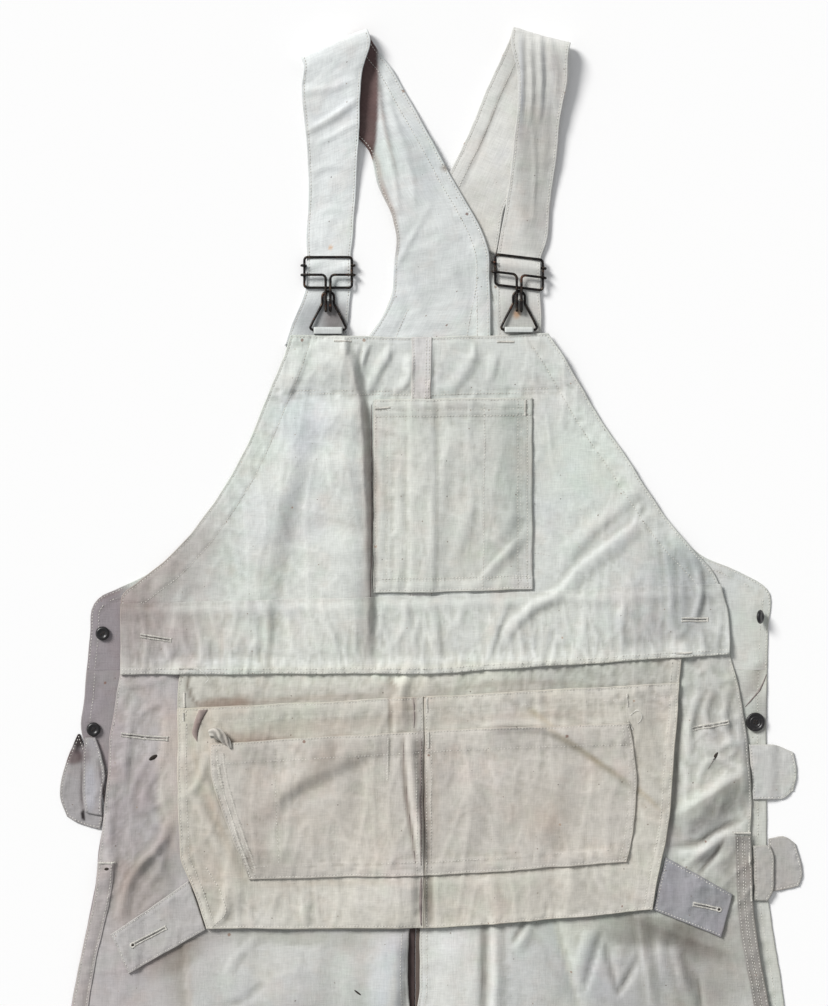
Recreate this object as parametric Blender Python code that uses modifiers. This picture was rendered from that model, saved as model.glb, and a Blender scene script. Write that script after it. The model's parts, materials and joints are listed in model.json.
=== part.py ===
"""Bib overalls of canvas with a nail apron, laid flat on their back with the front up.

Sizes in the tables are millimetres in the garment's own plan: x runs across from the centre front,
y runs up from the waist seam, and z is the height over the table that the garment lies on.
Blender's units are metres, +Z up. The finished garment stands with its origin at the bottom centre.
"""

import math
from collections import namedtuple

import bmesh
import bpy
from mathutils import Vector

MM = 0.001

# Cloth, in layers that lie on each other
PLY = 1.2  # one layer of canvas with its seam allowances
DOUBLE_PLY = 2.0  # straps, waistband, tabs and loops
GAP = 0.3  # clearance between pieces that touch
BACK_REST = 0.0
FRONT_REST = BACK_REST + PLY + GAP
APRON_REST = FRONT_REST + PLY + GAP
BIB_TOP_LIFT = 2.8  # how far the bib's top edge stands over the strap ends under it
MOUTH_GAPE = 2.4  # how far a pocket's mouth stands off the cloth behind it

# Landmarks of the plan
WAIST_KINK_X = 10.0
SEAM_LEFT_X, SEAM_MID_X, SEAM_RIGHT_X = -11.0, -2.0, 8.0
POCKET_LEFT_X, POCKET_RIGHT_X = -47.0, 104.0
POCKET_TOP_ROW, POCKET_BOTTOM_ROW = 3, 12
PLEAT_LEFT_X, PLEAT_RIGHT_X = -24.0, 1.0
FELL_WIDTH = 15.0
APRON_MARGIN_LEFT_X, APRON_MARGIN_RIGHT_X = -236.0, 248.0  # the legs lie flat between these, under the apron

# Wire and buttons
WIRE = 1.2  # radius
WRAP = 2 * WIRE + GAP  # from one wire's axis to that of a wire bent round it
SLIDE_HALF_WIDTH = 22.5
HOOK_HALF_WIDTH = 2.2
RING_HALF_NECK = 5.6
RING_HALF_FOOT = 16.8
TAB_HALF_WIDTH = 13.6
SLIDE_RIGHT_SLOPE = 0.12  # the right slide hangs down towards its outer side
SMALL_BUTTON_RADIUS = 6.7
LARGE_BUTTON_RADIUS = 9.0

Row = namedtuple("Row", "left_x left_y mid_y right_x right_y")
ApronRow = namedtuple("ApronRow", "left_x left_y pocket_left_x mid_y pocket_right_x right_x right_y")
Fold = namedtuple("Fold", "start end left_reach right_reach height")
Section = namedtuple("Section", "left right")
Finish = namedtuple("Finish", "name color roughness metallic")

CANVAS = Finish("canvas", (0.72, 0.70, 0.63, 1.0), 0.92, 0.0)
WIRE_STEEL = Finish("wire_steel", (0.045, 0.04, 0.04, 1.0), 0.38, 0.9)
BUTTON_BLACK = Finish("button_black", (0.02, 0.02, 0.022, 1.0), 0.35, 0.2)

BIB_ROWS = [
    Row(-126, 316, 314, 119, 318),
    Row(-133, 294, 294, 133, 298),
    Row(-141, 274, 275, 143, 279),
    Row(-149, 254, 255, 155, 258),
    Row(-156, 238, 239, 166, 240),
    Row(-166, 214, 216, 181, 217),
    Row(-178, 190, 192, 198, 193),
    Row(-191, 168, 169, 213, 169),
    Row(-206, 147, 147, 229, 145),
    Row(-225, 123, 124, 245, 126),
    Row(-244, 103, 104, 259, 110),
    Row(-268, 84, 86, 276, 90),
    Row(-286.5, 66, 72, 281, 80.5),
    Row(-286.5, 58.3, 66.3, 282, 77.3),
]

WAISTBAND_ROWS = [
    Row(-287, 58, 66, 282.5, 77),
    Row(-287.5, 38, 44, 289, 57),
    Row(-287.5, 18, 21, 291, 37),
    Row(-287, -2, -1, 291, 17),
]

FRONT_LEG_LEFT_ROWS = [
    Row(-287, -2.6, -1.8, -2.4, -1.8),
    Row(-291, -30, -30, -3, -30),
    Row(-297, -65, -65, -4, -65),
    Row(-299, -100, -100, -5, -100),
    Row(-303, -135, -135, -7, -135),
    Row(-308, -183, -183, -10, -183),
    Row(-312, -222, -222, -12, -222),
    Row(-318, -246, -246, -13, -248),
    Row(-325, -276, -276, -14, -276),
    Row(-331, -308, -308, -14, -308),
    Row(-336, -345, -345, -9.8, -345),
    Row(-340, -385, -385, -10, -385),
    Row(-344, -445, -445, -22, -445),
    Row(-344, -520, -520, -34, -520),
    Row(-342, -610, -610, -46, -610),
    Row(-340, -700, -700, -57, -700),
    Row(-338, -790, -790, -66, -790),
    Row(-337, -880, -880, -74, -880),
    Row(-336, -970, -970, -80, -970),
    Row(-336, -1060, -1060, -84, -1060),
    Row(-336, -1105, -1105, -85, -1107),
    Row(-336, -1143, -1145, -85, -1147),
]

FRONT_LEG_RIGHT_ROWS = [
    Row(-1.6, -1.8, -1.8, 290.5, 16.2),
    Row(-2, -30, -30, 299, -14),
    Row(-2, -65, -65, 305, -48),
    Row(-3, -100, -100, 310, -85),
    Row(-3, -135, -135, 312, -122),
    Row(-4, -160, -160, 310.5, -159),
    Row(-4, -205, -205, 312.5, -205),
    Row(-3, -248, -248, 316, -248),
    Row(-3, -276, -276, 320, -276),
    Row(-4, -308, -308, 326, -308),
    Row(-9.2, -345, -345, 332, -345),
    Row(-8, -385, -385, 337, -385),
    Row(4, -445, -445, 340, -445),
    Row(16, -520, -520, 341, -520),
    Row(29, -610, -610, 341, -610),
    Row(40, -700, -700, 341, -700),
    Row(50, -790, -790, 340, -790),
    Row(58, -880, -880, 340, -880),
    Row(64, -970, -970, 340, -970),
    Row(69, -1060, -1060, 341, -1060),
    Row(70, -1102, -1102, 341, -1100),
    Row(71, -1142, -1142, 341, -1139),
]

BACK_LEG_LEFT_ROWS = [
    Row(-319.5, -2, -2, -3, -2),
    Row(-322, -30, -30, -3, -30),
    Row(-325, -57, -57, -3, -57),
    Row(-313, -90, -90, -4, -90),
    Row(-306, -112, -112, -4, -112),
    Row(-303, -139, -139, -5, -139),
    Row(-307.5, -166, -166, -5, -166),
    Row(-311, -205, -205, -6, -205),
    Row(-319, -246, -246, -7, -248),
    Row(-332, -308, -308, -8, -308),
    Row(-341, -385, -385, -10, -385),
    Row(-345, -445, -445, -23, -445),
    Row(-345, -520, -520, -35, -520),
    Row(-341, -700, -700, -58, -700),
    Row(-338, -880, -880, -75, -880),
    Row(-337, -1060, -1060, -85, -1060),
    Row(-337, -1145, -1147, -86, -1149),
]

BACK_LEG_RIGHT_ROWS = [
    Row(-2.4, -2, -2, 327, -2),
    Row(-2.4, -30, -30, 326.5, -30),
    Row(-2.4, -57, -57, 326, -57),
    Row(-3.4, -90, -90, 326, -90),
    Row(-3.4, -112, -112, 326, -112),
    Row(-4.4, -139, -139, 326.5, -139),
    Row(-4.4, -166, -166, 326.5, -166),
    Row(-5.4, -205, -205, 327, -205),
    Row(-6.4, -248, -248, 332, -248),
    Row(-7.4, -308, -308, 342, -308),
    Row(-8, -385, -385, 348, -385),
    Row(3, -445, -445, 350, -445),
    Row(15, -520, -520, 350, -520),
    Row(39, -700, -700, 348, -700),
    Row(57, -880, -880, 346, -880),
    Row(68, -1060, -1060, 345, -1060),
    Row(70, -1144, -1144, 345, -1141),
]

BACK_BIB_ROWS = [
    Row(-24, 395, 395, 66, 395),
    Row(-27, 366, 366, 71, 366),
    Row(-35, 341, 341, 79, 341),
    Row(-51, 316, 316, 94, 316),
    Row(-78, 282, 282, 118, 282),
    Row(-112, 240, 240, 150, 240),
    Row(-150, 192, 192, 188, 192),
    Row(-195, 140, 140, 232, 140),
    Row(-243, 101, 104, 270, 104),
    Row(-268, 86, 90, 290, 96),
    Row(-291, 75, 82, 309, 87),
    Row(-308, 66, 74, 321, 80),
    Row(-313.5, 59, 66, 328, 73),
    Row(-315.5, 35, 38, 328, 40),
    Row(-319.5, -1.7, -1.7, 327, -1.7),
]

APRON_ROWS = [
    ApronRow(-230, -2.4, -200, -1.4, 192, 245, 13.3),
    ApronRow(-232, -18, -200, -14, 192, 244, 0),
    ApronRow(-233, -38, -200, -26, 193, 243, -13),
    ApronRow(-233, -56, -201, -42, 194, 242, -32),
    ApronRow(-233, -73, -202, -58, 195, 241, -50),
    ApronRow(-233, -90, -202, -78, 199, 239, -70),
    ApronRow(-232, -112, -199, -101, 202, 237, -95),
    ApronRow(-232, -135, -191, -125, 202, 235, -120),
    ApronRow(-231, -158, -182, -149, 200, 233, -145),
    ApronRow(-230, -180, -173, -172, 197, 230, -164),
    ApronRow(-221, -201, -165, -196, 193, 226, -181),
    ApronRow(-213, -224, -160, -219, 189, 222, -205),
    ApronRow(-205, -247, -156, -246, 186, 218, -229),
]
APRON_UPPER_MOUTH_ROW, APRON_LOWER_MOUTH_ROW, APRON_LOWER_FOOT_ROW = 2, 4, 10

SIDE_LOOP_LEFT_ROWS = [
    Row(-327.5, -63, -63, -325.6, -63),
    Row(-337, -84, -84, -318, -84),
    Row(-343, -104, -104, -309.6, -104),
    Row(-344, -125, -125, -305.5, -125),
    Row(-338, -141, -141, -304.5, -143),
    Row(-326, -148, -148, -307, -153),
]

SIDE_LOOP_RIGHT_UPPER_ROWS = [
    Row(309, -72.5, -72.5, 330, -72.5),
    Row(310.2, -80, -80, 351, -80),
    Row(311.6, -98, -98, 354.5, -98),
    Row(312.6, -115, -115, 352, -116),
    Row(313, -125, -125, 339, -125),
]

SIDE_LOOP_RIGHT_LOWER_ROWS = [
    Row(328, -162, -162, 345, -160),
    Row(328, -168, -168, 354, -167),
    Row(328, -184, -184, 359, -184),
    Row(328, -199, -199, 360.5, -199),
    Row(328, -208, -208, 357, -207),
    Row(328, -213, -213, 341, -211),
]

LOOP_CARRIER_RIGHT_ROWS = [
    Row(312.6, -168, -168, 329, -168),
    Row(312.8, -174, -174, 332, -174),
    Row(313.4, -194, -194, 333, -194),
    Row(314.4, -214, -214, 331.5, -214),
    Row(314.8, -221, -221, 327, -221),
]

LOOP_CARRIER_LEFT_ROWS = [
    Row(-320.5, -66, -66, -310.5, -66),
    Row(-322.5, -84, -84, -305, -82),
    Row(-323, -104, -104, -301.6, -104),
    Row(-322.5, -122, -122, -304.6, -122),
    Row(-320, -137, -137, -304.8, -140),
]

# The largest folds. Left and right are those of someone walking from start to end.
BIB_FOLDS = [
    Fold((-58, 330), (-55, 12), 9, 105, 12.0),
    Fold((-150, 205), (-128, 20), 42, 42, 4.5),
    Fold((238, 172), (66, 6), 26, 15, 6.0),
    Fold((205, 160), (120, 62), 18, 12, 2.5),
    Fold((262, 118), (262, 14), 14, 12, 5.0),
    Fold((40, 312), (34, 262), 16, 16, 2.5),
]
APRON_FOLDS = [
    Fold((-12, 0), (-10, -205), 13, 12, 8.0),
    Fold((-30, -68), (-165, -150), 20, 34, 5.5),
    Fold((58, -54), (222, -140), 26, 12, 5.0),
    Fold((-215, -30), (-222, -150), 16, 14, 3.0),
]
LEG_FOLDS = [
    Fold((-254, -128), (-296, -186), 14, 14, 5.0),
    Fold((262, -150), (306, -92), 18, 12, 6.0),
    Fold((-40, -262), (-44, -352), 26, 24, 7.0),
    Fold((62, -268), (74, -470), 12, 26, 5.0),
    Fold((-150, -330), (-205, -620), 40, 30, 5.0),
    Fold((-110, -640), (-230, -1040), 44, 32, 5.0),
    Fold((205, -350), (150, -660), 34, 42, 5.5),
    Fold((250, -640), (170, -1010), 36, 46, 5.0),
    Fold((-290, -720), (-130, -770), 24, 32, 4.0),
    Fold((110, -760), (300, -700), 30, 24, 4.0),
]
LEG_CROWN = 4.0  # how far the middle of a leg's upper side stands over its edges
LEG_CROWN_START_Y, LEG_CROWN_FULL_Y = -300.0, -420.0

# Straps: plan and height of each edge at sections from the end under the bib, over the shoulder, to the back
STRAP_LEFT_FRONT = [
    Section((-132, 306, 1.1), (-97, 310, 1.1)),
    Section((-127, 320, 1.1), (-87, 327, 1.1)),
    Section((-121, 336, 1.1), (-75, 339, 1.1)),
    Section((-114, 352, 1.1), (-66, 350, 1.1)),
    Section((-111, 361, 1.3), (-68, 361, 1.3)),
    Section((-110, 374, 1.5), (-69, 374, 1.5)),
    Section((-110, 382, 3.9), (-69, 382, 3.9)),
    Section((-110, 390, 1.5), (-69, 390, 1.5)),
    Section((-111, 405, 1.2), (-66, 403, 1.2)),
    Section((-108, 440, 1.5), (-62, 436, 1.5)),
    Section((-109, 480, 4.5), (-61, 480, 4.5)),
    Section((-112, 520, 8.0), (-60, 522, 8.0)),
    Section((-115, 552, 11.0), (-60, 562, 11.0)),
]
STRAP_LEFT_BACK = [
    Section((-103, 552, 1.2), (-29, 568, 1.2)),
    Section((-86, 528, 1.1), (-14, 542, 1.4)),
    Section((-67, 508, 1.1), (-2, 520, 2.6)),
    Section((-51, 490, 1.5), (11, 496, 4.6)),
    Section((-43, 458, 3.0), (25, 470, 5.2)),
    Section((-31, 433, 4.4), (42, 441, 5.3)),
    Section((-25.5, 408, 4.5), (57, 411, 5.3)),
    Section((-27.5, 383, 2.9), (63, 392, 5.2)),
    Section((-30, 352, 2.5), (63.8, 370, 2.7)),
    Section((-44, 325, 2.5), (64, 330, 2.5)),
    Section((-56, 308, 2.5), (64, 304, 2.5)),
]
STRAP_LEFT_FOLD = Section((-114, 574), (-51, 600))
STRAP_RIGHT_FRONT = [
    Section((71, 306, 2.6), (111, 306, 2.6)),
    Section((70, 332, 2.6), (113, 332, 2.6)),
    Section((70.5, 363.5, 2.8), (111.5, 358.5, 2.8)),
    Section((70.5, 376.5, 3.0), (111.5, 371.5, 3.0)),
    Section((70.5, 384.5, 5.4), (111.5, 379.5, 5.4)),
    Section((70.5, 392.5, 3.0), (111.5, 387.5, 3.0)),
    Section((72.5, 406, 2.8), (117, 403, 2.8)),
    Section((79, 440, 3.4), (121, 442, 3.0)),
    Section((84, 480, 6.0), (126, 482, 5.0)),
    Section((88, 520, 9.0), (130, 522, 8.0)),
    Section((89, 562, 12.0), (137, 556, 11.0)),
]
STRAP_RIGHT_BACK = [
    Section((74, 578, 2.4), (134, 556, 2.4)),
    Section((60, 548, 2.4), (118, 528, 2.4)),
    Section((47, 516, 2.4), (106, 496, 2.4)),
    Section((32, 484, 2.4), (93, 463, 2.4)),
    Section((18, 452, 2.4), (76.6, 433, 2.4)),
    Section((12, 430, 2.4), (73, 412, 2.4)),
    Section((14, 412, 2.4), (69.5, 392, 2.4)),
]
STRAP_RIGHT_FOLD = Section((84, 601), (138, 586))
FOLD_STEPS = 4  # sections over half a turn at the shoulder


def clear_scene():
    """Empty the file of every object."""
    for obj in list(bpy.data.objects):
        bpy.data.objects.remove(obj, do_unlink=True)


def material_of(finish):
    """The Principled material of a finish, made once."""
    found = bpy.data.materials.get(finish.name)
    if found:
        return found
    material = bpy.data.materials.new(finish.name)
    material.use_nodes = True
    shader = material.node_tree.nodes["Principled BSDF"]
    shader.inputs["Base Color"].default_value = finish.color
    shader.inputs["Roughness"].default_value = finish.roughness
    shader.inputs["Metallic"].default_value = finish.metallic
    return material


def add_object(name, data, finish, collection):
    """Put mesh or curve data in the scene under a node's name."""
    obj = bpy.data.objects.new(name, data)
    collection.objects.link(obj)
    data.materials.append(material_of(finish))
    return obj


def row_y(row, x):
    """Height in the plan of a section at x: straight from each end to the kink of the waist."""
    if row.left_x < WAIST_KINK_X < row.right_x:
        if x <= WAIST_KINK_X:
            share = (x - row.left_x) / (WAIST_KINK_X - row.left_x)
            return row.left_y + (row.mid_y - row.left_y) * share
        share = (x - WAIST_KINK_X) / (row.right_x - WAIST_KINK_X)
        return row.mid_y + (row.right_y - row.mid_y) * share
    share = (x - row.left_x) / (row.right_x - row.left_x)
    return row.left_y + (row.right_y - row.left_y) * share


def plan_lattice(rows, cells, knots=lambda row: []):
    """Plan points of a panel: for each row, the given number of cells between one knot and the next."""
    lattice = []
    for row in rows:
        stops = [row.left_x, *knots(row), row.right_x]
        xs = [a + (b - a) * i / n for a, b, n in zip(stops, stops[1:], cells) for i in range(n)]
        lattice.append([(x, row_y(row, x)) for x in [*xs, stops[-1]]])
    return lattice


def fade(value, start, end):
    """Smooth step: 0 at start, 1 at end."""
    share = min(1.0, max(0.0, (value - start) / (end - start)))
    return share * share * (3 - 2 * share)


def fold_height(x, y, folds):
    """Height that the folds add at a plan point: each is a ridge with a slope of its own on either side."""
    total = 0.0
    for fold in folds:
        start, end = Vector(fold.start), Vector(fold.end)
        along = (end - start).normalized()
        offset = Vector((x, y)) - start
        run = offset.dot(along) / (end - start).length
        side = along.x * offset.y - along.y * offset.x
        reach = fold.left_reach if side > 0 else fold.right_reach
        if not 0 < run < 1 or abs(side) >= reach:
            continue
        taper = math.sin(math.pi * run) ** 0.5
        total += fold.height * taper * 0.5 * (1 + math.cos(math.pi * side / reach))
    return total


def lay(lattice, height):
    """The underside of a panel: its plan points at the height that the function gives."""
    return [[Vector((x, y, height(x, y))) for x, y in row] for row in lattice]


def patch(surface, ply, rows, columns, lift):
    """The underside of a piece that lies on part of a panel: the panel's own points, moved out."""
    return [
        [surface[i][j] + Vector((0, 0, ply + lift(i, j))) for j in range(columns[0], columns[1] + 1)]
        for i in range(rows[0], rows[1] + 1)
    ]


def grid_mesh(surface):
    """A triangulated grid through the rows of points, in metres."""
    bm = bmesh.new()
    bmesh.ops.create_grid(bm, x_segments=len(surface[0]) - 1, y_segments=len(surface) - 1, size=1)
    bm.verts.ensure_lookup_table()
    points = [point for row in reversed(surface) for point in row]
    for vert, point in zip(bm.verts, points):
        vert.co = point * MM
    bmesh.ops.triangulate(bm, faces=bm.faces[:], quad_method="FIXED")
    return bm


def cloth_panel(name, surface, ply, collection, finish=CANVAS):
    """A wall of cloth of one thickness over its underside, extruded straight up."""
    bm = grid_mesh(surface)
    raised = bmesh.ops.extrude_face_region(bm, geom=bm.faces[:])["geom"]
    top = [item for item in raised if isinstance(item, bmesh.types.BMVert)]
    bmesh.ops.translate(bm, verts=top, vec=(0, 0, ply * MM))
    bmesh.ops.recalc_face_normals(bm, faces=bm.faces[:])
    mesh = bpy.data.meshes.new(name)
    bm.to_mesh(mesh)
    bm.free()
    return add_object(name, mesh, finish, collection)


def ribbon(name, sections, cells, ply, collection, finish=CANVAS):
    """A strip of cloth through sections, each a line from its left edge to its right edge."""
    surface = [
        [left.lerp(right, i / cells) for i in range(cells + 1)]
        for left, right in ((Vector(s.left), Vector(s.right)) for s in sections)
    ]
    bm = grid_mesh(surface)
    mesh = bpy.data.meshes.new(name)
    bm.to_mesh(mesh)
    bm.free()
    obj = add_object(name, mesh, finish, collection)
    wall = obj.modifiers.new("wall", "SOLIDIFY")
    wall.thickness = ply * MM
    wall.offset = 0
    return obj


def wire(name, points, collection, closed=False, finish=WIRE_STEEL):
    """A round wire along a line of points."""
    curve = bpy.data.curves.new(name, "CURVE")
    curve.dimensions = "3D"
    curve.bevel_depth = WIRE * MM
    curve.bevel_resolution = 2
    curve.use_fill_caps = not closed
    spline = curve.splines.new("POLY")
    spline.points.add(len(points) - 1)
    for target, point in zip(spline.points, points):
        target.co = (*(Vector(point) * MM), 1)
    spline.use_cyclic_u = closed
    return add_object(name, curve, finish, collection)


def arc(centre, radius, start, end, steps, u=(1, 0, 0), v=(0, 1, 0)):
    """Points on an arc in the plane of u and v, from start to end degrees."""
    turns = [math.radians(start + (end - start) * i / steps) for i in range(steps + 1)]
    return [
        Vector(centre) + radius * (math.cos(a) * Vector(u) + math.sin(a) * Vector(v)) for a in turns
    ]


def disc(name, centre, profile, tilt, collection, finish=BUTTON_BLACK):
    """A turned button from a half profile of (radius, height), run down its outer side."""
    mesh = bpy.data.meshes.new(name)
    bm = bmesh.new()
    verts = [bm.verts.new((radius * MM, 0, height * MM)) for radius, height in profile]
    for a, b in zip(verts, verts[1:]):
        bm.edges.new((a, b))
    bm.to_mesh(mesh)
    bm.free()
    obj = add_object(name, mesh, finish, collection)
    turn = obj.modifiers.new("turn", "SCREW")
    turn.steps = turn.render_steps = 20
    turn.use_merge_vertices = True
    turn.merge_threshold = 0.0001
    turn.use_smooth_shade = True
    obj.location = Vector(centre) * MM
    obj.rotation_euler = (0, math.radians(tilt), 0)
    return obj


def front_base(x, y):
    """Underside of the front panels below the waist: on the back panel, crowned and folded."""
    crown = LEG_CROWN * fade(y, LEG_CROWN_START_Y, LEG_CROWN_FULL_Y)
    centre = -200.0 if x < 0 else 195.0
    crown *= max(0.0, 1 - (abs(x - centre) / 150) ** 2)
    return FRONT_REST + crown + fold_height(x, y, LEG_FOLDS)


def bib_base(x, y):
    """Underside of the bib and waistband: lifted over the strap ends at the top."""
    return FRONT_REST + BIB_TOP_LIFT * fade(y, 254, 296) + fold_height(x, y, BIB_FOLDS)


def apron_base(x, y):
    """Underside of the apron, on the flat part of the front legs."""
    return APRON_REST + fold_height(x, y, APRON_FOLDS)


def build_bib(collection):
    """The two halves of the bib, the felled seam over their join, the pocket and the waistband."""
    left_stops = [-82, -68, -60, -54, POCKET_LEFT_X]
    middle_stops = [-29, SEAM_LEFT_X, SEAM_MID_X, SEAM_RIGHT_X, 25, 42, 58, 74, 89, POCKET_RIGHT_X]
    left_cells, right_cells = 7, 8
    stops = [*left_stops, *middle_stops]
    cells = [left_cells, *[1] * (len(stops) - 1), right_cells]
    surface = lay(plan_lattice(BIB_ROWS, cells, lambda row: stops), bib_base)
    pocket_left = left_cells + stops.index(POCKET_LEFT_X)
    seam = left_cells + stops.index(SEAM_MID_X)
    pocket_right = left_cells + stops.index(POCKET_RIGHT_X)

    half_gap = Vector((GAP / 2, 0, 0))
    left_half = [[*row[:seam], row[seam] - half_gap] for row in surface]
    right_half = [[row[seam] + half_gap, *row[seam + 1 :]] for row in surface]
    cloth_panel("bib_left", left_half, PLY, collection)
    cloth_panel("bib_right", right_half, PLY, collection)

    last = len(BIB_ROWS) - 1
    felled = patch(surface, PLY, (0, last), (seam - 1, seam + 1), lambda i, j: GAP)
    cloth_panel("bib_centre_seam", felled, PLY, collection)

    def pocket_lift(i, j):
        over_seam = seam - 1 <= j <= seam + 1
        inner = pocket_left < j < pocket_right
        gape = MOUTH_GAPE if i == POCKET_TOP_ROW and inner else 0.0
        return GAP + gape + (PLY + GAP if over_seam else 0.0)

    rows = (POCKET_TOP_ROW, POCKET_BOTTOM_ROW)
    pocket = patch(surface, PLY, rows, (pocket_left, pocket_right), pocket_lift)
    cloth_panel("bib_pocket", pocket, PLY, collection)

    band = lay(plan_lattice(WAISTBAND_ROWS, cells, lambda row: stops), bib_base)
    cloth_panel("waistband", band, DOUBLE_PLY, collection)


def build_legs(collection):
    """Front and back legs, and the felled side seams on the front legs' outer edges."""
    side = "left", "right"
    fronts = FRONT_LEG_LEFT_ROWS, FRONT_LEG_RIGHT_ROWS
    backs = BACK_LEG_LEFT_ROWS, BACK_LEG_RIGHT_ROWS
    first_fell_row = 5  # the felled seams start below the side openings
    for name, front_rows, back_rows in zip(side, fronts, backs):
        if name == "left":
            cells, knots = [1, 2, 7], lambda row: [row.left_x + FELL_WIDTH, APRON_MARGIN_LEFT_X]
            columns = 0, 1
        else:
            cells, knots = [7, 2, 1], lambda row: [APRON_MARGIN_RIGHT_X, row.right_x - FELL_WIDTH]
            columns = 9, 10
        front = lay(plan_lattice(front_rows, cells, knots), front_base)
        cloth_panel("front_leg_" + name, front, PLY, collection)
        rows = (first_fell_row, len(front_rows) - 1)
        fell = patch(front, PLY, rows, columns, lambda i, j: GAP)
        cloth_panel("side_fell_" + name, fell, PLY, collection)
        back = lay(plan_lattice(back_rows, [1]), lambda x, y: BACK_REST)
        cloth_panel("back_leg_" + name, back, PLY, collection)
    back_bib = lay(plan_lattice(BACK_BIB_ROWS, [2]), lambda x, y: BACK_REST)
    cloth_panel("back_bib", back_bib, PLY, collection)


def build_apron(collection):
    """The nail apron: its base with a pleat, and two tiers of pockets that meet at the centre."""
    pleat = [PLEAT_LEFT_X, -17, -10, -4, PLEAT_RIGHT_X]
    cells = [2, 8, *[1] * (len(pleat) - 1), 9, 2]
    lattice = plan_lattice(
        APRON_ROWS, cells, lambda row: [row.pocket_left_x, *pleat, row.pocket_right_x]
    )
    base = lay(lattice, apron_base)
    cloth_panel("apron_base", base, PLY, collection)

    left_edge, right_edge = cells[0], sum(cells) - cells[-1]
    centre = cells[0] + cells[1] + len(pleat) - 1
    foot = len(APRON_ROWS) - 1
    lower_rows = APRON_LOWER_MOUTH_ROW - APRON_UPPER_MOUTH_ROW, APRON_LOWER_FOOT_ROW - APRON_UPPER_MOUTH_ROW

    def mouth_lift(first, last, mouth_row):
        """A pocket's clearance, and its mouth's gape between the two side edges."""
        return lambda i, j: GAP + (MOUTH_GAPE if i == mouth_row and first < j < last else 0.0)

    for side, upper_columns, lower_columns in (
        ("left", (0, centre), (left_edge, centre)),
        ("right", (centre, sum(cells)), (0, right_edge - centre)),
    ):
        upper_lift = mouth_lift(*upper_columns, APRON_UPPER_MOUTH_ROW)
        upper = patch(base, PLY, (APRON_UPPER_MOUTH_ROW, foot), upper_columns, upper_lift)
        lower_lift = mouth_lift(*lower_columns, lower_rows[0])
        lower = patch(upper, PLY, lower_rows, lower_columns, lower_lift)
        half_gap = Vector((GAP / 2, 0, 0))
        for row in (*upper, *lower):
            if side == "left":
                row[-1] = row[-1] - half_gap
            else:
                row[0] = row[0] + half_gap
        cloth_panel("apron_pocket_upper_" + side, upper, PLY, collection)
        cloth_panel("apron_pocket_lower_" + side, lower, PLY, collection)


def build_apron_tabs(collection):
    """The two buttonhole tabs that hang from the apron's lower corners."""
    for side, root, tip in (
        ("left", Section((-221.6, -201.5), (-205.9, -248)), Section((-297, -253), (-279, -290))),
        ("right", Section((219, -229.5), (229.6, -179)), Section((283, -255), (294, -214))),
    ):
        corners = [Vector(root.left), Vector(root.right)], [Vector(tip.left), Vector(tip.right)]
        surface = [[Vector((p.x, p.y, APRON_REST)) for p in line] for line in corners]
        cloth_panel("apron_tab_" + side, surface, DOUBLE_PLY, collection)


def build_side_loops(collection):
    """Folded loops at the sides, resting on the back panel's edge and on the table beside it."""
    back_edge_x = 328.0
    knots = [back_edge_x, back_edge_x + 1]

    def over_edge(x, y):
        return FRONT_REST * (1 - fade(x, back_edge_x, back_edge_x + 9))

    upper = plan_lattice(SIDE_LOOP_RIGHT_UPPER_ROWS, [2, 1, 3], lambda row: knots)
    cloth_panel("side_loop_right_upper", lay(upper, over_edge), DOUBLE_PLY, collection)
    for name, rows, rest in (
        ("side_loop_left", SIDE_LOOP_LEFT_ROWS, BACK_REST),
        ("side_loop_right_lower", SIDE_LOOP_RIGHT_LOWER_ROWS, BACK_REST),
        ("loop_carrier_left", LOOP_CARRIER_LEFT_ROWS, BACK_REST + DOUBLE_PLY + GAP),
        ("loop_carrier_right", LOOP_CARRIER_RIGHT_ROWS, BACK_REST + DOUBLE_PLY + GAP),
    ):
        surface = lay(plan_lattice(rows, [1]), lambda x, y: rest)
        cloth_panel(name, surface, DOUBLE_PLY, collection)


def shoulder_fold(line, low, high):
    """Sections over the shoulder, half a turn about the fold's line from the front to the back."""
    left, right = Vector(line.left), Vector(line.right)
    along = (right - left).normalized()
    out = Vector((-along.y, along.x))
    radius = (high - low) / 2
    sections = []
    for i in range(FOLD_STEPS + 1):
        turn = math.pi * i / FOLD_STEPS
        shift = out * radius * math.sin(turn)
        height = (high + low) / 2 + radius * math.cos(turn)
        sections.append(Section((*(left + shift), height), (*(right + shift), height)))
    return sections


def build_straps(collection):
    """The straps: each one strip from under the bib, through its slide and over the shoulder to the back."""
    straps = {
        "strap_left": (STRAP_LEFT_FRONT, STRAP_LEFT_FOLD, 1.2, 13.0, STRAP_LEFT_BACK),
        "strap_right": (STRAP_RIGHT_FRONT, STRAP_RIGHT_FOLD, 2.4, 14.0, STRAP_RIGHT_BACK),
    }
    for name, (front, fold_line, low, high, back) in straps.items():
        sections = [*front, *shoulder_fold(fold_line, low, high), *back]
        ribbon(name, sections, 4, DOUBLE_PLY, collection)


def sloped(points, x, slope):
    """The points sheared so that what runs across falls away to the right of x."""
    return [Vector((p[0], p[1] - slope * (p[0] - x), p[2])) for p in points]


def slide_frame(side, x, rest, slope, collection):
    """The closed wire frame that the strap runs through."""
    z, corner = rest + 3.9, 3.0
    low_y, high_y = 361.0, 390.0
    half = SLIDE_HALF_WIDTH
    points = []
    for cx, cy, start in (
        (x + half - corner, high_y - corner, 0),
        (x - half + corner, high_y - corner, 90),
        (x - half + corner, low_y + corner, 180),
        (x + half - corner, low_y + corner, 270),
    ):
        points += arc((cx, cy, z), corner, start, start + 90, 3)
    wire("slide_frame_" + side, sloped(points, x, slope), collection, closed=True)


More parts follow.
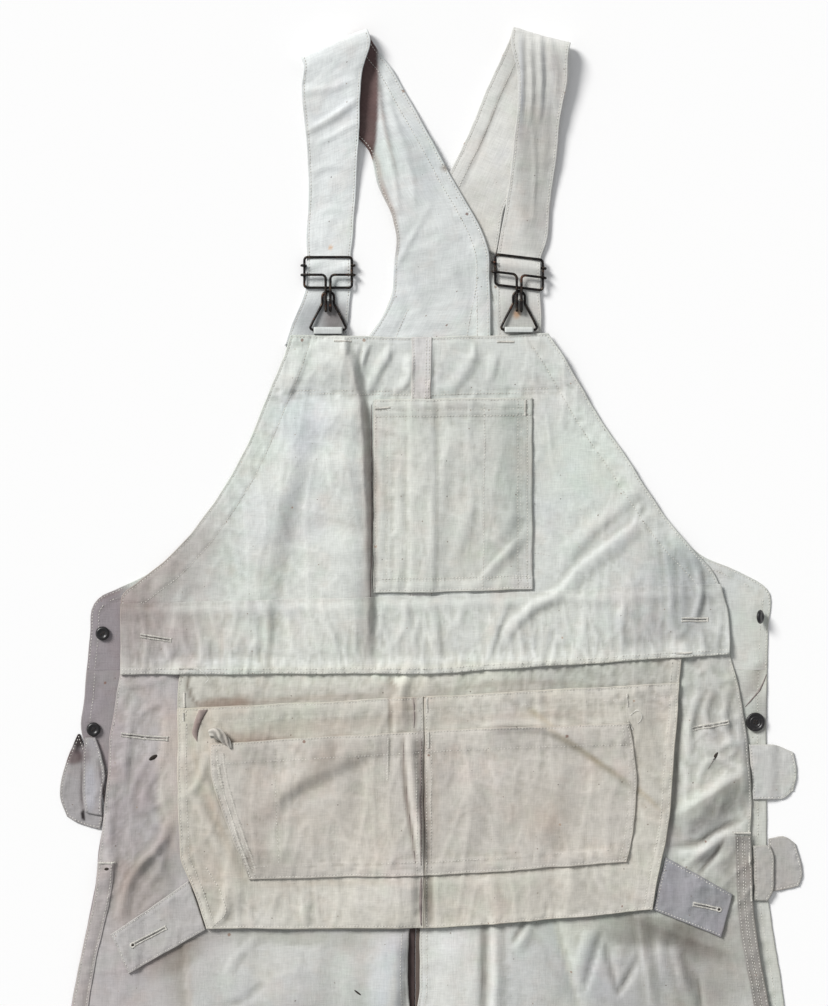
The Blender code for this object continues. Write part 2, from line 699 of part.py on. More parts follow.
def wrapped_end(x, y, z, side, start, end):
    """A wire's end bent round the frame's side: side is 1 at the right and -1 at the left."""
    return arc((x, y, z), WRAP, start, end, 6, u=(side, 0, 0), v=(0, 0, 1))


def slide_bar(side, x, rest, slope, collection):
    """The bar behind the strap, with its ends bent up round the frame's sides."""
    y, z = 382.0, rest + 3.9
    left = wrapped_end(x - SLIDE_HALF_WIDTH, y, z, -1, -90, 110)
    right = wrapped_end(x + SLIDE_HALF_WIDTH, y, z, 1, -90, 110)
    wire("slide_bar_" + side, sloped([*reversed(left), *right], x, slope), collection)


def strap_hook(side, x, rest, slope, collection):
    """The hook: arms bent round the frame's sides, two legs, and a tongue curled back under them."""
    arm_y, foot_y, tongue_y = 373.0, 340.0, 350.0
    frame_z = rest + 3.9
    top_z = frame_z + WRAP
    curl = WRAP / 2
    bend = 4.0
    half = HOOK_HALF_WIDTH
    points = []
    for way in (-1, 1):
        wrap = wrapped_end(x + way * SLIDE_HALF_WIDTH, arm_y, frame_z, way, 90, -110)
        centre = x + way * (half + bend), arm_y - bend, top_z
        turn = arc(centre, bend, 90, 180, 3, u=(way, 0, 0))
        under = arc((x + way * half, foot_y, top_z - curl), curl, 90, 270, 4, u=(0, 1, 0), v=(0, 0, 1))
        run = [*reversed(wrap), *turn, *under, Vector((x + way * half, tongue_y, top_z - WRAP))]
        points += run if way < 0 else list(reversed(run))
    wire("strap_hook_" + side, sloped(points, x, slope), collection)


def bib_ring(side, x, rest, collection):
    """The closed ring on the bib that the hook holds: a narrow neck that spreads to a straight foot."""
    neck_z, foot_z = rest + 3.9, rest + 4.8
    top_y, neck_y, foot_y = 357.5, 346.0, 321.0
    neck, foot, corner = RING_HALF_NECK, RING_HALF_FOOT, 2.5
    right = [
        *arc((x, top_y - neck, neck_z), neck, 90, 0, 4),
        Vector((x + neck, neck_y, neck_z)),
        Vector((x + neck + 2.2, neck_y - 4.5, neck_z)),
        Vector((x + foot - 1.6, foot_y + 6, foot_z)),
        *arc((x + foot - corner, foot_y + corner, foot_z), corner, 0, -90, 3),
    ]
    left = [Vector((2 * x - p.x, p.y, p.z)) for p in reversed(right[1:])]
    wire("bib_ring_" + side, [*right, *left], collection, closed=True)


def ring_tab(side, x, rest, root_y, collection):
    """A strip of cloth that goes round the ring's foot and down to the bib's top edge."""
    foot_y, foot_z = 321.0, rest + 4.8
    middle = WIRE + GAP + PLY / 2
    half = TAB_HALF_WIDTH
    line = [Vector((x, root_y, foot_z + middle))]
    line += arc((x, foot_y, foot_z), middle, 90, -90, 6, u=(0, 1, 0), v=(0, 0, 1))
    line += [Vector((x, root_y, foot_z - middle))]
    sections = [Section((x - half, p.y, p.z), (x + half, p.y, p.z)) for p in line]
    ribbon("ring_tab_" + side, sections, 1, PLY, collection)


def build_hardware(collection):
    """Slide, hook, ring and tab of each strap."""
    for side, x, rest, slope, root_y in (
        ("left", -90.0, 0.1, 0.0, 317.0),
        ("right", 91.0, 1.6, SLIDE_RIGHT_SLOPE, 318.4),
    ):
        slide_frame(side, x, rest, slope, collection)
        slide_bar(side, x, rest, slope, collection)
        strap_hook(side, x, rest, slope, collection)
        bib_ring(side, x, rest, collection)
        ring_tab(side, x, rest, root_y, collection)


def build_buttons(collection):
    """Four buttons on the back's side edges: three small domed ones, one of them tilted, and a large one."""
    r, large = SMALL_BUTTON_RADIUS, LARGE_BUTTON_RADIUS
    domed = [(0, 3.6), (r * 0.55, 3.2), (r * 0.88, 2.2), (r, 1.2), (r * 0.9, 0.3), (r * 0.5, 0), (0, 0)]
    rimmed = [(0, 2.2), (large * 0.6, 2.2), (large * 0.8, 3.2), (large * 0.95, 3.0), (large, 1.8)]
    rimmed += [(large * 0.8, 0), (0, 0)]
    rest = FRONT_REST
    disc("button_left_upper", (-304, 33, rest), domed, 0, collection)
    disc("button_left_lower", (-312.6, -58, rest), domed, 0, collection)
    disc("button_right_upper", (318, 49, rest + 6.0), domed, 62, collection)
    disc("button_right_lower", (315.4, -51, rest), rimmed, 0, collection)


def centre_on_table(collection):
    """Move the whole garment so that the origin is at its bottom centre."""
    graph = bpy.context.evaluated_depsgraph_get()
    corners = []
    for obj in collection.objects:
        evaluated = obj.evaluated_get(graph)
        mesh = evaluated.to_mesh()
        corners += [evaluated.matrix_world @ vert.co for vert in mesh.vertices]
        evaluated.to_mesh_clear()
    low = Vector([min(c[k] for c in corners) for k in range(3)])
    high = Vector([max(c[k] for c in corners) for k in range(3)])
    shift = Vector((-(low.x + high.x) / 2, -(low.y + high.y) / 2, -low.z))
    for obj in collection.objects:
        obj.location += shift
    print("the waist's centre is at", [round(c * 1000, 2) for c in shift], "mm")


def main():
    clear_scene()
    collection = bpy.data.collections.new("overalls")
    bpy.context.scene.collection.children.link(collection)
    build_legs(collection)
    build_bib(collection)
    build_apron(collection)
    build_apron_tabs(collection)
    build_side_loops(collection)
    build_straps(collection)
    build_hardware(collection)
    build_buttons(collection)
    bpy.context.view_layer.update()
    centre_on_table(collection)


main()
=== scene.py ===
"""Canvas bib overalls with a nail apron, laid flat on their back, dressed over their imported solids.

Lengths are millimetres in the garment's own plan: x runs across from the centre front, y runs up
from the waist seam, and z is the height over the table that the garment lies on. Each piece of cloth
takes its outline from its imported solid, and its height from what it lies on and its own folds.
"""

import json
import logging
import math
from dataclasses import dataclass, field
from enum import Enum
from typing import Callable, Iterable, Sequence

import bmesh
import bpy
import numpy as np
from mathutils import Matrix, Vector


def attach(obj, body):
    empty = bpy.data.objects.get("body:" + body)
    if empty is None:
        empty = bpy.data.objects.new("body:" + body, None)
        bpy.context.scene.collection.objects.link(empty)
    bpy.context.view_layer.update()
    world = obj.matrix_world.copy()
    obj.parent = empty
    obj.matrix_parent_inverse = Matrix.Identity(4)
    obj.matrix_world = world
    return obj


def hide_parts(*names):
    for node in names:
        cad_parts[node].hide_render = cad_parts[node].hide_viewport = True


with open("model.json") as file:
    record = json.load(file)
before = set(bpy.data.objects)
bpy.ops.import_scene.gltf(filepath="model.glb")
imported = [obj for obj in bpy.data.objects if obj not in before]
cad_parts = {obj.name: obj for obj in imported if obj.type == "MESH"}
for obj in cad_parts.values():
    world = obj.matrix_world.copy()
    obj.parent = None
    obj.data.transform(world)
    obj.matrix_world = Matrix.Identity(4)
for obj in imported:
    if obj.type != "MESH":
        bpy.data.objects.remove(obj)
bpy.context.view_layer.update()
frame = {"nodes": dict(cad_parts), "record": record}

log = logging.getLogger("overalls")

Array = np.ndarray
Mesh = bpy.types.Mesh
Object = bpy.types.Object
Material = bpy.types.Material
Node = bpy.types.Node
Socket = bpy.types.NodeSocket
Tree = bpy.types.NodeTree
Point = tuple[float, float]
Field = Callable[[Array, Array], Array]
Color = tuple[float, float, float]
Spot = tuple[float, float, float]
Section = tuple[Spot, Spot]
Zone = tuple[float, float, float, float]  # low x, high x, low y, high y

MM = 0.001
GAP = 0.3  # clearance between layers that touch
PLY = 1.2  # one layer of canvas
DOUBLE_PLY = 2.0
BACK_REST = 0.0
FRONT_REST = BACK_REST + PLY + GAP
BIB_TOP_LIFT = 2.8  # how far the bib's top edge stands over the strap ends under it
RESTING_MARK = (0.0, 60.0)  # the plan point under which the record states the resting face
ORIGIN = np.array(frame["record"]["mounts"][0]["pos_m"]) - np.array([*RESTING_MARK, 0.0]) * MM
WIRE = 1.2  # radius of the wire in slides, hooks and rings
WRAP = 2 * WIRE + GAP  # from one wire's axis to that of a wire bent round it
ROUNDING = 1.1  # how far in from a free edge the cloth comes to its full thickness
FAR = 9e3  # beyond every edge of the garment
EVERYWHERE: Zone = (-FAR, FAR, -FAR, FAR)


# ---- Plan geometry and relief ----


def smooth_step(value: Array | float, start: float, end: float) -> Array:
    """A smooth rise.

    Args:
        value: what is compared.
        start: where the rise starts at 0.
        end: where it ends at 1.

    Returns:
        The rise at each value.
    """
    share = np.clip((np.asarray(value, float) - start) / (end - start), 0.0, 1.0)
    return share * share * (3 - 2 * share)


def smooth_line(points: Sequence[Sequence[float]], step: float) -> Array:
    """A smooth curve through points.

    Args:
        points: the points it passes, in order.
        step: the spacing of the result, in millimetres.

    Returns:
        The curve as an array of points.
    """
    knots = np.asarray(points, float)
    runs = np.concatenate([[0.0], np.cumsum(np.linalg.norm(np.diff(knots, axis=0), axis=1))])
    at = np.linspace(0.0, runs[-1], max(2, int(math.ceil(runs[-1] / step)) + 1))
    if len(knots) == 2:
        return knots[0] + np.outer(at / runs[-1], knots[1] - knots[0])
    slopes = np.gradient(knots, runs, axis=0)
    i = np.clip(np.searchsorted(runs, at, side="right") - 1, 0, len(knots) - 2)
    span = (runs[i + 1] - runs[i])[:, None]
    t = (at - runs[i])[:, None] / span
    return (
        knots[i] * (2 * t**3 - 3 * t**2 + 1)
        + slopes[i] * span * (t**3 - 2 * t**2 + t)
        + knots[i + 1] * (3 * t**2 - 2 * t**3)
        + slopes[i + 1] * span * (t**3 - t**2)
    )


def nearest_on(line: Array, x: Array, y: Array) -> tuple[Array, Array, Array]:
    """Where points lie beside a plan line.

    Args:
        line: the line's points.
        x: the points' places across.
        y: their places up the plan.

    Returns:
        Each point's distance from the line, its run along it, and 1 on its left or -1 on its right.
    """
    steps = np.diff(line, axis=0)
    lengths = np.maximum(np.hypot(steps[:, 0], steps[:, 1]), 1e-9)
    before = np.concatenate([[0.0], np.cumsum(lengths)[:-1]])
    dx = x[:, None] - line[:-1, 0]
    dy = y[:, None] - line[:-1, 1]
    share = np.clip((dx * steps[:, 0] + dy * steps[:, 1]) / lengths**2, 0.0, 1.0)
    off_x = dx - share * steps[:, 0]
    off_y = dy - share * steps[:, 1]
    distance = np.hypot(off_x, off_y)
    best = np.argmin(distance, axis=1)
    rows = np.arange(len(x))
    side = np.sign(steps[best, 0] * off_y[rows, best] - steps[best, 1] * off_x[rows, best])
    return distance[rows, best], before[best] + share[rows, best] * lengths[best], side


def inside(loop: Array, x: Array, y: Array) -> Array:
    """Which points lie inside a closed plan loop.

    Args:
        loop: the loop's points, in order.
        x: the points' places across.
        y: their places up the plan.

    Returns:
        Whether each point lies inside.
    """
    ax, ay = loop[:, 0], loop[:, 1]
    bx, by = np.roll(ax, -1), np.roll(ay, -1)
    crosses = (ay > y[:, None]) != (by > y[:, None])
    rise = np.where(by == ay, 1e-9, by - ay)
    at = ax + (y[:, None] - ay) * (bx - ax) / rise
    return (crosses & (x[:, None] < at)).sum(axis=1) % 2 == 1


def gradient_noise(x: Array, y: Array, seed: int) -> Array:
    """Smooth noise of about -1 to 1, with features one unit across.

    Args:
        x: the points' places across.
        y: their places up.
        seed: picks the pattern.

    Returns:
        The noise at each point.
    """
    cell_x, cell_y = np.floor(x), np.floor(y)
    in_x, in_y = x - cell_x, y - cell_y

    def corner(dx: int, dy: int) -> Array:
        """The slope noise that one corner of each cell gives.

        Args:
            dx: the corner's place across the cell, 0 or 1.
            dy: its place up the cell, 0 or 1.

        Returns:
            Its part of the noise at each point.
        """
        cell = (cell_x + dx).astype(np.int64), (cell_y + dy).astype(np.int64)
        mixed = (cell[0] * 374761393 + cell[1] * 668265263 + seed * 2246822519) & 0xFFFFFFFF
        mixed = ((mixed ^ (mixed >> 13)) * 1274126177) & 0xFFFFFFFF
        turn = ((mixed ^ (mixed >> 16)) & 0xFFFF) * (math.tau / 65536)
        return np.cos(turn) * (in_x - dx) + np.sin(turn) * (in_y - dy)

    u = in_x**3 * (in_x * (in_x * 6 - 15) + 10)
    v = in_y**3 * (in_y * (in_y * 6 - 15) + 10)
    low = corner(0, 0) * (1 - u) + corner(1, 0) * u
    high = corner(0, 1) * (1 - u) + corner(1, 1) * u
    return 1.5 * (low * (1 - v) + high * v)


def line_length(line: Array) -> float:
    """The length of a line of points."""
    return float(np.linalg.norm(np.diff(line, axis=0), axis=1).sum())


def along(line: Array, shares: Array) -> Array:
    """Points at shares of a line's length."""
    runs = np.concatenate([[0.0], np.cumsum(np.linalg.norm(np.diff(line, axis=0), axis=1))])
    return np.stack([np.interp(shares * runs[-1], runs, line[:, k]) for k in range(line.shape[1])], axis=1)


def sideways(line: Array) -> Array:
    """Finds the way to a plan line's left.

    Args:
        line: the line's points.

    Returns:
        A unit step to the left at each point.
    """
    steps = np.gradient(line, axis=0)
    normal = np.stack([-steps[:, 1], steps[:, 0]], axis=1)
    return normal / np.maximum(np.linalg.norm(normal, axis=1, keepdims=True), 1e-9)


def near_line(points: Sequence[Point], reach: float, x: Array, y: Array) -> tuple[Array, Array]:
    """Finds the plan points that a mark along a line can touch.

    Args:
        points: the points that the line passes.
        reach: how far the mark goes to either side.
        x: the plan points' places across.
        y: their places up the plan.

    Returns:
        The line as a smooth curve, and whether each plan point is in the box round its reach.
    """
    line = smooth_line(points, 6.0)
    low, high = line.min(axis=0) - reach, line.max(axis=0) + reach
    return line, (x > low[0]) & (x < high[0]) & (y > low[1]) & (y < high[1])


@dataclass(frozen=True)
class Fold:
    """A soft ridge, or a trough where its height is negative, along a line of plan points.

    Left and right are the reaches of its two slopes, on the sides of someone walking along it.
    """

    line: tuple[Point, ...]
    left: float
    right: float
    height: float

    def __call__(self, x: Array, y: Array) -> Array:
        """The height that the fold adds at plan points.

        Args:
            x: the points' places across.
            y: their places up the plan.

        Returns:
            The height at each point.
        """
        line, near = near_line(self.line, max(self.left, self.right), x, y)
        added = np.zeros(x.shape)
        if near.any():
            off, run, side = nearest_on(line, x[near], y[near])
            taper = np.sqrt(np.sin(np.pi * np.clip(run / line_length(line), 0.0, 1.0)))
            uneven = 1 + 0.3 * gradient_noise(run / 28, np.full(run.shape, self.line[0][0] / 7), 3)
            share = np.clip(off / np.where(side > 0, self.left, self.right), 0.0, 1.0)
            added[near] = self.height * taper * uneven * 0.5 * (1 + np.cos(np.pi * share))
        return added


@dataclass(frozen=True)
class Crumple:
    """Handled cloth: uneven dents with soft creases between them, stronger inside a zone."""

    across: float
    along: float
    height: float
    seed: int
    turn: float = 0.0
    creased: float = 0.5  # share of the relief that is crease rather than dent
    zone: Zone = EVERYWHERE
    edge: float = 25.0  # how softly it fades at the zone's edge

    def __call__(self, x: Array, y: Array) -> Array:
        """The height that the crumpling adds at plan points.

        Args:
            x: the points' places across.
            y: their places up the plan.

        Returns:
            The height at each point.
        """
        cos, sin = math.cos(math.radians(self.turn)), math.sin(math.radians(self.turn))
        u, v = (x * cos + y * sin) / self.across, (y * cos - x * sin) / self.along
        warp_u = u + 0.28 * gradient_noise(u * 0.6, v * 0.6, self.seed + 11)
        warp_v = v + 0.28 * gradient_noise(u * 0.6, v * 0.6, self.seed + 12)
        dents = gradient_noise(warp_u, warp_v, self.seed)
        fine = gradient_noise(warp_u * 2.1, warp_v * 2.1, self.seed + 1)
        ridge = 1 - np.abs(gradient_noise(warp_u * 0.9, warp_v * 0.9, self.seed + 2)) * 2.4
        ridge = np.clip(ridge, 0.0, 1.0) ** 2.5
        x0, x1, y0, y1 = self.zone
        mask = smooth_step(x, x0 - self.edge, x0 + self.edge)
        mask = mask * (1 - smooth_step(x, x1 - self.edge, x1 + self.edge))
        mask = mask * smooth_step(y, y0 - self.edge, y0 + self.edge)
        mask = mask * (1 - smooth_step(y, y1 - self.edge, y1 + self.edge))
        relief = (1 - self.creased) * (dents + 0.4 * fine) + self.creased * (ridge - 0.25)
        return self.height * relief * mask


@dataclass(frozen=True)
class Relief:
    """Folds and crumpling together, kept from sinking under the layer's own rest."""

    shapes: tuple[Field, ...]
    base: float = 0.0
    softness: float = 0.35

    def __call__(self, x: Array, y: Array) -> Array:
        """The height of the layer over its rest at plan points.

        Args:
            x: the points' places across.
            y: their places up the plan.

        Returns:
            The height at each point.
        """
        total = np.full(x.shape, self.base)
        for shape in self.shapes:
            total = total + shape(x, y)
        return 0.5 * (total + np.sqrt(total**2 + self.softness**2))


@dataclass(frozen=True)
class Level:
    """An even height."""

    height: float = 0.0

    def __call__(self, x: Array, y: Array) -> Array:
        """The same height at each plan point."""
        return np.full(x.shape, self.height)


def plus(*fields: Field) -> Field:
    """Adds fields up.

    Args:
        fields: the fields, in the order they are added.

    Returns:
        Their sum as a field.
    """

    def total(x: Array, y: Array) -> Array:
        """The sum at plan points."""
        return sum(shape(x, y) for shape in fields)

    return total


# ---- Colour of the cloth ----


@dataclass(frozen=True)
class Patch:
    """A soft-edged place where the cloth's colour is multiplied: mostly painted shade where folds, edges and
    parts lying over the cloth would shade it, and painted light on lit places; also the cloth's own stains
    and tone.
    """

    x: float
    y: float
    reach_x: float
    reach_y: float
    color: Color
    turn: float = 0.0
    core: float = 0.1  # the share of its reach that it covers fully

    def share(self, x: Array, y: Array) -> Array:
        """How strongly the patch shows at plan points.

        Args:
            x: the points' places across.
            y: their places up the plan.

        Returns:
            A share from 0 to 1 at each point.
        """
        cos, sin = math.cos(math.radians(self.turn)), math.sin(math.radians(self.turn))
        u = ((x - self.x) * cos + (y - self.y) * sin) / self.reach_x
        v = ((y - self.y) * cos - (x - self.x) * sin) / self.reach_y
        wobble = 0.22 * gradient_noise(x / 31, y / 31, 71) + 0.10 * gradient_noise(x / 9, y / 9, 72)
        return 1 - smooth_step(np.hypot(u, v) + wobble * (1 - self.core), self.core, 1.05)


@dataclass(frozen=True)
class Streak:
    """A soft mark along a line of plan points: painted shade in a crease, beside a fold or under an edge,
    painted light along a lit flank, and sometimes grime.

    Left and right are its reaches on the sides of someone walking along it.
    """

    line: tuple[Point, ...]
    left: float
    right: float
    color: Color

    def share(self, x: Array, y: Array) -> Array:
        """How strongly the mark shows at plan points.

        Args:
            x: the points' places across.
            y: their places up the plan.

        Returns:
            A share from 0 to 1 at each point.
        """
        line, near = near_line(self.line, max(self.left, self.right), x, y)
        shown = np.zeros(x.shape)
        if near.any():
            off, run, side = nearest_on(line, x[near], y[near])
            taper = np.sqrt(np.sin(np.pi * np.clip(run / line_length(line), 0.02, 0.98)))
            faded = 1 - smooth_step(off / np.where(side > 0, self.left, self.right), 0.0, 1.0)
            shown[near] = faded * taper * (0.85 + 0.3 * gradient_noise(run / 14, off / 9, 73))
        return np.clip(shown, 0.0, 1.0)


def tinted(base: Color, patches: Iterable[Patch | Streak], x: Array, y: Array) -> Array:
    """The cloth's colour at plan points.

    Args:
        base: the colour where no patch reaches.
        patches: the patches that multiply it.
        x: the points' places across.
        y: their places up the plan.

    Returns:
        A linear colour for each point.
    """
    color = np.tile(np.array(base, float), (len(x), 1))
    for patch in patches:
        share = patch.share(x, y)[:, None]
        color = color * (1 - share + share * np.array(patch.color))
    return color


# ---- Finishes ----


class Slot(Enum):
    """The record's material slots."""

    CANVAS = "canvas"
    STEEL = "wire_steel"
    BUTTON = "button_black"


class Nodes:
    """A node tree with short calls to add and join nodes."""

    def __init__(self, tree: Tree) -> None:
        """Keeps the tree."""
        self.tree = tree

    def add(self, kind: str, inputs: dict | None = None, **settings: object) -> Node:
        """Adds a node.

        Args:
            kind: the node's type name.
            inputs: values or sockets for its inputs, by name or index.
            settings: properties of the node itself.

        Returns:
            The node.
        """
        node = self.tree.nodes.new(kind)
        for name, value in settings.items():
            setattr(node, name, value)
        for key, value in (inputs or {}).items():
            if isinstance(value, Socket):
                self.tree.links.new(value, node.inputs[key])
            else:
                node.inputs[key].default_value = value
        return node

    def link(self, source: Socket, target: Socket) -> None:
        """Joins two sockets."""
        self.tree.links.new(source, target)

    def math(self, operation: str, a: object, b: object = 0.0, clamp: bool = False) -> Socket:
        """A Math node's result."""
        node = self.add("ShaderNodeMath", {0: a, 1: b}, operation=operation, use_clamp=clamp)
        return node.outputs[0]

    def noise(self, vector: object, scale: float, detail: float = 2.0, rough: float = 0.5) -> Socket:
        """A Noise Texture's value."""
        inputs = {"Vector": vector, "Scale": scale, "Detail": detail, "Roughness": rough}
        return self.add("ShaderNodeTexNoise", inputs).outputs[0]

    def scaled(self, vector: object, scale: Spot) -> Socket:
        """A vector with each part multiplied."""
        inputs = {"Vector": vector, "Scale": scale}
        return self.add("ShaderNodeMapping", inputs, vector_type="POINT").outputs[0]

    def between(self, value: object, low: float, high: float, to: Point = (0.0, 1.0)) -> Socket:
        """A value mapped smoothly from low..high to a range."""
        inputs = {"Value": value, "From Min": low, "From Max": high, "To Min": to[0], "To Max": to[1]}
        return self.add("ShaderNodeMapRange", inputs, interpolation_type="SMOOTHSTEP").outputs[0]

    def mix(self, share: object, a: object, b: object, blend: str = "MIX") -> Socket:
        """Mixes two colours.

        Args:
            share: how much of the second shows, as a value or socket.
            a: the first colour, as a value or socket.
            b: the second colour, likewise.
            blend: the way they are blended.

        Returns:
            The mixed colour's socket.
        """
        node = self.add("ShaderNodeMix", data_type="RGBA", blend_type=blend)
        for socket, value in ((node.inputs[0], share), (node.inputs[6], a), (node.inputs[7], b)):
            if isinstance(value, Socket):
                self.tree.links.new(value, socket)
            else:
                socket.default_value = value
        return node.outputs[2]


def new_group(
    name: str, inputs: dict[str, tuple[str, object]], outputs: dict[str, str]
) -> tuple[Tree, Nodes, Node, Node]:
    """Starts a shader node group.

    Args:
        name: the group's name.
        inputs: each input's socket type and default, by name.
        outputs: each output's socket type, by name.

    Returns:
        The group, its Nodes helper, its input node and its output node.
    """
    group = bpy.data.node_groups.new(name, "ShaderNodeTree")
    for label, (kind, default) in inputs.items():
        socket = group.interface.new_socket(label, in_out="INPUT", socket_type=kind)
        if default is not None:
            socket.default_value = default
    for label, kind in outputs.items():
        group.interface.new_socket(label, in_out="OUTPUT", socket_type=kind)
    nodes = Nodes(group)
    return group, nodes, nodes.add("NodeGroupInput"), nodes.add("NodeGroupOutput")


def weave_group() -> Tree:
    """Makes the canvas weave: crossing threads, uneven slubs and a soft mottle.

    Returns:
        The group, which gives a shade and a height.
    """
    group, n, given, out = new_group(
        "canvas_weave",
        {
            "Vector": ("NodeSocketVector", None),
            "Pitch": ("NodeSocketFloat", 0.0008),
            "Slub": ("NodeSocketFloat", 1.0),
        },
        {"Shade": "NodeSocketFloat", "Height": "NodeSocketFloat"},
    )
    where = given.outputs["Vector"]
    frequency = n.math("DIVIDE", math.tau, given.outputs["Pitch"])
    parts = n.add("ShaderNodeSeparateXYZ", {0: where})
    warp = n.math("SINE", n.math("MULTIPLY", parts.outputs[0], frequency))
    weft = n.math("SINE", n.math("MULTIPLY", parts.outputs[1], frequency))
    threads = n.math("MULTIPLY", warp, weft)
    along = n.noise(n.scaled(where, (90, 900, 1)), 1.0, 3.0, 0.55)
    across = n.noise(n.scaled(where, (900, 75, 1)), 1.0, 3.0, 0.55)
    slubs = n.math("SUBTRACT", n.math("ADD", along, across), 1.0)
    mottle = n.math("SUBTRACT", n.noise(where, 60.0, 5.0, 0.65), 0.5)
    shade = n.math("ADD", n.math("MULTIPLY", slubs, given.outputs["Slub"]), n.math("MULTIPLY", mottle, 0.55))
    n.link(n.math("ADD", n.math("MULTIPLY", shade, 0.42), 1.0), out.inputs["Shade"])
    height = n.math("ADD", n.math("MULTIPLY", threads, 0.18), n.math("MULTIPLY", slubs, 0.9))
    n.link(n.math("ADD", height, n.math("MULTIPLY", mottle, 1.6)), out.inputs["Height"])
    return group


def speck_group() -> Tree:
    """Makes specks and small stains from work.

    Returns:
        The group, which gives a mask of dots and a random value for each dot.
    """
    group, n, given, out = new_group(
        "work_specks",
        {
            "Vector": ("NodeSocketVector", None),
            "Density": ("NodeSocketFloat", 55.0),
            "Size": ("NodeSocketFloat", 0.05),
            "Share": ("NodeSocketFloat", 0.35),
        },
        {"Mask": "NodeSocketFloat", "Pick": "NodeSocketFloat"},
    )
    where = given.outputs["Vector"]
    ragged = n.add("ShaderNodeTexNoise", {"Vector": where, "Scale": 900.0}).outputs[1]
    bent = n.add("ShaderNodeMix", {0: 0.0015, 4: where, 5: ragged}, data_type="VECTOR")
    cells = n.add(
        "ShaderNodeTexVoronoi",
        {"Vector": bent.outputs[1], "Scale": given.outputs["Density"], "Randomness": 1.0},
        voronoi_dimensions="2D",
    )
    pick = n.add("ShaderNodeSeparateColor", {0: cells.outputs["Color"]})
    size = n.math("MULTIPLY", given.outputs["Size"], n.math("ADD", pick.outputs[1], 0.35))
    dot = n.math("SUBTRACT", 1.0, n.math("DIVIDE", cells.outputs["Distance"], size), clamp=True)
    dot = n.math("MULTIPLY", dot, 3.0, clamp=True)
    kept = n.math("LESS_THAN", pick.outputs[0], given.outputs["Share"])
    n.link(n.math("MULTIPLY", dot, kept), out.inputs["Mask"])
    n.link(pick.outputs[2], out.inputs["Pick"])
    return group


def new_material(name: str) -> tuple[Material, Nodes, Node]:
    """Starts a material.

    Args:
        name: its name.

    Returns:
        The material, its Nodes helper and its shader.
    """
    material = bpy.data.materials.new(name)
    material.use_nodes = True
    return material, Nodes(material.node_tree), material.node_tree.nodes["Principled BSDF"]


@dataclass(frozen=True)
class CanvasFinish:
    """Undyed cotton canvas: the piece's tint, which holds its own colour together with the painted shade and
    light of its patches, dips and ridges, under weave, mottle, stains and work specks.
    """

    name: str = "canvas_cloth"
    roughness: float = 0.93
    sheen: float = 0.12
    bump: float = 0.55

    def make(self, groups: dict[str, Tree]) -> Material:
        """Builds the material.

        Args:
            groups: the shared node groups, by name.

        Returns:
            The material.
        """
        material, n, shader = new_material(self.name)
        where = n.add("ShaderNodeAttribute", attribute_name="cloth").outputs["Vector"]
        tint = n.add("ShaderNodeAttribute", attribute_name="tint").outputs["Color"]
        weave = n.add("ShaderNodeGroup", {}, node_tree=groups["weave"])
        n.link(where, weave.inputs["Vector"])
        weave.inputs["Slub"].default_value = 0.8
        color = n.mix(1.0, tint, weave.outputs["Shade"], "MULTIPLY")
        aged = n.between(n.noise(where, 11.0, 4.0, 0.6), 0.52, 0.75, (0.0, 0.32))
        color = n.mix(aged, color, n.mix(1.0, color, (0.93, 0.86, 0.76, 1.0), "MULTIPLY"))
        for seed, scale, cast in (
            (0.3, 17.0, (1.0, 0.93, 0.92, 1.0)),
            (0.7, 15.0, (0.93, 1.0, 0.95, 1.0)),
            (0.9, 13.0, (0.95, 0.95, 1.0, 1.0)),
            (1.3, 34.0, (1.0, 0.95, 0.93, 1.0)),
            (1.9, 31.0, (0.955, 1.0, 0.965, 1.0)),
        ):
            moved = n.add("ShaderNodeMapping", {"Vector": where, "Location": (seed, seed, seed)}).outputs[0]
            share = n.between(n.noise(moved, scale, 3.0, 0.6), 0.52, 0.70, (0.0, 0.55))
            color = n.mix(share, color, n.mix(1.0, color, cast, "MULTIPLY"))
        for density, size, share, dark, light in (
            (48.0, 0.030, 0.30, (0.07, 0.05, 0.04, 1.0), (0.30, 0.22, 0.16, 1.0)),
            (16.0, 0.022, 0.30, (0.16, 0.07, 0.05, 1.0), (0.42, 0.30, 0.22, 1.0)),
        ):
            specks = n.add("ShaderNodeGroup", {}, node_tree=groups["specks"])
            n.link(where, specks.inputs["Vector"])
            for label, value in (("Density", density), ("Size", size), ("Share", share)):
                specks.inputs[label].default_value = value
            spot = n.mix(specks.outputs["Pick"], dark, light)
            color = n.mix(n.math("MULTIPLY", specks.outputs["Mask"], 0.75), color, spot)
        n.link(color, shader.inputs["Base Color"])
        relief = {"Strength": self.bump, "Distance": 0.0004, "Height": weave.outputs["Height"]}
        bump = n.add("ShaderNodeBump", relief)
        n.link(bump.outputs[0], shader.inputs["Normal"])
        shader.inputs["Roughness"].default_value = self.roughness
        shader.inputs["Sheen Weight"].default_value = self.sheen
        shader.inputs["Specular IOR Level"].default_value = 0.2
        return material


@dataclass(frozen=True)
class ThreadFinish:
    """One colour, slightly uneven along its length: sewing thread, and the painted shade in openings and
    creases.
    """

    name: str
    color: Color
    roughness: float = 0.75

    def make(self) -> Material:
        """Builds the material.

        Returns:
            The material.
        """
        material, n, shader = new_material(self.name)
        where = n.add("ShaderNodeTexCoord").outputs["Object"]
        uneven = n.between(n.noise(where, 160.0, 3.0), 0.3, 0.7, (0.78, 1.08))
        base = (*self.color, 1.0)
        n.link(n.mix(1.0, base, uneven, "MULTIPLY"), shader.inputs["Base Color"])
        shader.inputs["Roughness"].default_value = self.roughness
        shader.inputs["Specular IOR Level"].default_value = 0.25
        return material


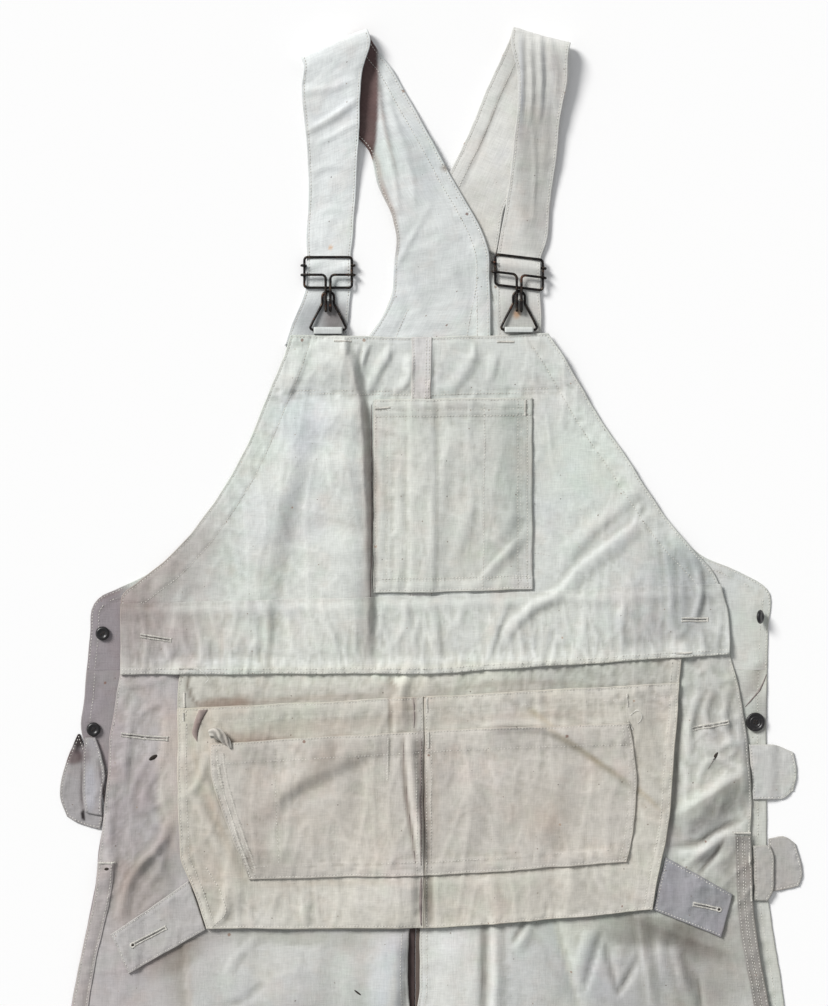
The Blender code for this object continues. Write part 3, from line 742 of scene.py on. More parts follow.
@dataclass(frozen=True)
class SteelFinish:
    """Blackened wire, worn to brown metal on its raised places and rusted in patches."""

    name: str = "blackened_wire"
    dark: Color = (0.018, 0.016, 0.016)
    worn: Color = (0.10, 0.075, 0.055)
    rust: Color = (0.16, 0.055, 0.02)

    def make(self) -> Material:
        """Builds the material.

        Returns:
            The material.
        """
        material, n, shader = new_material(self.name)
        where = n.add("ShaderNodeTexCoord").outputs["Object"]
        wear = n.between(n.noise(where, 220.0, 4.0, 0.65), 0.5, 0.72)
        rust = n.between(n.noise(where, 90.0, 5.0, 0.7), 0.56, 0.70)
        color = n.mix(wear, (*self.dark, 1.0), (*self.worn, 1.0))
        color = n.mix(n.math("MULTIPLY", rust, 0.7), color, (*self.rust, 1.0))
        n.link(color, shader.inputs["Base Color"])
        n.link(n.between(rust, 0.0, 1.0, (0.42, 0.8)), shader.inputs["Roughness"])
        n.link(n.between(rust, 0.0, 1.0, (0.8, 0.1)), shader.inputs["Metallic"])
        height = n.noise(where, 900.0, 3.0, 0.6)
        bump = n.add("ShaderNodeBump", {"Strength": 0.35, "Distance": 0.0002, "Height": height})
        n.link(bump.outputs[0], shader.inputs["Normal"])
        return material


@dataclass(frozen=True)
class ButtonFinish:
    """Black enamelled or moulded button with a dusty, scuffed face."""

    name: str = "button_face"
    color: Color = (0.012, 0.011, 0.012)
    dust: Color = (0.12, 0.11, 0.10)

    def make(self) -> Material:
        """Builds the material.

        Returns:
            The material.
        """
        material, n, shader = new_material(self.name)
        where = n.add("ShaderNodeTexCoord").outputs["Object"]
        scuff = n.between(n.noise(n.scaled(where, (1, 3, 1)), 500.0, 4.0, 0.7), 0.56, 0.74, (0.0, 0.6))
        n.link(n.mix(scuff, (*self.color, 1.0), (*self.dust, 1.0)), shader.inputs["Base Color"])
        n.link(n.between(scuff, 0.0, 0.6, (0.34, 0.75)), shader.inputs["Roughness"])
        return material


@dataclass
class Finishes:
    """Every material of the garment, made once."""

    canvas: Material
    thread: Material
    white_thread: Material
    steel: Material
    button: Material
    # the last two are dark finishes that paint the shade in openings and creases
    hole: Material
    grimy: Material

    @classmethod
    def make(cls) -> "Finishes":
        """Builds the shared groups and the materials that use them.

        Returns:
            The finishes.
        """
        groups = {"weave": weave_group(), "specks": speck_group()}
        return cls(
            canvas=CanvasFinish().make(groups),
            thread=ThreadFinish("cotton_thread", (0.70, 0.68, 0.63)).make(),
            white_thread=ThreadFinish("white_thread", (0.93, 0.93, 0.90)).make(),
            steel=SteelFinish().make(),
            button=ButtonFinish().make(),
            # dark slivers in openings and button holes: painted shade
            hole=ThreadFinish("hole_shade", (0.035, 0.028, 0.024), 0.95).make(),
            # dark strips at the bottom of creases: painted shade
            grimy=ThreadFinish("grimy_crease", (0.25, 0.21, 0.20), 0.95).make(),
        )


# ---- Meshes ----


def hand_drift(points: Array) -> Array:
    """The small wander of hand-guided edges and seams, the same for every layer at a place.

    Args:
        points: plan points with their heights, in millimetres.

    Returns:
        The points moved sideways.
    """
    moved = points.copy()
    x, y = points[..., 0].ravel(), points[..., 1].ravel()
    for axis, seed in ((0, 41), (1, 43)):
        wander = 0.8 * gradient_noise(x / 47, y / 47, seed) + 0.3 * gradient_noise(x / 15, y / 15, seed + 1)
        moved[..., axis] += wander.reshape(points.shape[:-1])
    return moved


def to_frame(points: Array) -> Array:
    """Plan millimetres to the frame's metres."""
    return points * MM + ORIGIN


def shell_mesh(name: str, top: Array, bottom: Array) -> Mesh:
    """A closed shell between two grids of points.

    Args:
        name: the mesh's name.
        top: the upper grid, rows by columns by xyz, in millimetres.
        bottom: the lower grid, of the same shape.

    Returns:
        The mesh, in the frame's metres.
    """
    rows, columns = top.shape[:2]
    count = rows * columns
    index = np.arange(count).reshape(rows, columns)
    a, b, c, d = index[:-1, :-1], index[:-1, 1:], index[1:, 1:], index[1:, :-1]
    quads = np.stack([a, b, c, d], axis=-1).reshape(-1, 4)
    rim = np.concatenate([index[0, :], index[1:, -1], index[-1, -2::-1], index[-2:0:-1, 0]])
    after = np.roll(rim, -1)
    walls = np.stack([rim, rim + count, after + count, after], axis=-1)
    faces = np.concatenate([quads, quads[:, ::-1] + count, walls])
    points = np.concatenate([top.reshape(-1, 3), bottom.reshape(-1, 3)])
    mesh = bpy.data.meshes.new(name)
    mesh.vertices.add(len(points))
    mesh.vertices.foreach_set("co", to_frame(points).astype(np.float32).ravel())
    mesh.loops.add(faces.size)
    mesh.loops.foreach_set("vertex_index", faces.astype(np.int32).ravel())
    mesh.polygons.add(len(faces))
    mesh.polygons.foreach_set("loop_start", np.arange(0, faces.size, 4, dtype=np.int32))
    mesh.update(calc_edges=True)
    return outward(mesh)


def outward(mesh: Mesh) -> Mesh:
    """Turns a closed mesh's faces outward and shades it smooth.

    Args:
        mesh: the mesh.

    Returns:
        The same mesh.
    """
    if mesh_volume(mesh) < 0:
        mesh.flip_normals()
    mesh.shade_smooth()
    return mesh


def mesh_volume(mesh: Mesh) -> float:
    """Measures the volume that a closed mesh holds.

    Args:
        mesh: the mesh.

    Returns:
        Its volume in cubic metres, negative where it is inside out.
    """
    mesh.calc_loop_triangles()
    points = np.zeros(len(mesh.vertices) * 3)
    mesh.vertices.foreach_get("co", points)
    corners = np.zeros(len(mesh.loop_triangles) * 3, np.int32)
    mesh.loop_triangles.foreach_get("vertices", corners)
    p = points.reshape(-1, 3)[corners].reshape(-1, 3, 3)
    p = p - p.mean(axis=(0, 1))
    return float(np.einsum("ij,ij->i", p[:, 0], np.cross(p[:, 1], p[:, 2])).sum() / 6)


def set_attributes(mesh: Mesh, tint: Array, cloth: Array) -> None:
    """Stores what the canvas finish reads at each vertex.

    Args:
        mesh: the mesh.
        tint: each vertex's colour.
        cloth: its place in the flat cloth, in metres.
    """
    colors = mesh.attributes.new("tint", "FLOAT_COLOR", "POINT")
    rgba = np.concatenate([tint, np.ones((len(tint), 1))], axis=1)
    colors.data.foreach_set("color", rgba.astype(np.float32).ravel())
    where = mesh.attributes.new("cloth", "FLOAT_VECTOR", "POINT")
    where.data.foreach_set("vector", cloth.astype(np.float32).ravel())


def place(
    name: str,
    mesh: Mesh,
    material: Material,
    replaces: Sequence[str] = (),
) -> Object:
    """Puts a finished piece in the scene on the garment's one body.

    Args:
        name: the piece's name.
        mesh: its mesh, already in the frame.
        material: its finish.
        replaces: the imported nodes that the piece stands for.

    Returns:
        The piece's object.
    """
    obj = bpy.data.objects.new(name, mesh)
    bpy.context.scene.collection.objects.link(obj)
    mesh.materials.clear()
    mesh.materials.append(material)
    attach(obj, "root")
    if replaces:
        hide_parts(*replaces)
    log.info("%s placed", name)
    return obj


def graded(length: float, cell: float, coarse: float = 0.0, coarse_run: float = 0.0) -> Array:
    """Stations along an edge: close at both ends, even between, and coarser over a first run.

    Args:
        length: the edge's length.
        cell: the even spacing.
        coarse: a wider spacing for the first run, or 0.
        coarse_run: how long that run is.

    Returns:
        The stations as shares of the length, from 0 to 1.
    """
    ends = np.array([0.0, 0.45, 1.0, 1.8, 3.0])
    if length < 4 * ends[-1]:
        ends = ends * length / (4 * ends[-1])
    low, high = ends[-1], length - ends[-1]
    middle = [np.array([])]
    if coarse and coarse_run < high - low:
        middle.append(np.linspace(low, low + coarse_run, max(2, round(coarse_run / coarse)))[1:])
        low += coarse_run
    middle.append(np.linspace(low, high, max(2, round((high - low) / cell) + 1))[1:-1])
    return np.concatenate([ends, *middle, (length - ends)[::-1]]) / length


class Side(Enum):
    """The four edges of a panel."""

    LEFT = "left"
    RIGHT = "right"
    BOTTOM = "bottom"
    TOP = "top"


# The way into the panel from each side, as a sign on the edge's left-hand normal.
INWARD = {Side.LEFT: -1, Side.TOP: -1, Side.RIGHT: 1, Side.BOTTOM: 1}


def offset_line(line: Array, distance: float, trim: float = 0.0) -> Array:
    """Moves a plan line to its left.

    Args:
        line: the line's points.
        distance: how far it moves.
        trim: the length that is trimmed off each end.

    Returns:
        The moved line, evenly spaced.
    """
    moved = line + sideways(line) * distance
    length = line_length(moved)
    share = min(0.45, trim / length)
    return along(moved, np.linspace(share, 1 - share, max(2, int(length / 3))))


def node_rim(node: str) -> dict[Side, Array]:
    """The outline of a packed panel, from the open edges of its underside.

    Args:
        node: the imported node's name.

    Returns:
        Its four edges in plan millimetres: the left and right ones run up, the others to the right.
    """
    bm = bmesh.new()
    bm.from_mesh(frame["nodes"][node].data)
    bmesh.ops.remove_doubles(bm, verts=bm.verts[:], dist=2e-5)
    bm.normal_update()
    bm.transform(frame["nodes"][node].matrix_world)
    follow = {}
    for edge in bm.edges:
        under = [face for face in edge.link_faces if face.normal.z < -0.3]
        if len(under) == 1:
            loop = next(item for item in under[0].loops if item.edge == edge)
            follow[loop.vert.index] = loop.link_loop_next.vert.index
    bm.verts.ensure_lookup_table()
    chain = [next(iter(follow))]
    while follow.get(chain[-1], chain[0]) != chain[0] and len(chain) <= len(follow):
        chain.append(follow[chain[-1]])
    loop_points = np.array([bm.verts[i].co for i in chain])
    bm.free()
    plan = ((loop_points - ORIGIN) / MM)[:, :2]
    area = np.sum(plan[:, 0] * np.roll(plan[:, 1], -1) - np.roll(plan[:, 0], -1) * plan[:, 1])
    if area < 0:
        plan = plan[::-1]
    lean, drop = plan.sum(axis=1), plan[:, 0] - plan[:, 1]
    corners = [int(np.argmin(lean)), int(np.argmax(drop)), int(np.argmax(lean)), int(np.argmin(drop))]

    def run(start: int, end: int) -> Array:
        """The loop's points from one corner to another."""
        stop = end if end > start else end + len(plan)
        return plan[np.arange(start, stop + 1) % len(plan)]

    low_left, low_right, high_right, high_left = corners
    return {
        Side.BOTTOM: run(low_left, low_right),
        Side.RIGHT: run(low_right, high_right),
        Side.TOP: run(high_right, high_left)[::-1],
        Side.LEFT: run(high_left, low_left)[::-1],
    }


@dataclass(frozen=True)
class Hem:
    """A turned edge: thicker cloth to its width, and rows of stitches at these distances in."""

    side: Side
    width: float = 8.0
    rise: float = 0.6
    rows: tuple[float, ...] = (2.0,)
    pucker: float = 0.25
    trim: float = 3.0


@dataclass(frozen=True)
class Seam:
    """A stitched line across a panel, pressed into it."""

    line: tuple[Point, ...]
    depth: float = 0.35
    reach: float = 2.2
    stitched: bool = True


@dataclass
class Panel:
    """A piece of canvas in the plan: what it lies on, its own relief, hems, seams and colour."""

    node: str
    bed: Field
    base: Color = (0.64, 0.66, 0.62)
    ply: float = PLY
    cell: float = 2.3
    coarse: float = 0.0
    coarse_run: float = 0.0
    hems: tuple[Hem, ...] = ()
    seams: tuple[Seam, ...] = ()
    patches: tuple[Patch | Streak, ...] = ()
    feather: tuple[Side, ...] = ()
    butt: tuple[Side, ...] = ()  # sides that meet a neighbour and aren't rounded
    grow: dict[Side, Point] = field(default_factory=dict)
    gape: Point | None = None  # how far its top edge gapes, and how far down that fades
    allowance: float = 12.0
    rim: dict[Side, Array] = field(init=False)
    loop: Array = field(init=False)

    def __post_init__(self) -> None:
        """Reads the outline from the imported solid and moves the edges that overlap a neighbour."""
        rim = node_rim(self.node)
        for side, (dx, dy) in self.grow.items():
            rim[side] = rim[side] + np.array([dx, dy])
            self._meet(rim, side)
        self.rim = {side: smooth_line(line, 5.0) for side, line in rim.items()}
        left, right, bottom, top = (self.rim[side] for side in (Side.LEFT, Side.RIGHT, Side.BOTTOM, Side.TOP))
        self.loop = np.concatenate([bottom, right, top[::-1], left[::-1]])
        if self.gape:
            self.bed = plus(self.bed, mouth_lift(top, *self.gape))

    @staticmethod
    def _meet(rim: dict[Side, Array], side: Side) -> None:
        """Moves the ends of the neighbours of a moved edge onto it.

        Args:
            rim: the panel's four edges.
            side: the edge that was moved.
        """
        moved = rim[side]
        if side in (Side.BOTTOM, Side.TOP):
            end = 0 if side is Side.BOTTOM else -1
            rim[Side.LEFT][end], rim[Side.RIGHT][end] = moved[0], moved[-1]
        else:
            end = 0 if side is Side.LEFT else -1
            rim[Side.BOTTOM][end], rim[Side.TOP][end] = moved[0], moved[-1]

    def thickening(self, x: Array, y: Array) -> Array:
        """How much the hems add to the cloth's thickness.

        Args:
            x: the points' places across.
            y: their places up the plan.

        Returns:
            The thickness added at each point.
        """
        added = np.zeros(x.shape)
        for hem in self.hems:
            off, run, _ = nearest_on(self.rim[hem.side], x, y)
            ripple = 1 + 0.5 * gradient_noise(run / 7, off / 9 + 5, 9)
            within = 1 - smooth_step(off, hem.width - 0.9, hem.width + 1.1)
            added = np.maximum(added, hem.rise * ripple * within)
        return added

    def pressing(self, x: Array, y: Array) -> Array:
        """How far stitched rows pull the cloth down, with puckers beside them.

        Args:
            x: the points' places across.
            y: their places up the plan.

        Returns:
            The height added at each point, mostly negative.
        """
        pressed = np.zeros(x.shape)
        for hem in self.hems:
            off, run, _ = nearest_on(self.rim[hem.side], x, y)
            for inset in hem.rows:
                groove = np.exp(-(((off - inset) / 1.2) ** 2))
                pull = 0.5 + 0.5 * gradient_noise(run / 5, np.full(run.shape, inset * 1.7), 5)
                pressed -= groove * (0.30 + 1.2 * hem.pucker * pull)
            wide = np.exp(-(((off - max(hem.rows, default=3.0)) / 6.0) ** 2))
            pressed += 1.7 * hem.pucker * wide * gradient_noise(run / 7, off / 16, 6)
        for seam in self.seams:
            off, run, _ = nearest_on(smooth_line(seam.line, 5.0), x, y)
            groove = np.exp(-((off / seam.reach) ** 2))
            pressed -= groove * seam.depth * (0.8 + 0.5 * gradient_noise(run / 6, np.full(run.shape, 3.0), 8))
            wide = np.exp(-((off / 6.0) ** 2)) - groove
            pressed += 0.25 * wide * gradient_noise(run / 8, off / 12 + 9, 7)
        return pressed

    def crest(self, x: Array, y: Array) -> Array:
        """The height that another layer clears when it lies on this one."""
        return self.bed(x, y) + self.ply + self.thickening(x, y) + 0.15

    def edge_distance(self, x: Array, y: Array) -> Array:
        """How far inside the nearest free edge plan points are."""
        free = [line for side, line in self.rim.items() if side not in self.butt + self.feather]
        return np.min([nearest_on(line, x, y)[0] for line in free], axis=0)

    def top(self, x: Array, y: Array) -> Array:
        """The height of the cloth's upper face.

        Args:
            x: the points' places across.
            y: their places up the plan.

        Returns:
            The height at each point.
        """
        rounded = np.sqrt(1 - (1 - np.clip(self.edge_distance(x, y) / ROUNDING, 0.0, 1.0)) ** 2)
        thick = (self.ply + self.thickening(x, y)) * (0.35 + 0.65 * rounded)
        for side in self.feather:
            thick = thick * (0.08 + 0.92 * smooth_step(nearest_on(self.rim[side], x, y)[0], 0.0, 10.0))
        return self.bed(x, y) + np.maximum(thick + self.pressing(x, y), 0.3)

    def grid(self) -> Array:
        """Fills the panel with plan points, between its four edges.

        Returns:
            The points, rows by columns by xy.
        """
        left, right, bottom, top = (self.rim[s] for s in (Side.LEFT, Side.RIGHT, Side.BOTTOM, Side.TOP))
        width = max(line_length(bottom), line_length(top))
        height = max(line_length(left), line_length(right))
        s = graded(width, self.cell)
        t = graded(height, self.cell, self.coarse, self.coarse_run)
        ss, tt = s[None, :, None], t[:, None, None]
        corners = (1 - ss) * (1 - tt) * left[0] + ss * (1 - tt) * right[0]
        corners = corners + (1 - ss) * tt * left[-1] + ss * tt * right[-1]
        between_sides = (1 - ss) * along(left, t)[:, None] + ss * along(right, t)[:, None]
        return between_sides + (1 - tt) * along(bottom, s)[None] + tt * along(top, s)[None] - corners

    def grime_and_shade(self, x: Array, y: Array, height: Array, shape: tuple[int, int]) -> Array:
        """Grime and painted shade in the dips, grime along the edges, and painted light on the ridges.

        Args:
            x: the points' places across.
            y: their places up the plan.
            height: the height of the cloth's face at each point.
            shape: the rows and columns of the points.

        Returns:
            A colour factor for each point.
        """
        edge = self.edge_distance(x, y)
        grid = height.reshape(shape)
        around = grid.copy()
        for _ in range(3):
            padded = np.pad(around, 1, mode="edge")
            around = (padded[:-2, 1:-1] + padded[2:, 1:-1] + padded[1:-1, :-2] + padded[1:-1, 2:]) / 4
        hollow = np.clip((around - grid).ravel() / 0.35, -1.0, 1.0)
        hollow = np.where(edge > 3.0, hollow, 0.0)
        rim = 1 - smooth_step(edge, 0.0, 2.5)
        # dips darker as grime and painted shade, ridges lighter as painted light, edges darker and yellower
        # as grime
        factor = 1 - 0.16 * np.maximum(hollow, 0) + 0.03 * np.maximum(-hollow, 0) - 0.10 * rim
        blue = factor - 0.025 * rim - 0.02 * np.maximum(hollow, 0)
        return np.stack([factor + 0.01 * rim, factor, blue], axis=1)

    def build(self, material: Material) -> Object:
        """Makes the piece.

        Args:
            material: its finish.

        Returns:
            The piece's object.
        """
        plan = self.grid()
        shape = plan.shape[:2]
        x, y = plan[..., 0].ravel(), plan[..., 1].ravel()
        upper, under = self.top(x, y), self.bed(x, y)
        under = under + 0.3 * self.ply * (1 - smooth_step(self.edge_distance(x, y), 0.0, 1.0))
        top = np.dstack([plan, upper.reshape(shape)])
        bottom = np.dstack([plan, under.reshape(shape)])
        mesh = shell_mesh(self.node, hand_drift(top), hand_drift(bottom))
        tint = tinted(self.base, self.patches, x, y)
        # The face takes the painted shade and light of its dips and ridges; the underside takes the plain
        # tint darkened, as painted shade.
        shaded = tint * self.grime_and_shade(x, y, upper, shape)
        cloth = np.stack([x * MM, y * MM, np.full(x.shape, float(len(self.node)))], axis=1)
        set_attributes(mesh, np.concatenate([shaded, tint * 0.8]), np.concatenate([cloth, cloth]))
        obj = place(self.node, mesh, material, [self.node])
        self.declare()
        return obj

    def declare(self) -> None:
        """Works out the area that the piece was cut to, seam allowances included; the result is not kept.
        """
        a, b = self.loop, np.roll(self.loop, -1, axis=0)
        area = abs(np.sum(a[:, 0] * b[:, 1] - b[:, 0] * a[:, 1])) / 2
        area += np.linalg.norm(b - a, axis=1).sum() * self.allowance

    def rows(self) -> list[Array]:
        """Finds the lines of stitches on the panel.

        Returns:
            The lines, at the height of its face.
        """
        lines = [
            offset_line(self.rim[hem.side], INWARD[hem.side] * inset, hem.trim)
            for hem in self.hems
            for inset in hem.rows
        ]
        lines += [smooth_line(seam.line, 3.0) for seam in self.seams if seam.stitched]
        return [self.seated(line) for line in lines]

    def seated(self, line: Array, proud: float = 0.12) -> Array:
        """A plan line raised to the panel's face."""
        z = self.top(line[:, 0], line[:, 1]) + proud
        return hand_drift(np.column_stack([line[:, :2], z]))


def mouth_lift(edge: Array, height: float, depth: float) -> Field:
    """How a pocket's mouth stands off the cloth behind it, fading down and to both ends.

    Args:
        edge: the mouth's edge.
        height: how far it stands off.
        depth: how far down the pocket it fades.

    Returns:
        The lift as a field.
    """

    def lift(x: Array, y: Array) -> Array:
        """The lift at plan points.

        Args:
            x: the points' places across.
            y: their places up the plan.

        Returns:
            The height at each point.
        """
        off, run, _ = nearest_on(edge, x, y)
        ends = np.sqrt(np.clip(np.sin(np.pi * np.clip(run / line_length(edge), 0.0, 1.0)), 0.0, 1.0))
        uneven = 1 + 0.45 * gradient_noise(run / 45, np.full(run.shape, height), 15)
        return height * ends * uneven * (1 - smooth_step(off, 0.0, depth))

    return lift


def draped(base: Field, laid: Sequence[Panel], lift: Field = Level(), reach: float = 6.0) -> Field:
    """The underside of cloth that lies on a base and over other pieces laid on it.

    Args:
        base: the height of the base's face.
        laid: the pieces on the base.
        lift: how far the cloth stands off what it lies on.
        reach: how far it takes to come down beside a laid piece.

    Returns:
        The height of its underside as a field.
    """

    def height(x: Array, y: Array) -> Array:
        """The underside's height at plan points.

        Args:
            x: the points' places across.
            y: their places up the plan.

        Returns:
            The height at each point.
        """
        total = base(x, y)
        for panel in laid:
            off = nearest_on(np.vstack([panel.loop, panel.loop[:1]]), x, y)[0]
            off = np.where(inside(panel.loop, x, y), 0.0, off)
            share = 1 - smooth_step(off, 0.3, reach)
            total = total + np.maximum(panel.crest(x, y) - total, 0.0) * share
        return total + GAP + lift(x, y)

    return height


# ---- Stitches ----


@dataclass(frozen=True)
class Stitch:
    """One kind of stitch: its size and how it repeats along a row."""

    pitch: float
    length: float
    width: float
    height: float
    turn: float = 0.0  # degrees from the row's own direction
    jitter: float = 5.0


TOPSTITCH = Stitch(pitch=3.0, length=2.4, width=0.85, height=0.6)
FINE_STITCH = Stitch(pitch=2.4, length=1.8, width=0.5, height=0.42)
OVERCAST = Stitch(pitch=0.85, length=2.3, width=0.85, height=0.7, turn=90.0, jitter=9.0)
ZIGZAG = Stitch(pitch=1.5, length=4.4, width=0.6, height=0.45, turn=58.0, jitter=14.0)
BAR_TACK = Stitch(pitch=0.8, length=3.0, width=0.85, height=0.8, turn=90.0, jitter=7.0)


def stitch_tree() -> Tree:
    """Makes the node tree that sets stitches along the lines of a mesh.

    Returns:
        The tree.
    """
    tree = bpy.data.node_groups.new("stitch_rows", "GeometryNodeTree")
    tree.interface.new_socket("Geometry", in_out="INPUT", socket_type="NodeSocketGeometry")
    for label in ("Pitch", "Length", "Width", "Height", "Turn", "Jitter"):
        tree.interface.new_socket(label, in_out="INPUT", socket_type="NodeSocketFloat")
    tree.interface.new_socket("Seed", in_out="INPUT", socket_type="NodeSocketInt")
    tree.interface.new_socket("Thread", in_out="INPUT", socket_type="NodeSocketMaterial")
    tree.interface.new_socket("Geometry", in_out="OUTPUT", socket_type="NodeSocketGeometry")
    n = Nodes(tree)
    given, out = n.add("NodeGroupInput"), n.add("NodeGroupOutput")
    curve = n.add("GeometryNodeMeshToCurve", {0: given.outputs["Geometry"]})
    spacing = {"Curve": curve.outputs[0], "Length": given.outputs["Pitch"]}
    spaced = n.add("GeometryNodeResampleCurve", spacing, mode="LENGTH")
    tangent = n.add("GeometryNodeInputTangent")
    yaw = n.add("FunctionNodeAlignRotationToVector", {"Vector": tangent.outputs[0]}, axis="X", pivot_axis="Z")
    pitch = n.add(
        "FunctionNodeAlignRotationToVector",
        {"Rotation": yaw.outputs[0], "Vector": tangent.outputs[0]},
        axis="X",
        pivot_axis="Y",
    )
    less = n.math("MULTIPLY", given.outputs["Jitter"], -1.0)
    wander = n.add("FunctionNodeRandomValue", {"Seed": given.outputs["Seed"]}, data_type="FLOAT")
    n.link(less, wander.inputs[2])
    n.link(given.outputs["Jitter"], wander.inputs[3])
    angle = n.math("ADD", given.outputs["Turn"], wander.outputs[1])
    euler = n.add("ShaderNodeCombineXYZ", {2: angle})
    turned = n.add("FunctionNodeRotateRotation", {0: pitch.outputs[0]}, rotation_space="LOCAL")
    n.link(euler.outputs[0], turned.inputs[1])
    ball = n.add("GeometryNodeMeshUVSphere", {"Radius": 0.5, "Segments": 5, "Rings": 2})
    sizes = {i: given.outputs[label] for i, label in enumerate(("Length", "Width", "Height"))}
    size = n.add("ShaderNodeCombineXYZ", sizes)
    stitch = n.add("GeometryNodeTransform", {"Geometry": ball.outputs[0], "Scale": size.outputs[0]})
    uneven = {2: 0.85, 3: 1.12, "Seed": given.outputs["Seed"]}
    scale = n.add("FunctionNodeRandomValue", uneven, data_type="FLOAT")
    placed = n.add(
        "GeometryNodeInstanceOnPoints",
        {
            "Points": spaced.outputs[0],
            "Instance": stitch.outputs[0],
            "Rotation": turned.outputs[0],
            "Scale": scale.outputs[1],
        },
    )
    real = n.add("GeometryNodeRealizeInstances", {0: placed.outputs[0]})
    thread = {"Geometry": real.outputs[0], "Material": given.outputs["Thread"]}
    dressed = n.add("GeometryNodeSetMaterial", thread)
    n.link(dressed.outputs[0], out.inputs[0])
    return tree


@dataclass
class Needlework:
    """All the stitching of a sub-assembly, gathered as lines and sewn at the end."""

    name: str
    tree: Tree
    finishes: Finishes
    rows: list[tuple[Stitch, bool, Array]] = field(default_factory=list)

    def sew(self, lines: Iterable[Array], stitch: Stitch = TOPSTITCH, white: bool = False) -> None:
        """Adds lines of one kind of stitch, in ordinary or white thread."""
        self.rows += [(stitch, white, line) for line in lines]

    def finish(self) -> Object:
        """Runs the tree over every line and joins the result into one piece.

        Returns:
            The piece of stitches.
        """

        def order(kind: tuple[Stitch, bool]) -> tuple[float, bool]:
            """Where one kind of stitch comes among them."""
            return kind[0].pitch, kind[1]

        made = bmesh.new()
        kinds = sorted({(stitch, white) for stitch, white, _ in self.rows}, key=order)
        for seed, (stitch, white) in enumerate(kinds):
            lines = [line for s, w, line in self.rows if (s, w) == (stitch, white)]
            made.from_mesh(self._sewn(lines, stitch, int(white), seed))
        mesh = bpy.data.meshes.new(self.name)
        made.to_mesh(mesh)
        made.free()
        obj = place(self.name, mesh, self.finishes.thread)
        mesh.materials.append(self.finishes.white_thread)
        mesh.shade_smooth()
        return obj

    def _sewn(self, lines: list[Array], stitch: Stitch, slot: int, seed: int) -> Mesh:
        """Sews one kind of stitch along its lines.

        Args:
            lines: the lines, in millimetres.
            stitch: the kind of stitch.
            slot: the number of the thread's material, 1 for white.
            seed: picks the stitches' small turns.

        Returns:
            The stitches as a plain mesh.
        """
        mesh = bpy.data.meshes.new("row_lines")
        points = [tuple(p) for line in lines for p in to_frame(line)]
        edges, start = [], 0
        for line in lines:
            edges += [(start + i, start + i + 1) for i in range(len(line) - 1)]
            start += len(line)
        mesh.from_pydata(points, edges, [])
        obj = bpy.data.objects.new("row_lines", mesh)
        bpy.context.scene.collection.objects.link(obj)
        modifier = obj.modifiers.new("stitches", "NODES")
        modifier.node_group = self.tree
        values = {
            "Pitch": stitch.pitch * MM,
            "Length": stitch.length * MM,
            "Width": stitch.width * MM,
            "Height": stitch.height * MM,
            "Turn": math.radians(stitch.turn),
            "Jitter": math.radians(stitch.jitter),
            "Seed": seed + 7,
            "Thread": self.finishes.white_thread if slot else self.finishes.thread,
        }
        for item in self.tree.interface.items_tree:
            if item.in_out == "INPUT" and item.name in values:
                modifier[item.identifier] = values[item.name]
        graph = bpy.context.evaluated_depsgraph_get()
        graph.update()
        result = bpy.data.meshes.new_from_object(obj.evaluated_get(graph))
        obj.modifiers.remove(modifier)
        bpy.data.objects.remove(obj)
        result.polygons.foreach_set("material_index", np.full(len(result.polygons), slot, np.int32))
        return result


# ---- Details shared by the sub-assemblies ----


def ring_mesh(name: str, rings: Array, closed: bool = False) -> Mesh:
    """A skin over rings of points.

    Args:
        name: the mesh's name.
        rings: the points, rings by points by xyz, in millimetres.
        closed: whether the last ring joins the first; otherwise both ends are capped.

    Returns:
        The closed mesh, in the frame's metres.
    """
    count, sides = rings.shape[:2]
    faces = []
    for i in range(count if closed else count - 1):
        a, b = i * sides, (i + 1) % count * sides
        faces += [(a + k, a + (k + 1) % sides, b + (k + 1) % sides, b + k) for k in range(sides)]
    if not closed:
        faces += [tuple(range(sides))[::-1], tuple(range((count - 1) * sides, count * sides))]
    mesh = bpy.data.meshes.new(name)
    mesh.from_pydata(to_frame(rings.reshape(-1, 3)).tolist(), [], faces)
    return outward(mesh)


def tube_mesh(name: str, line: Array, radius: float, sides: int = 12, closed: bool = False) -> Mesh:
    """A round tube along a line.

    Args:
        name: the mesh's name.
        line: its centre line, in millimetres.
        radius: its radius.
        sides: how many flats it has round it.
        closed: whether it ends where it starts.

    Returns:
        The closed mesh, in the frame's metres.
    """
    line = np.asarray(line, float)
    if closed:
        ahead = np.roll(line, -1, axis=0) - np.roll(line, 1, axis=0)
    else:
        ahead = np.gradient(line, axis=0)
    ahead /= np.linalg.norm(ahead, axis=1, keepdims=True)
    across = np.cross(ahead[0], (0.0, 0.0, 1.0) if abs(ahead[0][2]) < 0.9 else (1.0, 0.0, 0.0))
    rings = []
    turns = np.linspace(0, math.tau, sides, endpoint=False)
    for point, way in zip(line, ahead):
        across = across - way * across.dot(way)
        across = across / np.linalg.norm(across)
        up = np.cross(way, across)
        rings.append(point + radius * (np.outer(np.cos(turns), across) + np.outer(np.sin(turns), up)))
    return ring_mesh(name, np.array(rings), closed)


def joined(name: str, meshes: Iterable[Mesh]) -> Mesh:
    """Joins meshes into one and removes them.

    Args:
        name: the joined mesh's name.
        meshes: the meshes.

    Returns:
        The joined mesh.
    """
    made = bmesh.new()
    for mesh in meshes:
        made.from_mesh(mesh)
        bpy.data.meshes.remove(mesh)
    whole = bpy.data.meshes.new(name)
    made.to_mesh(whole)
    made.free()
    whole.shade_smooth()
    return whole


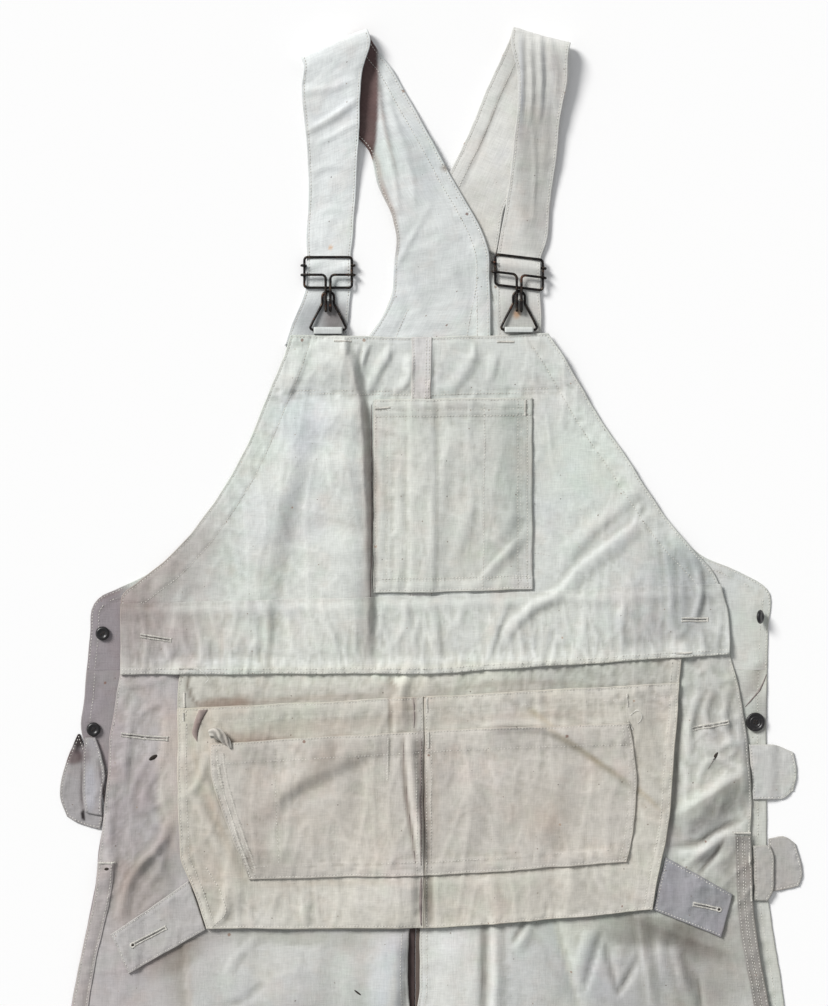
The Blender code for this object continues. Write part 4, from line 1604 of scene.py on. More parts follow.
@dataclass
class Trim:
    """Needlework, the painted shade of openings and creases, and loose threads of one sub-assembly."""

    label: str
    finishes: Finishes
    work: Needlework
    slits: list[Mesh] = field(default_factory=list)
    shades: list[Mesh] = field(default_factory=list)
    threads: list[Mesh] = field(default_factory=list)

    def panel(self, panel: Panel) -> Panel:
        """Builds a panel and sews its rows.

        Args:
            panel: the panel.

        Returns:
            The same panel.
        """
        panel.build(self.finishes.canvas)
        self.work.sew(panel.rows())
        return panel

    def bar_tack(self, panel: Panel, start: Point, end: Point, white: bool = False) -> None:
        """A short dense bar of stitches."""
        self.work.sew([panel.seated(smooth_line([start, end], 1.5), 0.2)], BAR_TACK, white)

    def crease(self, panel: Panel, points: Sequence[Point], half: float) -> None:
        """A dark strip along the bottom of a tight crease, tapered to its ends: painted shade."""
        self.slit(panel, points, half)
        self.shades.append(self.slits.pop())

    def slit(self, panel: Panel, points: Sequence[Point], half: float) -> None:
        """Lays a dark sliver along a line, tapered to its ends: the painted shade of a narrow opening.

        Args:
            panel: the panel it is in.
            points: the plan points it passes.
            half: half its width.
        """
        line = smooth_line(points, 1.5)
        spread = half * np.sqrt(np.sin(np.pi * np.linspace(0.04, 0.96, len(line))))
        normal = sideways(line)
        plan = np.stack([line + normal * (spread * way)[:, None] for way in (-1, 0, 1)], axis=1)
        z = panel.top(plan[..., 0].ravel(), plan[..., 1].ravel()).reshape(plan.shape[:2])
        top, bottom = (hand_drift(np.dstack([plan, z + offset])) for offset in (0.25, -0.25))
        self.slits.append(shell_mesh("slit", top, bottom))

    def buttonhole(self, panel: Panel, start: Point, end: Point, keyhole: bool = False) -> None:
        """Works a buttonhole: a slit with stitches close beside it and a bar at its end.

        Args:
            panel: the panel it is in.
            start: the plan point where it starts.
            end: the plan point where its bar is.
            keyhole: whether it starts with a round eye.
        """
        a, b = np.array(start, float), np.array(end, float)
        way = (b - a) / np.linalg.norm(b - a)
        normal = np.array([-way[1], way[0]])
        for side in (-1, 1):
            line = [a + normal * 1.35 * side, b + normal * 1.35 * side]
            self.work.sew([panel.seated(smooth_line(line, 1.5), 0.25)], OVERCAST)
        self.bar_tack(panel, tuple(b - normal * 1.8), tuple(b + normal * 1.8))
        if keyhole:
            turns = np.linspace(0, math.tau, 13)
            ring = a - way * 1.6 + 2.1 * np.stack([np.cos(turns), np.sin(turns)], axis=1)
            self.work.sew([panel.seated(ring, 0.25)], OVERCAST)
            self.slit(panel, [tuple(a - way * 2.8), tuple(a)], 1.1)
        self.slit(panel, [tuple(a + way * 0.4), tuple(b - way * 0.8)], 0.17)

    def loose_thread(self, points: Sequence[Spot], panel: Panel) -> None:
        """Lays a thread end over the cloth.

        Args:
            points: the plan points it passes, with their heights over the cloth.
            panel: the panel that it lies on.
        """
        line = smooth_line(points, 1.0)
        z = panel.top(line[:, 0], line[:, 1]) + line[:, 2] + 0.25
        self.threads.append(tube_mesh("thread", hand_drift(np.column_stack([line[:, :2], z])), 0.16, 5))

    def finish(self) -> None:
        """Makes the joined pieces."""
        if self.work.rows:
            self.work.finish()
        # openings and creases are dark strips: painted shade
        for kind, meshes, finish in (
            ("_opening_shades", self.slits, self.finishes.hole),
            ("_creases", self.shades, self.finishes.grimy),
            ("_threads", self.threads, self.finishes.white_thread),
        ):
            if meshes:
                name = self.label + kind
                place(name, joined(name, meshes), finish)


# ---- The garment's sizes, reliefs and colours ----

# Painted shade and painted light over the bib and waistband: the left side darker as the light falls off
# towards it, shade beside the folds and in their troughs, and lighter lit flanks; a few patches shift the
# cloth's own tone.
UPPER_PATCHES = (
    Patch(-270, 90, 120, 70, (0.66, 0.585, 0.58), 40, 0.15),
    Patch(-280, 30, 90, 60, (0.80, 0.75, 0.76), 0, 0.3),
    Patch(-215, 36, 60, 34, (0.94, 0.90, 0.89), 0, 0.2),
    Patch(-120, 70, 70, 60, (1.08, 1.07, 1.06)),
    Patch(-110, 200, 40, 100, (1.04, 1.04, 1.04)),
    Patch(-115, 235, 44, 44, (0.97, 0.97, 1.03), core=0.3),
    Patch(-10, 150, 30, 170, (1.06, 1.06, 1.05), core=0.3),
    Patch(-8, 290, 40, 26, (1.05, 1.05, 1.05)),
    Streak(((-117, 255), (-118, 200), (-128, 140), (-136, 70)), 12, 12, (0.92, 0.92, 0.93)),
    Streak(((-150, 120), (-160, 60), (-166, 12)), 6, 30, (0.93, 0.92, 0.92)),
    Streak(((-72, 300), (-55, 240), (-50, 180), (-49, 122), (-50, 66), (-51, 4)), 7, 14, (0.66, 0.58, 0.56)),
    Streak(((-68, 240), (-64, 180), (-62, 110)), 9, 10, (0.84, 0.84, 0.85)),
    Patch(-136, 30, 70, 26, (1.05, 1.04, 1.03), core=0.3),
    Patch(150, 190, 60, 80, (1.02, 1.06, 1.03)),
    Patch(234, 70, 42, 66, (0.82, 0.82, 0.845), core=0.35),
    Patch(262, 60, 40, 60, (0.84, 0.84, 0.86), core=0.2),
    Streak(((229, 117), (234, 81), (234, 34)), 5, 5, (0.84, 0.84, 0.85)),
    Streak(((196, 110), (200, 80), (206, 40), (206, 10)), 4, 4, (0.88, 0.88, 0.88)),
    Streak(((76, 62), (66, 36), (56, 4)), 4, 8, (0.84, 0.82, 0.80)),
    Streak(((120, 44), (112, 8)), 4, 7, (0.86, 0.85, 0.83)),
    Streak(((-145, 60), (-146, 4)), 3, 5, (0.86, 0.83, 0.81)),
    Streak(((-190, 34), (-191, 2)), 3, 5, (0.86, 0.82, 0.80)),
    Patch(40, 110, 16, 50, (0.95, 0.95, 0.94)),
    Patch(238, 104, 34, 26, (0.84, 0.85, 0.86), core=0.2),
    Patch(206, 34, 46, 26, (0.86, 0.86, 0.875), core=0.3),
    Patch(278, 20, 16, 16, (0.88, 0.88, 0.88)),
    Streak(((-60, 136), (-60, 70), (-60, 12)), 9, 9, (0.88, 0.88, 0.89)),
    Patch(-110, 212, 18, 56, (0.92, 0.92, 0.93), core=0.2),
    Patch(-133, 95, 14, 44, (0.91, 0.905, 0.90)),
    Patch(-188, 88, 20, 34, (0.91, 0.90, 0.895)),
    Patch(-245, 68, 44, 16, (0.92, 0.91, 0.91), 20),
    Patch(-280, 24, 14, 30, (0.90, 0.88, 0.885)),
    Patch(-217, 10, 34, 12, (0.91, 0.90, 0.90)),
    Patch(100, 124, 24, 44, (1.06, 1.06, 1.055)),
    Patch(136, 62, 60, 12, (1.09, 1.09, 1.08), 35),
    Streak(((132, 270), (176, 214), (206, 176)), 6, 18, (1.07, 1.07, 1.07)),
    Patch(6, 268, 26, 18, (1.08, 1.08, 1.08)),
    Patch(-53, 238, 8, 28, (1.11, 1.11, 1.10)),
    Patch(-28, 180, 14, 70, (1.04, 1.04, 1.03)),
    Patch(206, 156, 26, 20, (0.90, 0.90, 0.90)),
    Patch(254, 106, 20, 20, (0.88, 0.885, 0.89)),
    Patch(190, 20, 66, 12, (0.90, 0.90, 0.90), core=0.3),
    Patch(276, 20, 16, 14, (0.86, 0.86, 0.86)),
    Patch(60, 94, 18, 22, (0.90, 0.90, 0.90)),
    Patch(-62, 69, 14, 24, (0.90, 0.90, 0.90)),
    Patch(-160, 16, 18, 12, (0.90, 0.89, 0.89)),
    Patch(-274, 84, 20, 18, (0.90, 0.89, 0.89)),
    Patch(-276, 8, 20, 12, (0.90, 0.89, 0.89)),
    Patch(-3, -10, 24, 10, (1.10, 1.10, 1.10)),
    Patch(97, 114, 16, 20, (1.10, 1.10, 1.10)),
    Streak(((92, 41), (136, 74), (182, 108)), 12, 12, (1.08, 1.08, 1.075)),
    Patch(7, 269, 20, 14, (1.10, 1.10, 1.10)),
    Patch(-36, 176, 12, 30, (1.08, 1.08, 1.07)),
)

BIB_FOLDS = (
    Fold(((-80, 318), (-67, 281), (-59, 231), (-56, 179), (-54, 122), (-53, 65), (-54, 6)), 9, 100, 10.5),
    Fold(((-121, 256), (-120, 217), (-132, 169), (-145, 122), (-155, 65), (-164, 12)), 22, 44, 5.0),
    Fold(((-145, 65), (-147, 4)), 5, 10, 2.0),
    Fold(((-205, 30), (-206, 4)), 5, 8, 1.4),
    Fold(((-159, 27), (-159, 4)), 4, 8, 1.4),
    Fold(((-187, 38), (-188, 4)), 6, 8, 1.2),
    Fold(((-110, 302), (-121, 274), (-132, 253)), 6, 16, 2.2),
    Fold(((-75, 314), (-74, 296)), 5, 6, 2.0),
    Fold(((-63, 307), (-65, 264)), 5, 7, 2.0),
    Fold(((-51, 310), (-58, 287)), 4, 5, 1.6),
    Fold(((-29, 307), (-43, 281), (-54, 258)), 7, 9, 2.2),
    Fold(((-34, 306), (-33, 287)), 4, 6, 1.2),
    Fold(((-13, 300), (-15, 272), (-28, 260)), 5, 9, 1.8),
    Fold(((7, 312), (7, 255)), 4, 12, 1.6),
    Fold(((48, 310), (48, 291)), 4, 7, 1.2),
    Fold(((54, 307), (40, 281), (22, 260)), 9, 12, 2.0),
    Fold(((71, 307), (63, 269)), 6, 10, 1.4),
    Fold(((-17, 66), (-14, 40)), 5, 8, 1.6),
    Fold(((10, 67), (16, 4)), 4, 14, 2.0),
    Fold(((40, 66), (30, 38)), 6, 8, 1.2),
    Fold(((80, 65), (70, 36), (60, 4)), 5, 12, 2.8),
    Fold(((132, 71), (107, 59), (85, 38), (69, 12)), 7, 10, 1.8),
    Fold(((120, 41), (114, 8)), 5, 9, 1.6),
    Fold(((191, 65), (185, 32)), 5, 8, 1.6),
    Fold(((189, 27), (187, 6)), 4, 6, 1.4),
    Fold(((154, 55), (149, 12)), 7, 8, 1.2),
    Fold(((221, 150), (202, 135), (180, 119), (149, 95), (128, 72), (106, 62), (87, 44)), 15, 8, 2.9),
    Fold(((210, 173), (190, 156), (164, 134), (142, 110), (130, 91)), 9, 16, 2.0),
    Fold(((206, 155), (200, 134)), 4, 6, 2.0),
    Fold(((229, 117), (234, 81), (234, 34)), 9, 5, 3.2),
    Fold(((254, 110), (262, 88), (262, 62), (254, 41)), 5, 8, 3.2),
    Fold(((244, 93), (245, 41)), 6, 6, 1.4),
    Fold(((216, 103), (214, 27)), 12, 10, 1.8),
)
POCKET_FOLDS = (
    Fold(((28, 231), (16, 179), (9, 74)), 14, 12, 1.6),
    Fold(((101, 134), (81, 113), (61, 91), (48, 74)), 12, 6, 2.0),
    Fold(((92, 155), (64, 117)), 10, 12, 1.4),
    Fold(((-20, 226), (-22, 74)), 8, 10, 1.0),
    Fold(((45, 160), (30, 103)), 12, 12, 1.4),
)
LEG_FOLDS = (
    Fold(((40, -296), (180, -290), (320, -300)), 62, 62, 5.4),
    Fold(((-230, -304), (-110, -302), (-4, -300)), 60, 60, 4.0),
    Fold(((276, -6), (272, -120), (268, -226)), 34, 36, 3.0),
    Fold(((-238, -140), (-251, -167), (-275, -195), (-289, -238)), 9, 7, 4.0),
    Fold(((-253, -166), (-247, -198)), 5, 7, 1.8),
    Fold(((-266, -118), (-245, -154)), 6, 9, 2.0),
    Fold(((-272, -20), (-282, -70), (-284, -130)), 8, 9, 1.6),
    Fold(((-258, -215), (-256, -262), (-262, -318)), 9, 16, -3.0),
    Fold(((-224, -258), (-222, -290), (-216, -352)), 34, 6, 3.0),
    Fold(((-152, -252), (-172, -268), (-187, -290)), 7, 7, 1.1),
    Fold(((-150, -298), (-172, -315), (-192, -320)), 6, 6, -1.3),
    Fold(((-116, -262), (-120, -300), (-136, -352)), 40, 34, 1.8),
    Fold(((-22, -246), (-25, -290), (-30, -352)), 13, 36, 5.6),
    Fold(((232, -142), (268, -121), (295, -104), (312, -95)), 12, 34, 7.0),
    Fold(((231, -168), (259, -166), (278, -154), (295, -146), (308, -141)), 5, 4, -3.6),
    Fold(((234, -176), (260, -174), (281, -162), (300, -153)), 6, 12, 2.8),
    Fold(((246, -190), (262, -176), (275, -164)), 6, 8, 3.0),
    Fold(((261, -198), (275, -178), (287, -158)), 4, 5, -3.0),
    Fold(((264, -20), (254, -50), (250, -90)), 6, 8, 3.8),
    Fold(((274, -18), (268, -44), (276, -66)), 5, 7, 3.2),
    Fold(((290, -16), (286, -48), (296, -84)), 6, 8, 2.4),
    Fold(((238, -84), (250, -104), (246, -126)), 7, 7, 2.2),
    Fold(((277, -82), (296, -92), (309, -98)), 5, 6, 1.8),
    Fold(((277, -78), (290, -70), (306, -70)), 5, 6, 1.6),
    Fold(((274, -84), (262, -100), (256, -122)), 5, 7, 2.0),
    Fold(((26, -240), (29, -290), (30, -352)), 30, 26, 2.6),
    Fold(((59, -232), (59, -280), (58, -352)), 5, 6, -6.0),
    Fold(((68, -234), (68, -280), (67, -352)), 10, 5, 3.4),
    Fold(((97, -234), (93, -246), (86, -260)), 4, 4, -2.8),
    Fold(((103, -236), (97, -252), (86, -268)), 9, 4, 2.0),
    Fold(((119, -232), (131, -273), (146, -324)), 10, 40, -5.2),
    Fold(((168, -250), (161, -276), (150, -310)), 5, 6, -3.0),
    Fold(((157, -246), (150, -270), (143, -290)), 10, 8, 1.8),
    Fold(((171, -258), (178, -284), (186, -310)), 5, 5, -3.0),
    Fold(((184, -310), (194, -292), (204, -272)), 5, 5, -3.0),
    Fold(((184, -262), (188, -280)), 8, 8, 1.6),
    Fold(((203, -230), (207, -263), (218, -326)), 12, 4, 3.4),
    Fold(((238, -262), (246, -290), (258, -326)), 5, 11, 3.4),
    Fold(((255, -286), (260, -302), (264, -324)), 4, 3, -3.0),
    Fold(((228, -246), (224, -270), (230, -296)), 8, 9, 1.6),
    Fold(((-300, -140), (-296, -180), (-300, -230)), 6, 8, 2.0),
    Fold(((-150, -340), (-176, -450), (-205, -620)), 40, 30, 5.0),
    Fold(((-110, -640), (-170, -840), (-230, -1040)), 44, 32, 5.0),
    Fold(((205, -350), (186, -500), (150, -660)), 34, 42, 5.5),
    Fold(((250, -640), (214, -820), (170, -1010)), 36, 46, 5.0),
    Fold(((-290, -720), (-212, -752), (-130, -770)), 24, 32, 4.0),
    Fold(((110, -760), (206, -726), (300, -700)), 30, 24, 4.0),
    Fold(((-300, -430), (-230, -470), (-150, -470)), 14, 20, 3.0),
    Fold(((90, -430), (170, -462), (270, -450)), 16, 18, 3.0),
    Fold(((-96, -420), (-120, -540), (-112, -660)), 12, 20, 3.0),
    Fold(((70, -560), (110, -640), (112, -760)), 16, 20, 3.0),
    Fold(((300, -480), (280, -560), (290, -640)), 12, 18, 3.0),
    Fold(((-260, -860), (-200, -900), (-140, -880)), 16, 20, 3.0),
    Fold(((110, -900), (180, -930), (280, -900)), 16, 20, 3.0),
)
APRON_FOLDS = (
    Fold(((-13, -60), (-9, -110), (-4, -160), (-1, -190)), 8, 9, 5.0),
    Fold(((-12, -190), (-12, -245)), 9, 40, 3.5),
    Fold(((-14, -2), (-20, -24), (-20, -60)), 9, 9, 3.2),
    Fold(((-48, -74), (-90, -92), (-130, -114), (-154, -142)), 14, 24, 4.0),
    Fold(((58, -54), (118, -56), (150, -72), (196, -104), (226, -134)), 20, 8, 4.6),
    Fold(((-111, -200), (-111, -244)), 6, 8, 1.6),
    Fold(((-189, -205), (-187, -228), (-198, -244)), 6, 8, 2.0),
    Fold(((60, -196), (74, -236)), 9, 10, 1.6),
    Fold(((150, -150), (140, -196), (150, -228)), 14, 18, 2.2),
    Fold(((40, -90), (46, -150), (30, -190)), 16, 18, 1.8),
    Fold(((-70, -80), (-76, -150), (-66, -190)), 16, 18, 1.6),
    Fold(((-32, -8), (-31, -50), (-31, -100)), 3, 3, -1.4),
    Fold(((-19, -62), (-16, -112), (-6, -185)), 2.5, 2.5, -2.4),
    Fold(((1, -70), (3, -120), (5, -184)), 4, 4, -3.2),
    Fold(((5, -192), (7, -246)), 7, 6, -4.0),
    Fold(((-222, -4), (-221, -20), (-212, -39)), 2, 3, -1.6),
    Fold(((-196, -150), (-180, -190), (-186, -236)), 14, 16, 2.4),
    Fold(((-216, -88), (-204, -112), (-188, -150)), 7, 9, 2.0),
    Fold(((-224, -110), (-206, -140), (-192, -176)), 6, 8, 1.8),
    Fold(((-206, -78), (-210, -100), (-222, -122)), 6, 6, 1.6),
    Fold(((-28, -24), (-26, -44), (-25, -62)), 3, 5, 1.6),
)


def crumples(
    seed: int, strength: float = 1.0, zone: Zone = EVERYWHERE, turn: float = 0.0
) -> tuple[Crumple, ...]:
    """Broad dents, long straight creases both ways and fine crumpling.

    Args:
        seed: picks the pattern.
        strength: multiplies every height.
        zone: low x, high x, low y and high y of where it shows.
        turn: the direction of the longest creases, in degrees from the plan's y.

    Returns:
        The crumples.
    """
    return (
        Crumple(58, 105, 2.6 * strength, seed, turn, 0.15, zone),
        Crumple(20, 74, 1.1 * strength, seed + 20, turn, 0.75, zone),
        Crumple(21, 58, 0.95 * strength, seed + 30, turn + 62, 0.75, zone),
        Crumple(9, 24, 0.36 * strength, seed + 40, turn - 25, 0.7, zone),
        Crumple(4.5, 7, 0.15 * strength, seed + 60, 0, 0.5, zone),
    )


# Painted shade and painted light on the upper apron pockets: brown shade above the mouths and along the
# centre pleat, shade beside folds and along the foot, and lighter lit places; a few patches shift the cloth's
# own tone.
UPPER_POCKET_PATCHES = (
    Patch(-150, -225, 110, 30, (1.06, 1.07, 1.08), core=0.3),
    Patch(-196, -160, 44, 90, (0.89, 0.875, 0.865), core=0.4),
    Patch(110, -214, 120, 20, (0.94, 0.93, 0.93), core=0.4),
    Patch(-110, -56, 110, 12, (0.90, 0.86, 0.84), 5, 0.3),
    Patch(-172, -66, 34, 9, (0.80, 0.74, 0.72), core=0.3),
    Streak(((-190, -70), (-150, -70), (-112, -68)), 6, 12, (0.70, 0.61, 0.57)),
    Streak(((-112, -68), (-88, -65), (-66, -61)), 3, 10, (0.84, 0.77, 0.74)),
    Streak(((8, -50), (118, -43), (186, -42)), 6, 7, (0.82, 0.78, 0.76)),
    Patch(-20, -40, 14, 22, (0.94, 0.91, 0.90), core=0.4),
    Streak(((-31.5, -18), (-31, -58)), 3, 3, (0.66, 0.60, 0.58)),
    Streak(((-8, -20), (-7.5, -60)), 3, 3, (0.58, 0.52, 0.51)),
    Streak(((196, -50), (204, -100), (199, -150), (190, -184)), 4, 7, (0.86, 0.83, 0.80)),
    Streak(((188, -102), (206, -116), (228, -136)), 3, 5, (0.78, 0.73, 0.63)),
    Streak(((96, -36), (112, -46), (126, -58)), 4, 6, (0.86, 0.81, 0.73)),
    Streak(((-206, -90), (-203, -116), (-184, -165), (-168, -199)), 4, 10, (0.88, 0.84, 0.80)),
    Streak(((-166, -204), (-88, -203), (-8, -202)), 4, 6, (0.86, 0.83, 0.80)),
    Streak(((1, -195), (130, -187), (193, -181)), 4, 6, (0.86, 0.83, 0.80)),
    Streak(((4, -190), (7, -246)), 10, 10, (0.46, 0.41, 0.40)),
    Streak(((0, -62), (1, -190)), 4, 4, (0.60, 0.55, 0.53)),
    Streak(((-219, -60), (-214, -90), (-206, -120)), 3, 6, (0.84, 0.82, 0.78)),
    Patch(60, -40, 50, 20, (1.04, 1.05, 1.06)),
    Patch(-180, -38, 26, 12, (0.88, 0.86, 0.85)),
    Patch(-210, -26, 14, 14, (0.88, 0.86, 0.85)),
    Patch(-193, -218, 20, 22, (0.88, 0.87, 0.86)),
    Patch(-150, -212, 44, 22, (0.92, 0.915, 0.91), core=0.3),
    Patch(-70, -206, 60, 26, (1.06, 1.06, 1.06), core=0.3),
    Patch(210, -50, 22, 18, (0.88, 0.88, 0.88)),
    Patch(222, -88, 12, 24, (0.88, 0.88, 0.88)),
    Patch(232, -200, 12, 14, (1.16, 1.15, 1.14)),
    Patch(22, -38, 14, 20, (0.90, 0.89, 0.88)),
    Patch(144, -30, 38, 16, (1.08, 1.07, 1.06)),
    Patch(212, -70, 14, 44, (0.91, 0.90, 0.89)),
)
# Painted shade and painted light on the lower apron pockets: shade along the pleat's tube and beside the
# diagonal fold, a shaded and a lit line beside the seam ridge, and lighter lit places.
LOWER_POCKET_PATCHES = (
    Patch(-52, -150, 40, 60, (1.07, 1.06, 1.04), core=0.4),
    Patch(-156, -128, 20, 60, (0.96, 0.935, 0.93), core=0.5),
    Patch(-148, -184, 40, 20, (0.84, 0.835, 0.83), core=0.3),
    Patch(-88, -68, 22, 12, (0.88, 0.87, 0.865)),
    Patch(-93, -90, 24, 26, (0.89, 0.88, 0.875), core=0.2),
    Patch(-160, -196, 46, 26, (0.88, 0.875, 0.87), core=0.3),
    Patch(-164, -102, 18, 18, (1.10, 1.10, 1.09)),
    Patch(-124, -81, 24, 13, (1.15, 1.15, 1.14), core=0.2),
    Patch(-88, -82, 14, 14, (0.86, 0.85, 0.84)),
    Streak(((-136.5, -80), (-135.5, -130), (-132.5, -186)), 3, 3, (0.84, 0.83, 0.82)),
    Streak(((-141.5, -80), (-140.5, -130), (-137.5, -186)), 3, 3, (1.10, 1.10, 1.095)),
    Patch(-169, -66, 26, 10, (0.86, 0.84, 0.83)),
    Patch(-52, -88, 20, 36, (1.11, 1.11, 1.10)),
    Patch(-70, -184, 50, 30, (1.05, 1.05, 1.05), core=0.3),
    Streak(((-62, -84), (-94, -98), (-134, -122), (-160, -150)), 6, 16, (0.90, 0.88, 0.86)),
    Streak(((-76, -64), (-92, -82), (-114, -122)), 10, 14, (0.88, 0.86, 0.845)),
    Streak(((112, -52), (137, -68), (184, -100), (196, -108)), 3, 7, (0.80, 0.75, 0.64)),
    Streak(((-19, -62), (-16, -112), (-6, -188)), 3, 4, (0.50, 0.44, 0.42)),
    Streak(((-4, -60), (0, -110), (5, -192)), 6, 7, (0.52, 0.465, 0.45)),
    Streak(((8, -62), (12, -110), (12, -180)), 6, 12, (0.86, 0.83, 0.81)),
    Streak(((-12, -64), (-9, -110), (-5, -170)), 3.5, 3.5, (1.08, 1.06, 1.05)),
    Patch(22, -96, 13, 40, (0.91, 0.90, 0.895)),
    Patch(56, -86, 38, 44, (1.15, 1.155, 1.15), core=0.2),
    Patch(156, -106, 26, 24, (1.10, 1.10, 1.09)),
    Patch(154, -174, 30, 18, (1.13, 1.12, 1.11)),
    Patch(130, -163, 16, 22, (0.90, 0.89, 0.885)),
    Patch(110, -130, 50, 44, (0.96, 0.95, 0.94)),
    Patch(126, -136, 22, 64, (0.94, 0.935, 0.93)),
    Patch(162, -138, 22, 64, (1.08, 1.08, 1.075), core=0.2),
)

UPPER_RELIEF = Relief((*BIB_FOLDS, *crumples(3, 0.75)), 0.6)
WAIST_PUCKERS = (
    Crumple(17, 66, 2.0, 93, 8, 0.65, (-290, 300, -8, 56), 22),
    Crumple(6.5, 30, 0.6, 91, 0, 0.5, (-290, 300, -8, 12), 10),
    Crumple(11, 40, 1.5, 92, 4, 0.6, (-290, 300, -8, 34), 16),
)
APRON_PUCKERS = (
    Crumple(6, 22, 1.1, 95, 0, 0.5, (-230, 244, -26, 14), 14),
    Crumple(12, 18, 0.9, 96, 30, 0.6, (-230, 244, -44, 14), 16),
)
LEG_CRUMPLES = (*crumples(4, 0.5, (-FAR, FAR, -350, -215), 8), *crumples(4, 1.3, (-FAR, FAR, -FAR, -350), 8))
LEG_RELIEF = Relief((*LEG_FOLDS, *LEG_CRUMPLES), 0.4)


def upper_front(x: Array, y: Array) -> Array:
    """The underside of the bib: on the back, and lifted over the strap ends at its top."""
    lift = BIB_TOP_LIFT * smooth_step(y, 254, 296)
    return FRONT_REST + lift + UPPER_RELIEF(x, y)


# Places across the apron's lower edge, and how high up the plan the edge is at each.
APRON_FOOT = ((-206.0, -98.0, -18.0, 14.0, 130.0, 218.0), (-246.0, -250.0, -248.0, -239.0, -231.0, -226.0))


def lower_front(x: Array, y: Array) -> Array:
    """The underside of the front legs: level under the apron, crumpled and crowned beyond it.

    Args:
        x: the points' places across.
        y: their places up the plan.

    Returns:
        The height at each point.
    """
    foot = np.interp(x, APRON_FOOT[0], APRON_FOOT[1])
    under_apron = smooth_step(x, -246, -232) * (1 - smooth_step(x, 236, 250))
    under_apron = under_apron * smooth_step(y, foot - 9, foot + 4)
    centre = np.where(x < 0, -200.0, 195.0)
    crown = 4.0 * smooth_step(-y, 300, 420) * np.clip(1 - ((x - centre) / 150) ** 2, 0.0, 1.0)
    side = crumple_side(x, y)
    return FRONT_REST + crown + (LEG_RELIEF(x, y) + side) * (1 - 0.94 * under_apron)


SIDE_CRUMPLES = (
    Crumple(20, 34, 2.4, 51, -25, 0.6),
    Crumple(10, 15, 0.9, 53, 20, 0.65),
    Crumple(5, 8, 0.3, 52, 30, 0.6),
)


def crumple_side(x: Array, y: Array) -> Array:
    """Crumpling of the narrow leg fronts beside the apron.

    Args:
        x: the points' places across.
        y: their places up the plan.

    Returns:
        The height at each point.
    """
    beside = 1 - smooth_step(x, -250, -236) * (1 - smooth_step(x, 238, 252))
    beside = beside * smooth_step(y, -250, -220)
    return 0.5 * beside + beside * sum(shape(x, y) for shape in SIDE_CRUMPLES) * 0.8


def seam_ridge(line: Sequence[Point], half: float, height: float) -> Field:
    """The bump that cloth makes over a thick seam under it.

    Args:
        line: the seam's points.
        half: half the seam's width.
        height: the bump's height.

    Returns:
        The bump as a field.
    """

    def lift(x: Array, y: Array) -> Array:
        """The bump's height at plan points."""
        off = nearest_on(smooth_line(line, 20.0), x, y)[0]
        return height * (1 - smooth_step(off, half, half + 6))

    return lift


# ---- Sub-assemblies ----


@dataclass
class Shop:
    """What every sub-assembly shares: the finishes and the stitch tree."""

    finishes: Finishes
    tree: Tree

    def trim(self, label: str) -> Trim:
        """Starts the trim of a sub-assembly."""
        return Trim(label, self.finishes, Needlework(label + "_stitches", self.tree, self.finishes))


@dataclass
class Back:
    """The back panel and the back of both legs, whose side edges show past the front."""

    shop: Shop
    panel_color: Color = (0.60, 0.62, 0.60)
    # The left back leg is coloured dark all over, matched to the strip of it that shows beside the front in
    # shade: painted shade.
    left_color: Color = (0.31, 0.28, 0.29)
    right_color: Color = (0.565, 0.575, 0.535)

    def build(self) -> None:
        """Builds the three pieces with their hems."""
        trim = self.shop.trim("back")
        outer = Relief(
            (
                Crumple(20, 30, 1.2, 31, 0, 0.5, (-FAR, -302, -FAR, FAR), 7),
                Crumple(20, 30, 1.2, 32, 0, 0.5, (308, FAR, -FAR, FAR), 7),
                Crumple(9, 12, 0.4, 33, 0, 0.5, (308, FAR, -FAR, FAR), 7),
            ),
            0.0,
            0.02,
        )
        # Painted shade: dark at the fork between the legs, on the left side extension and its hem, and beside
        # the curled edge of the right extension.
        marks = (
            Patch(-9, -300, 20, 120, (0.22, 0.17, 0.16), core=0.4),
            Patch(-350, 20, 85, 120, (0.49, 0.43, 0.47), core=0.8),
            Streak(((-318, 60), (-300, 68), (-268, 79)), 3, 3, (0.82, 0.76, 0.74)),
            Streak(((322, -10), (321, -19), (310, -27), (303, -38)), 2, 2, (0.70, 0.66, 0.66)),
            Patch(340, -44, 34, 26, (0.66, 0.64, 0.66), core=0.3),
            Patch(322, 30, 40, 70, (1.0, 0.99, 0.95)),
            Streak(((327, 10), (318, -14), (300, -34)), 3, 16, (0.66, 0.62, 0.62)),
            Streak(((-3, 382), (-6, 352), (-16, 318)), 3, 3, (0.70, 0.68, 0.66)),
        )
        edges = (Hem(Side.LEFT, 9, 0.25, (1.8, 8.0)), Hem(Side.RIGHT, 9, 0.25, (1.8, 8.0)))
        for node, color, hems, side, reach in (
            ("back_bib", self.panel_color, edges, Side.BOTTOM, -GAP / 2),
            ("back_leg_left", self.left_color, (Hem(Side.LEFT, 10, 0.25, (8.5,)),), Side.TOP, GAP / 2),
            ("back_leg_right", self.right_color, (Hem(Side.RIGHT, 10, 0.25, (8.5,)),), Side.TOP, GAP / 2),
        ):
            coarse, run = (0.0, 0.0) if node == "back_bib" else (12.0, 780)
            own = marks if node != "back_leg_left" else marks[:1]
            piece = Panel(
                node,
                outer,
                color,
                cell=6.0,
                coarse=coarse,
                coarse_run=run,
                hems=hems,
                patches=own,
                butt=(side,),
                grow={side: (0, reach)},
            )
            trim.panel(piece)
            if node == "back_leg_right":
                trim.crease(piece, [(326, -6), (320, -20), (306, -37)], 0.7)
            elif node == "back_leg_left":
                trim.crease(piece, [(-311, -80), (-305, -100), (-302, -130)], 1.0)
        trim.finish()


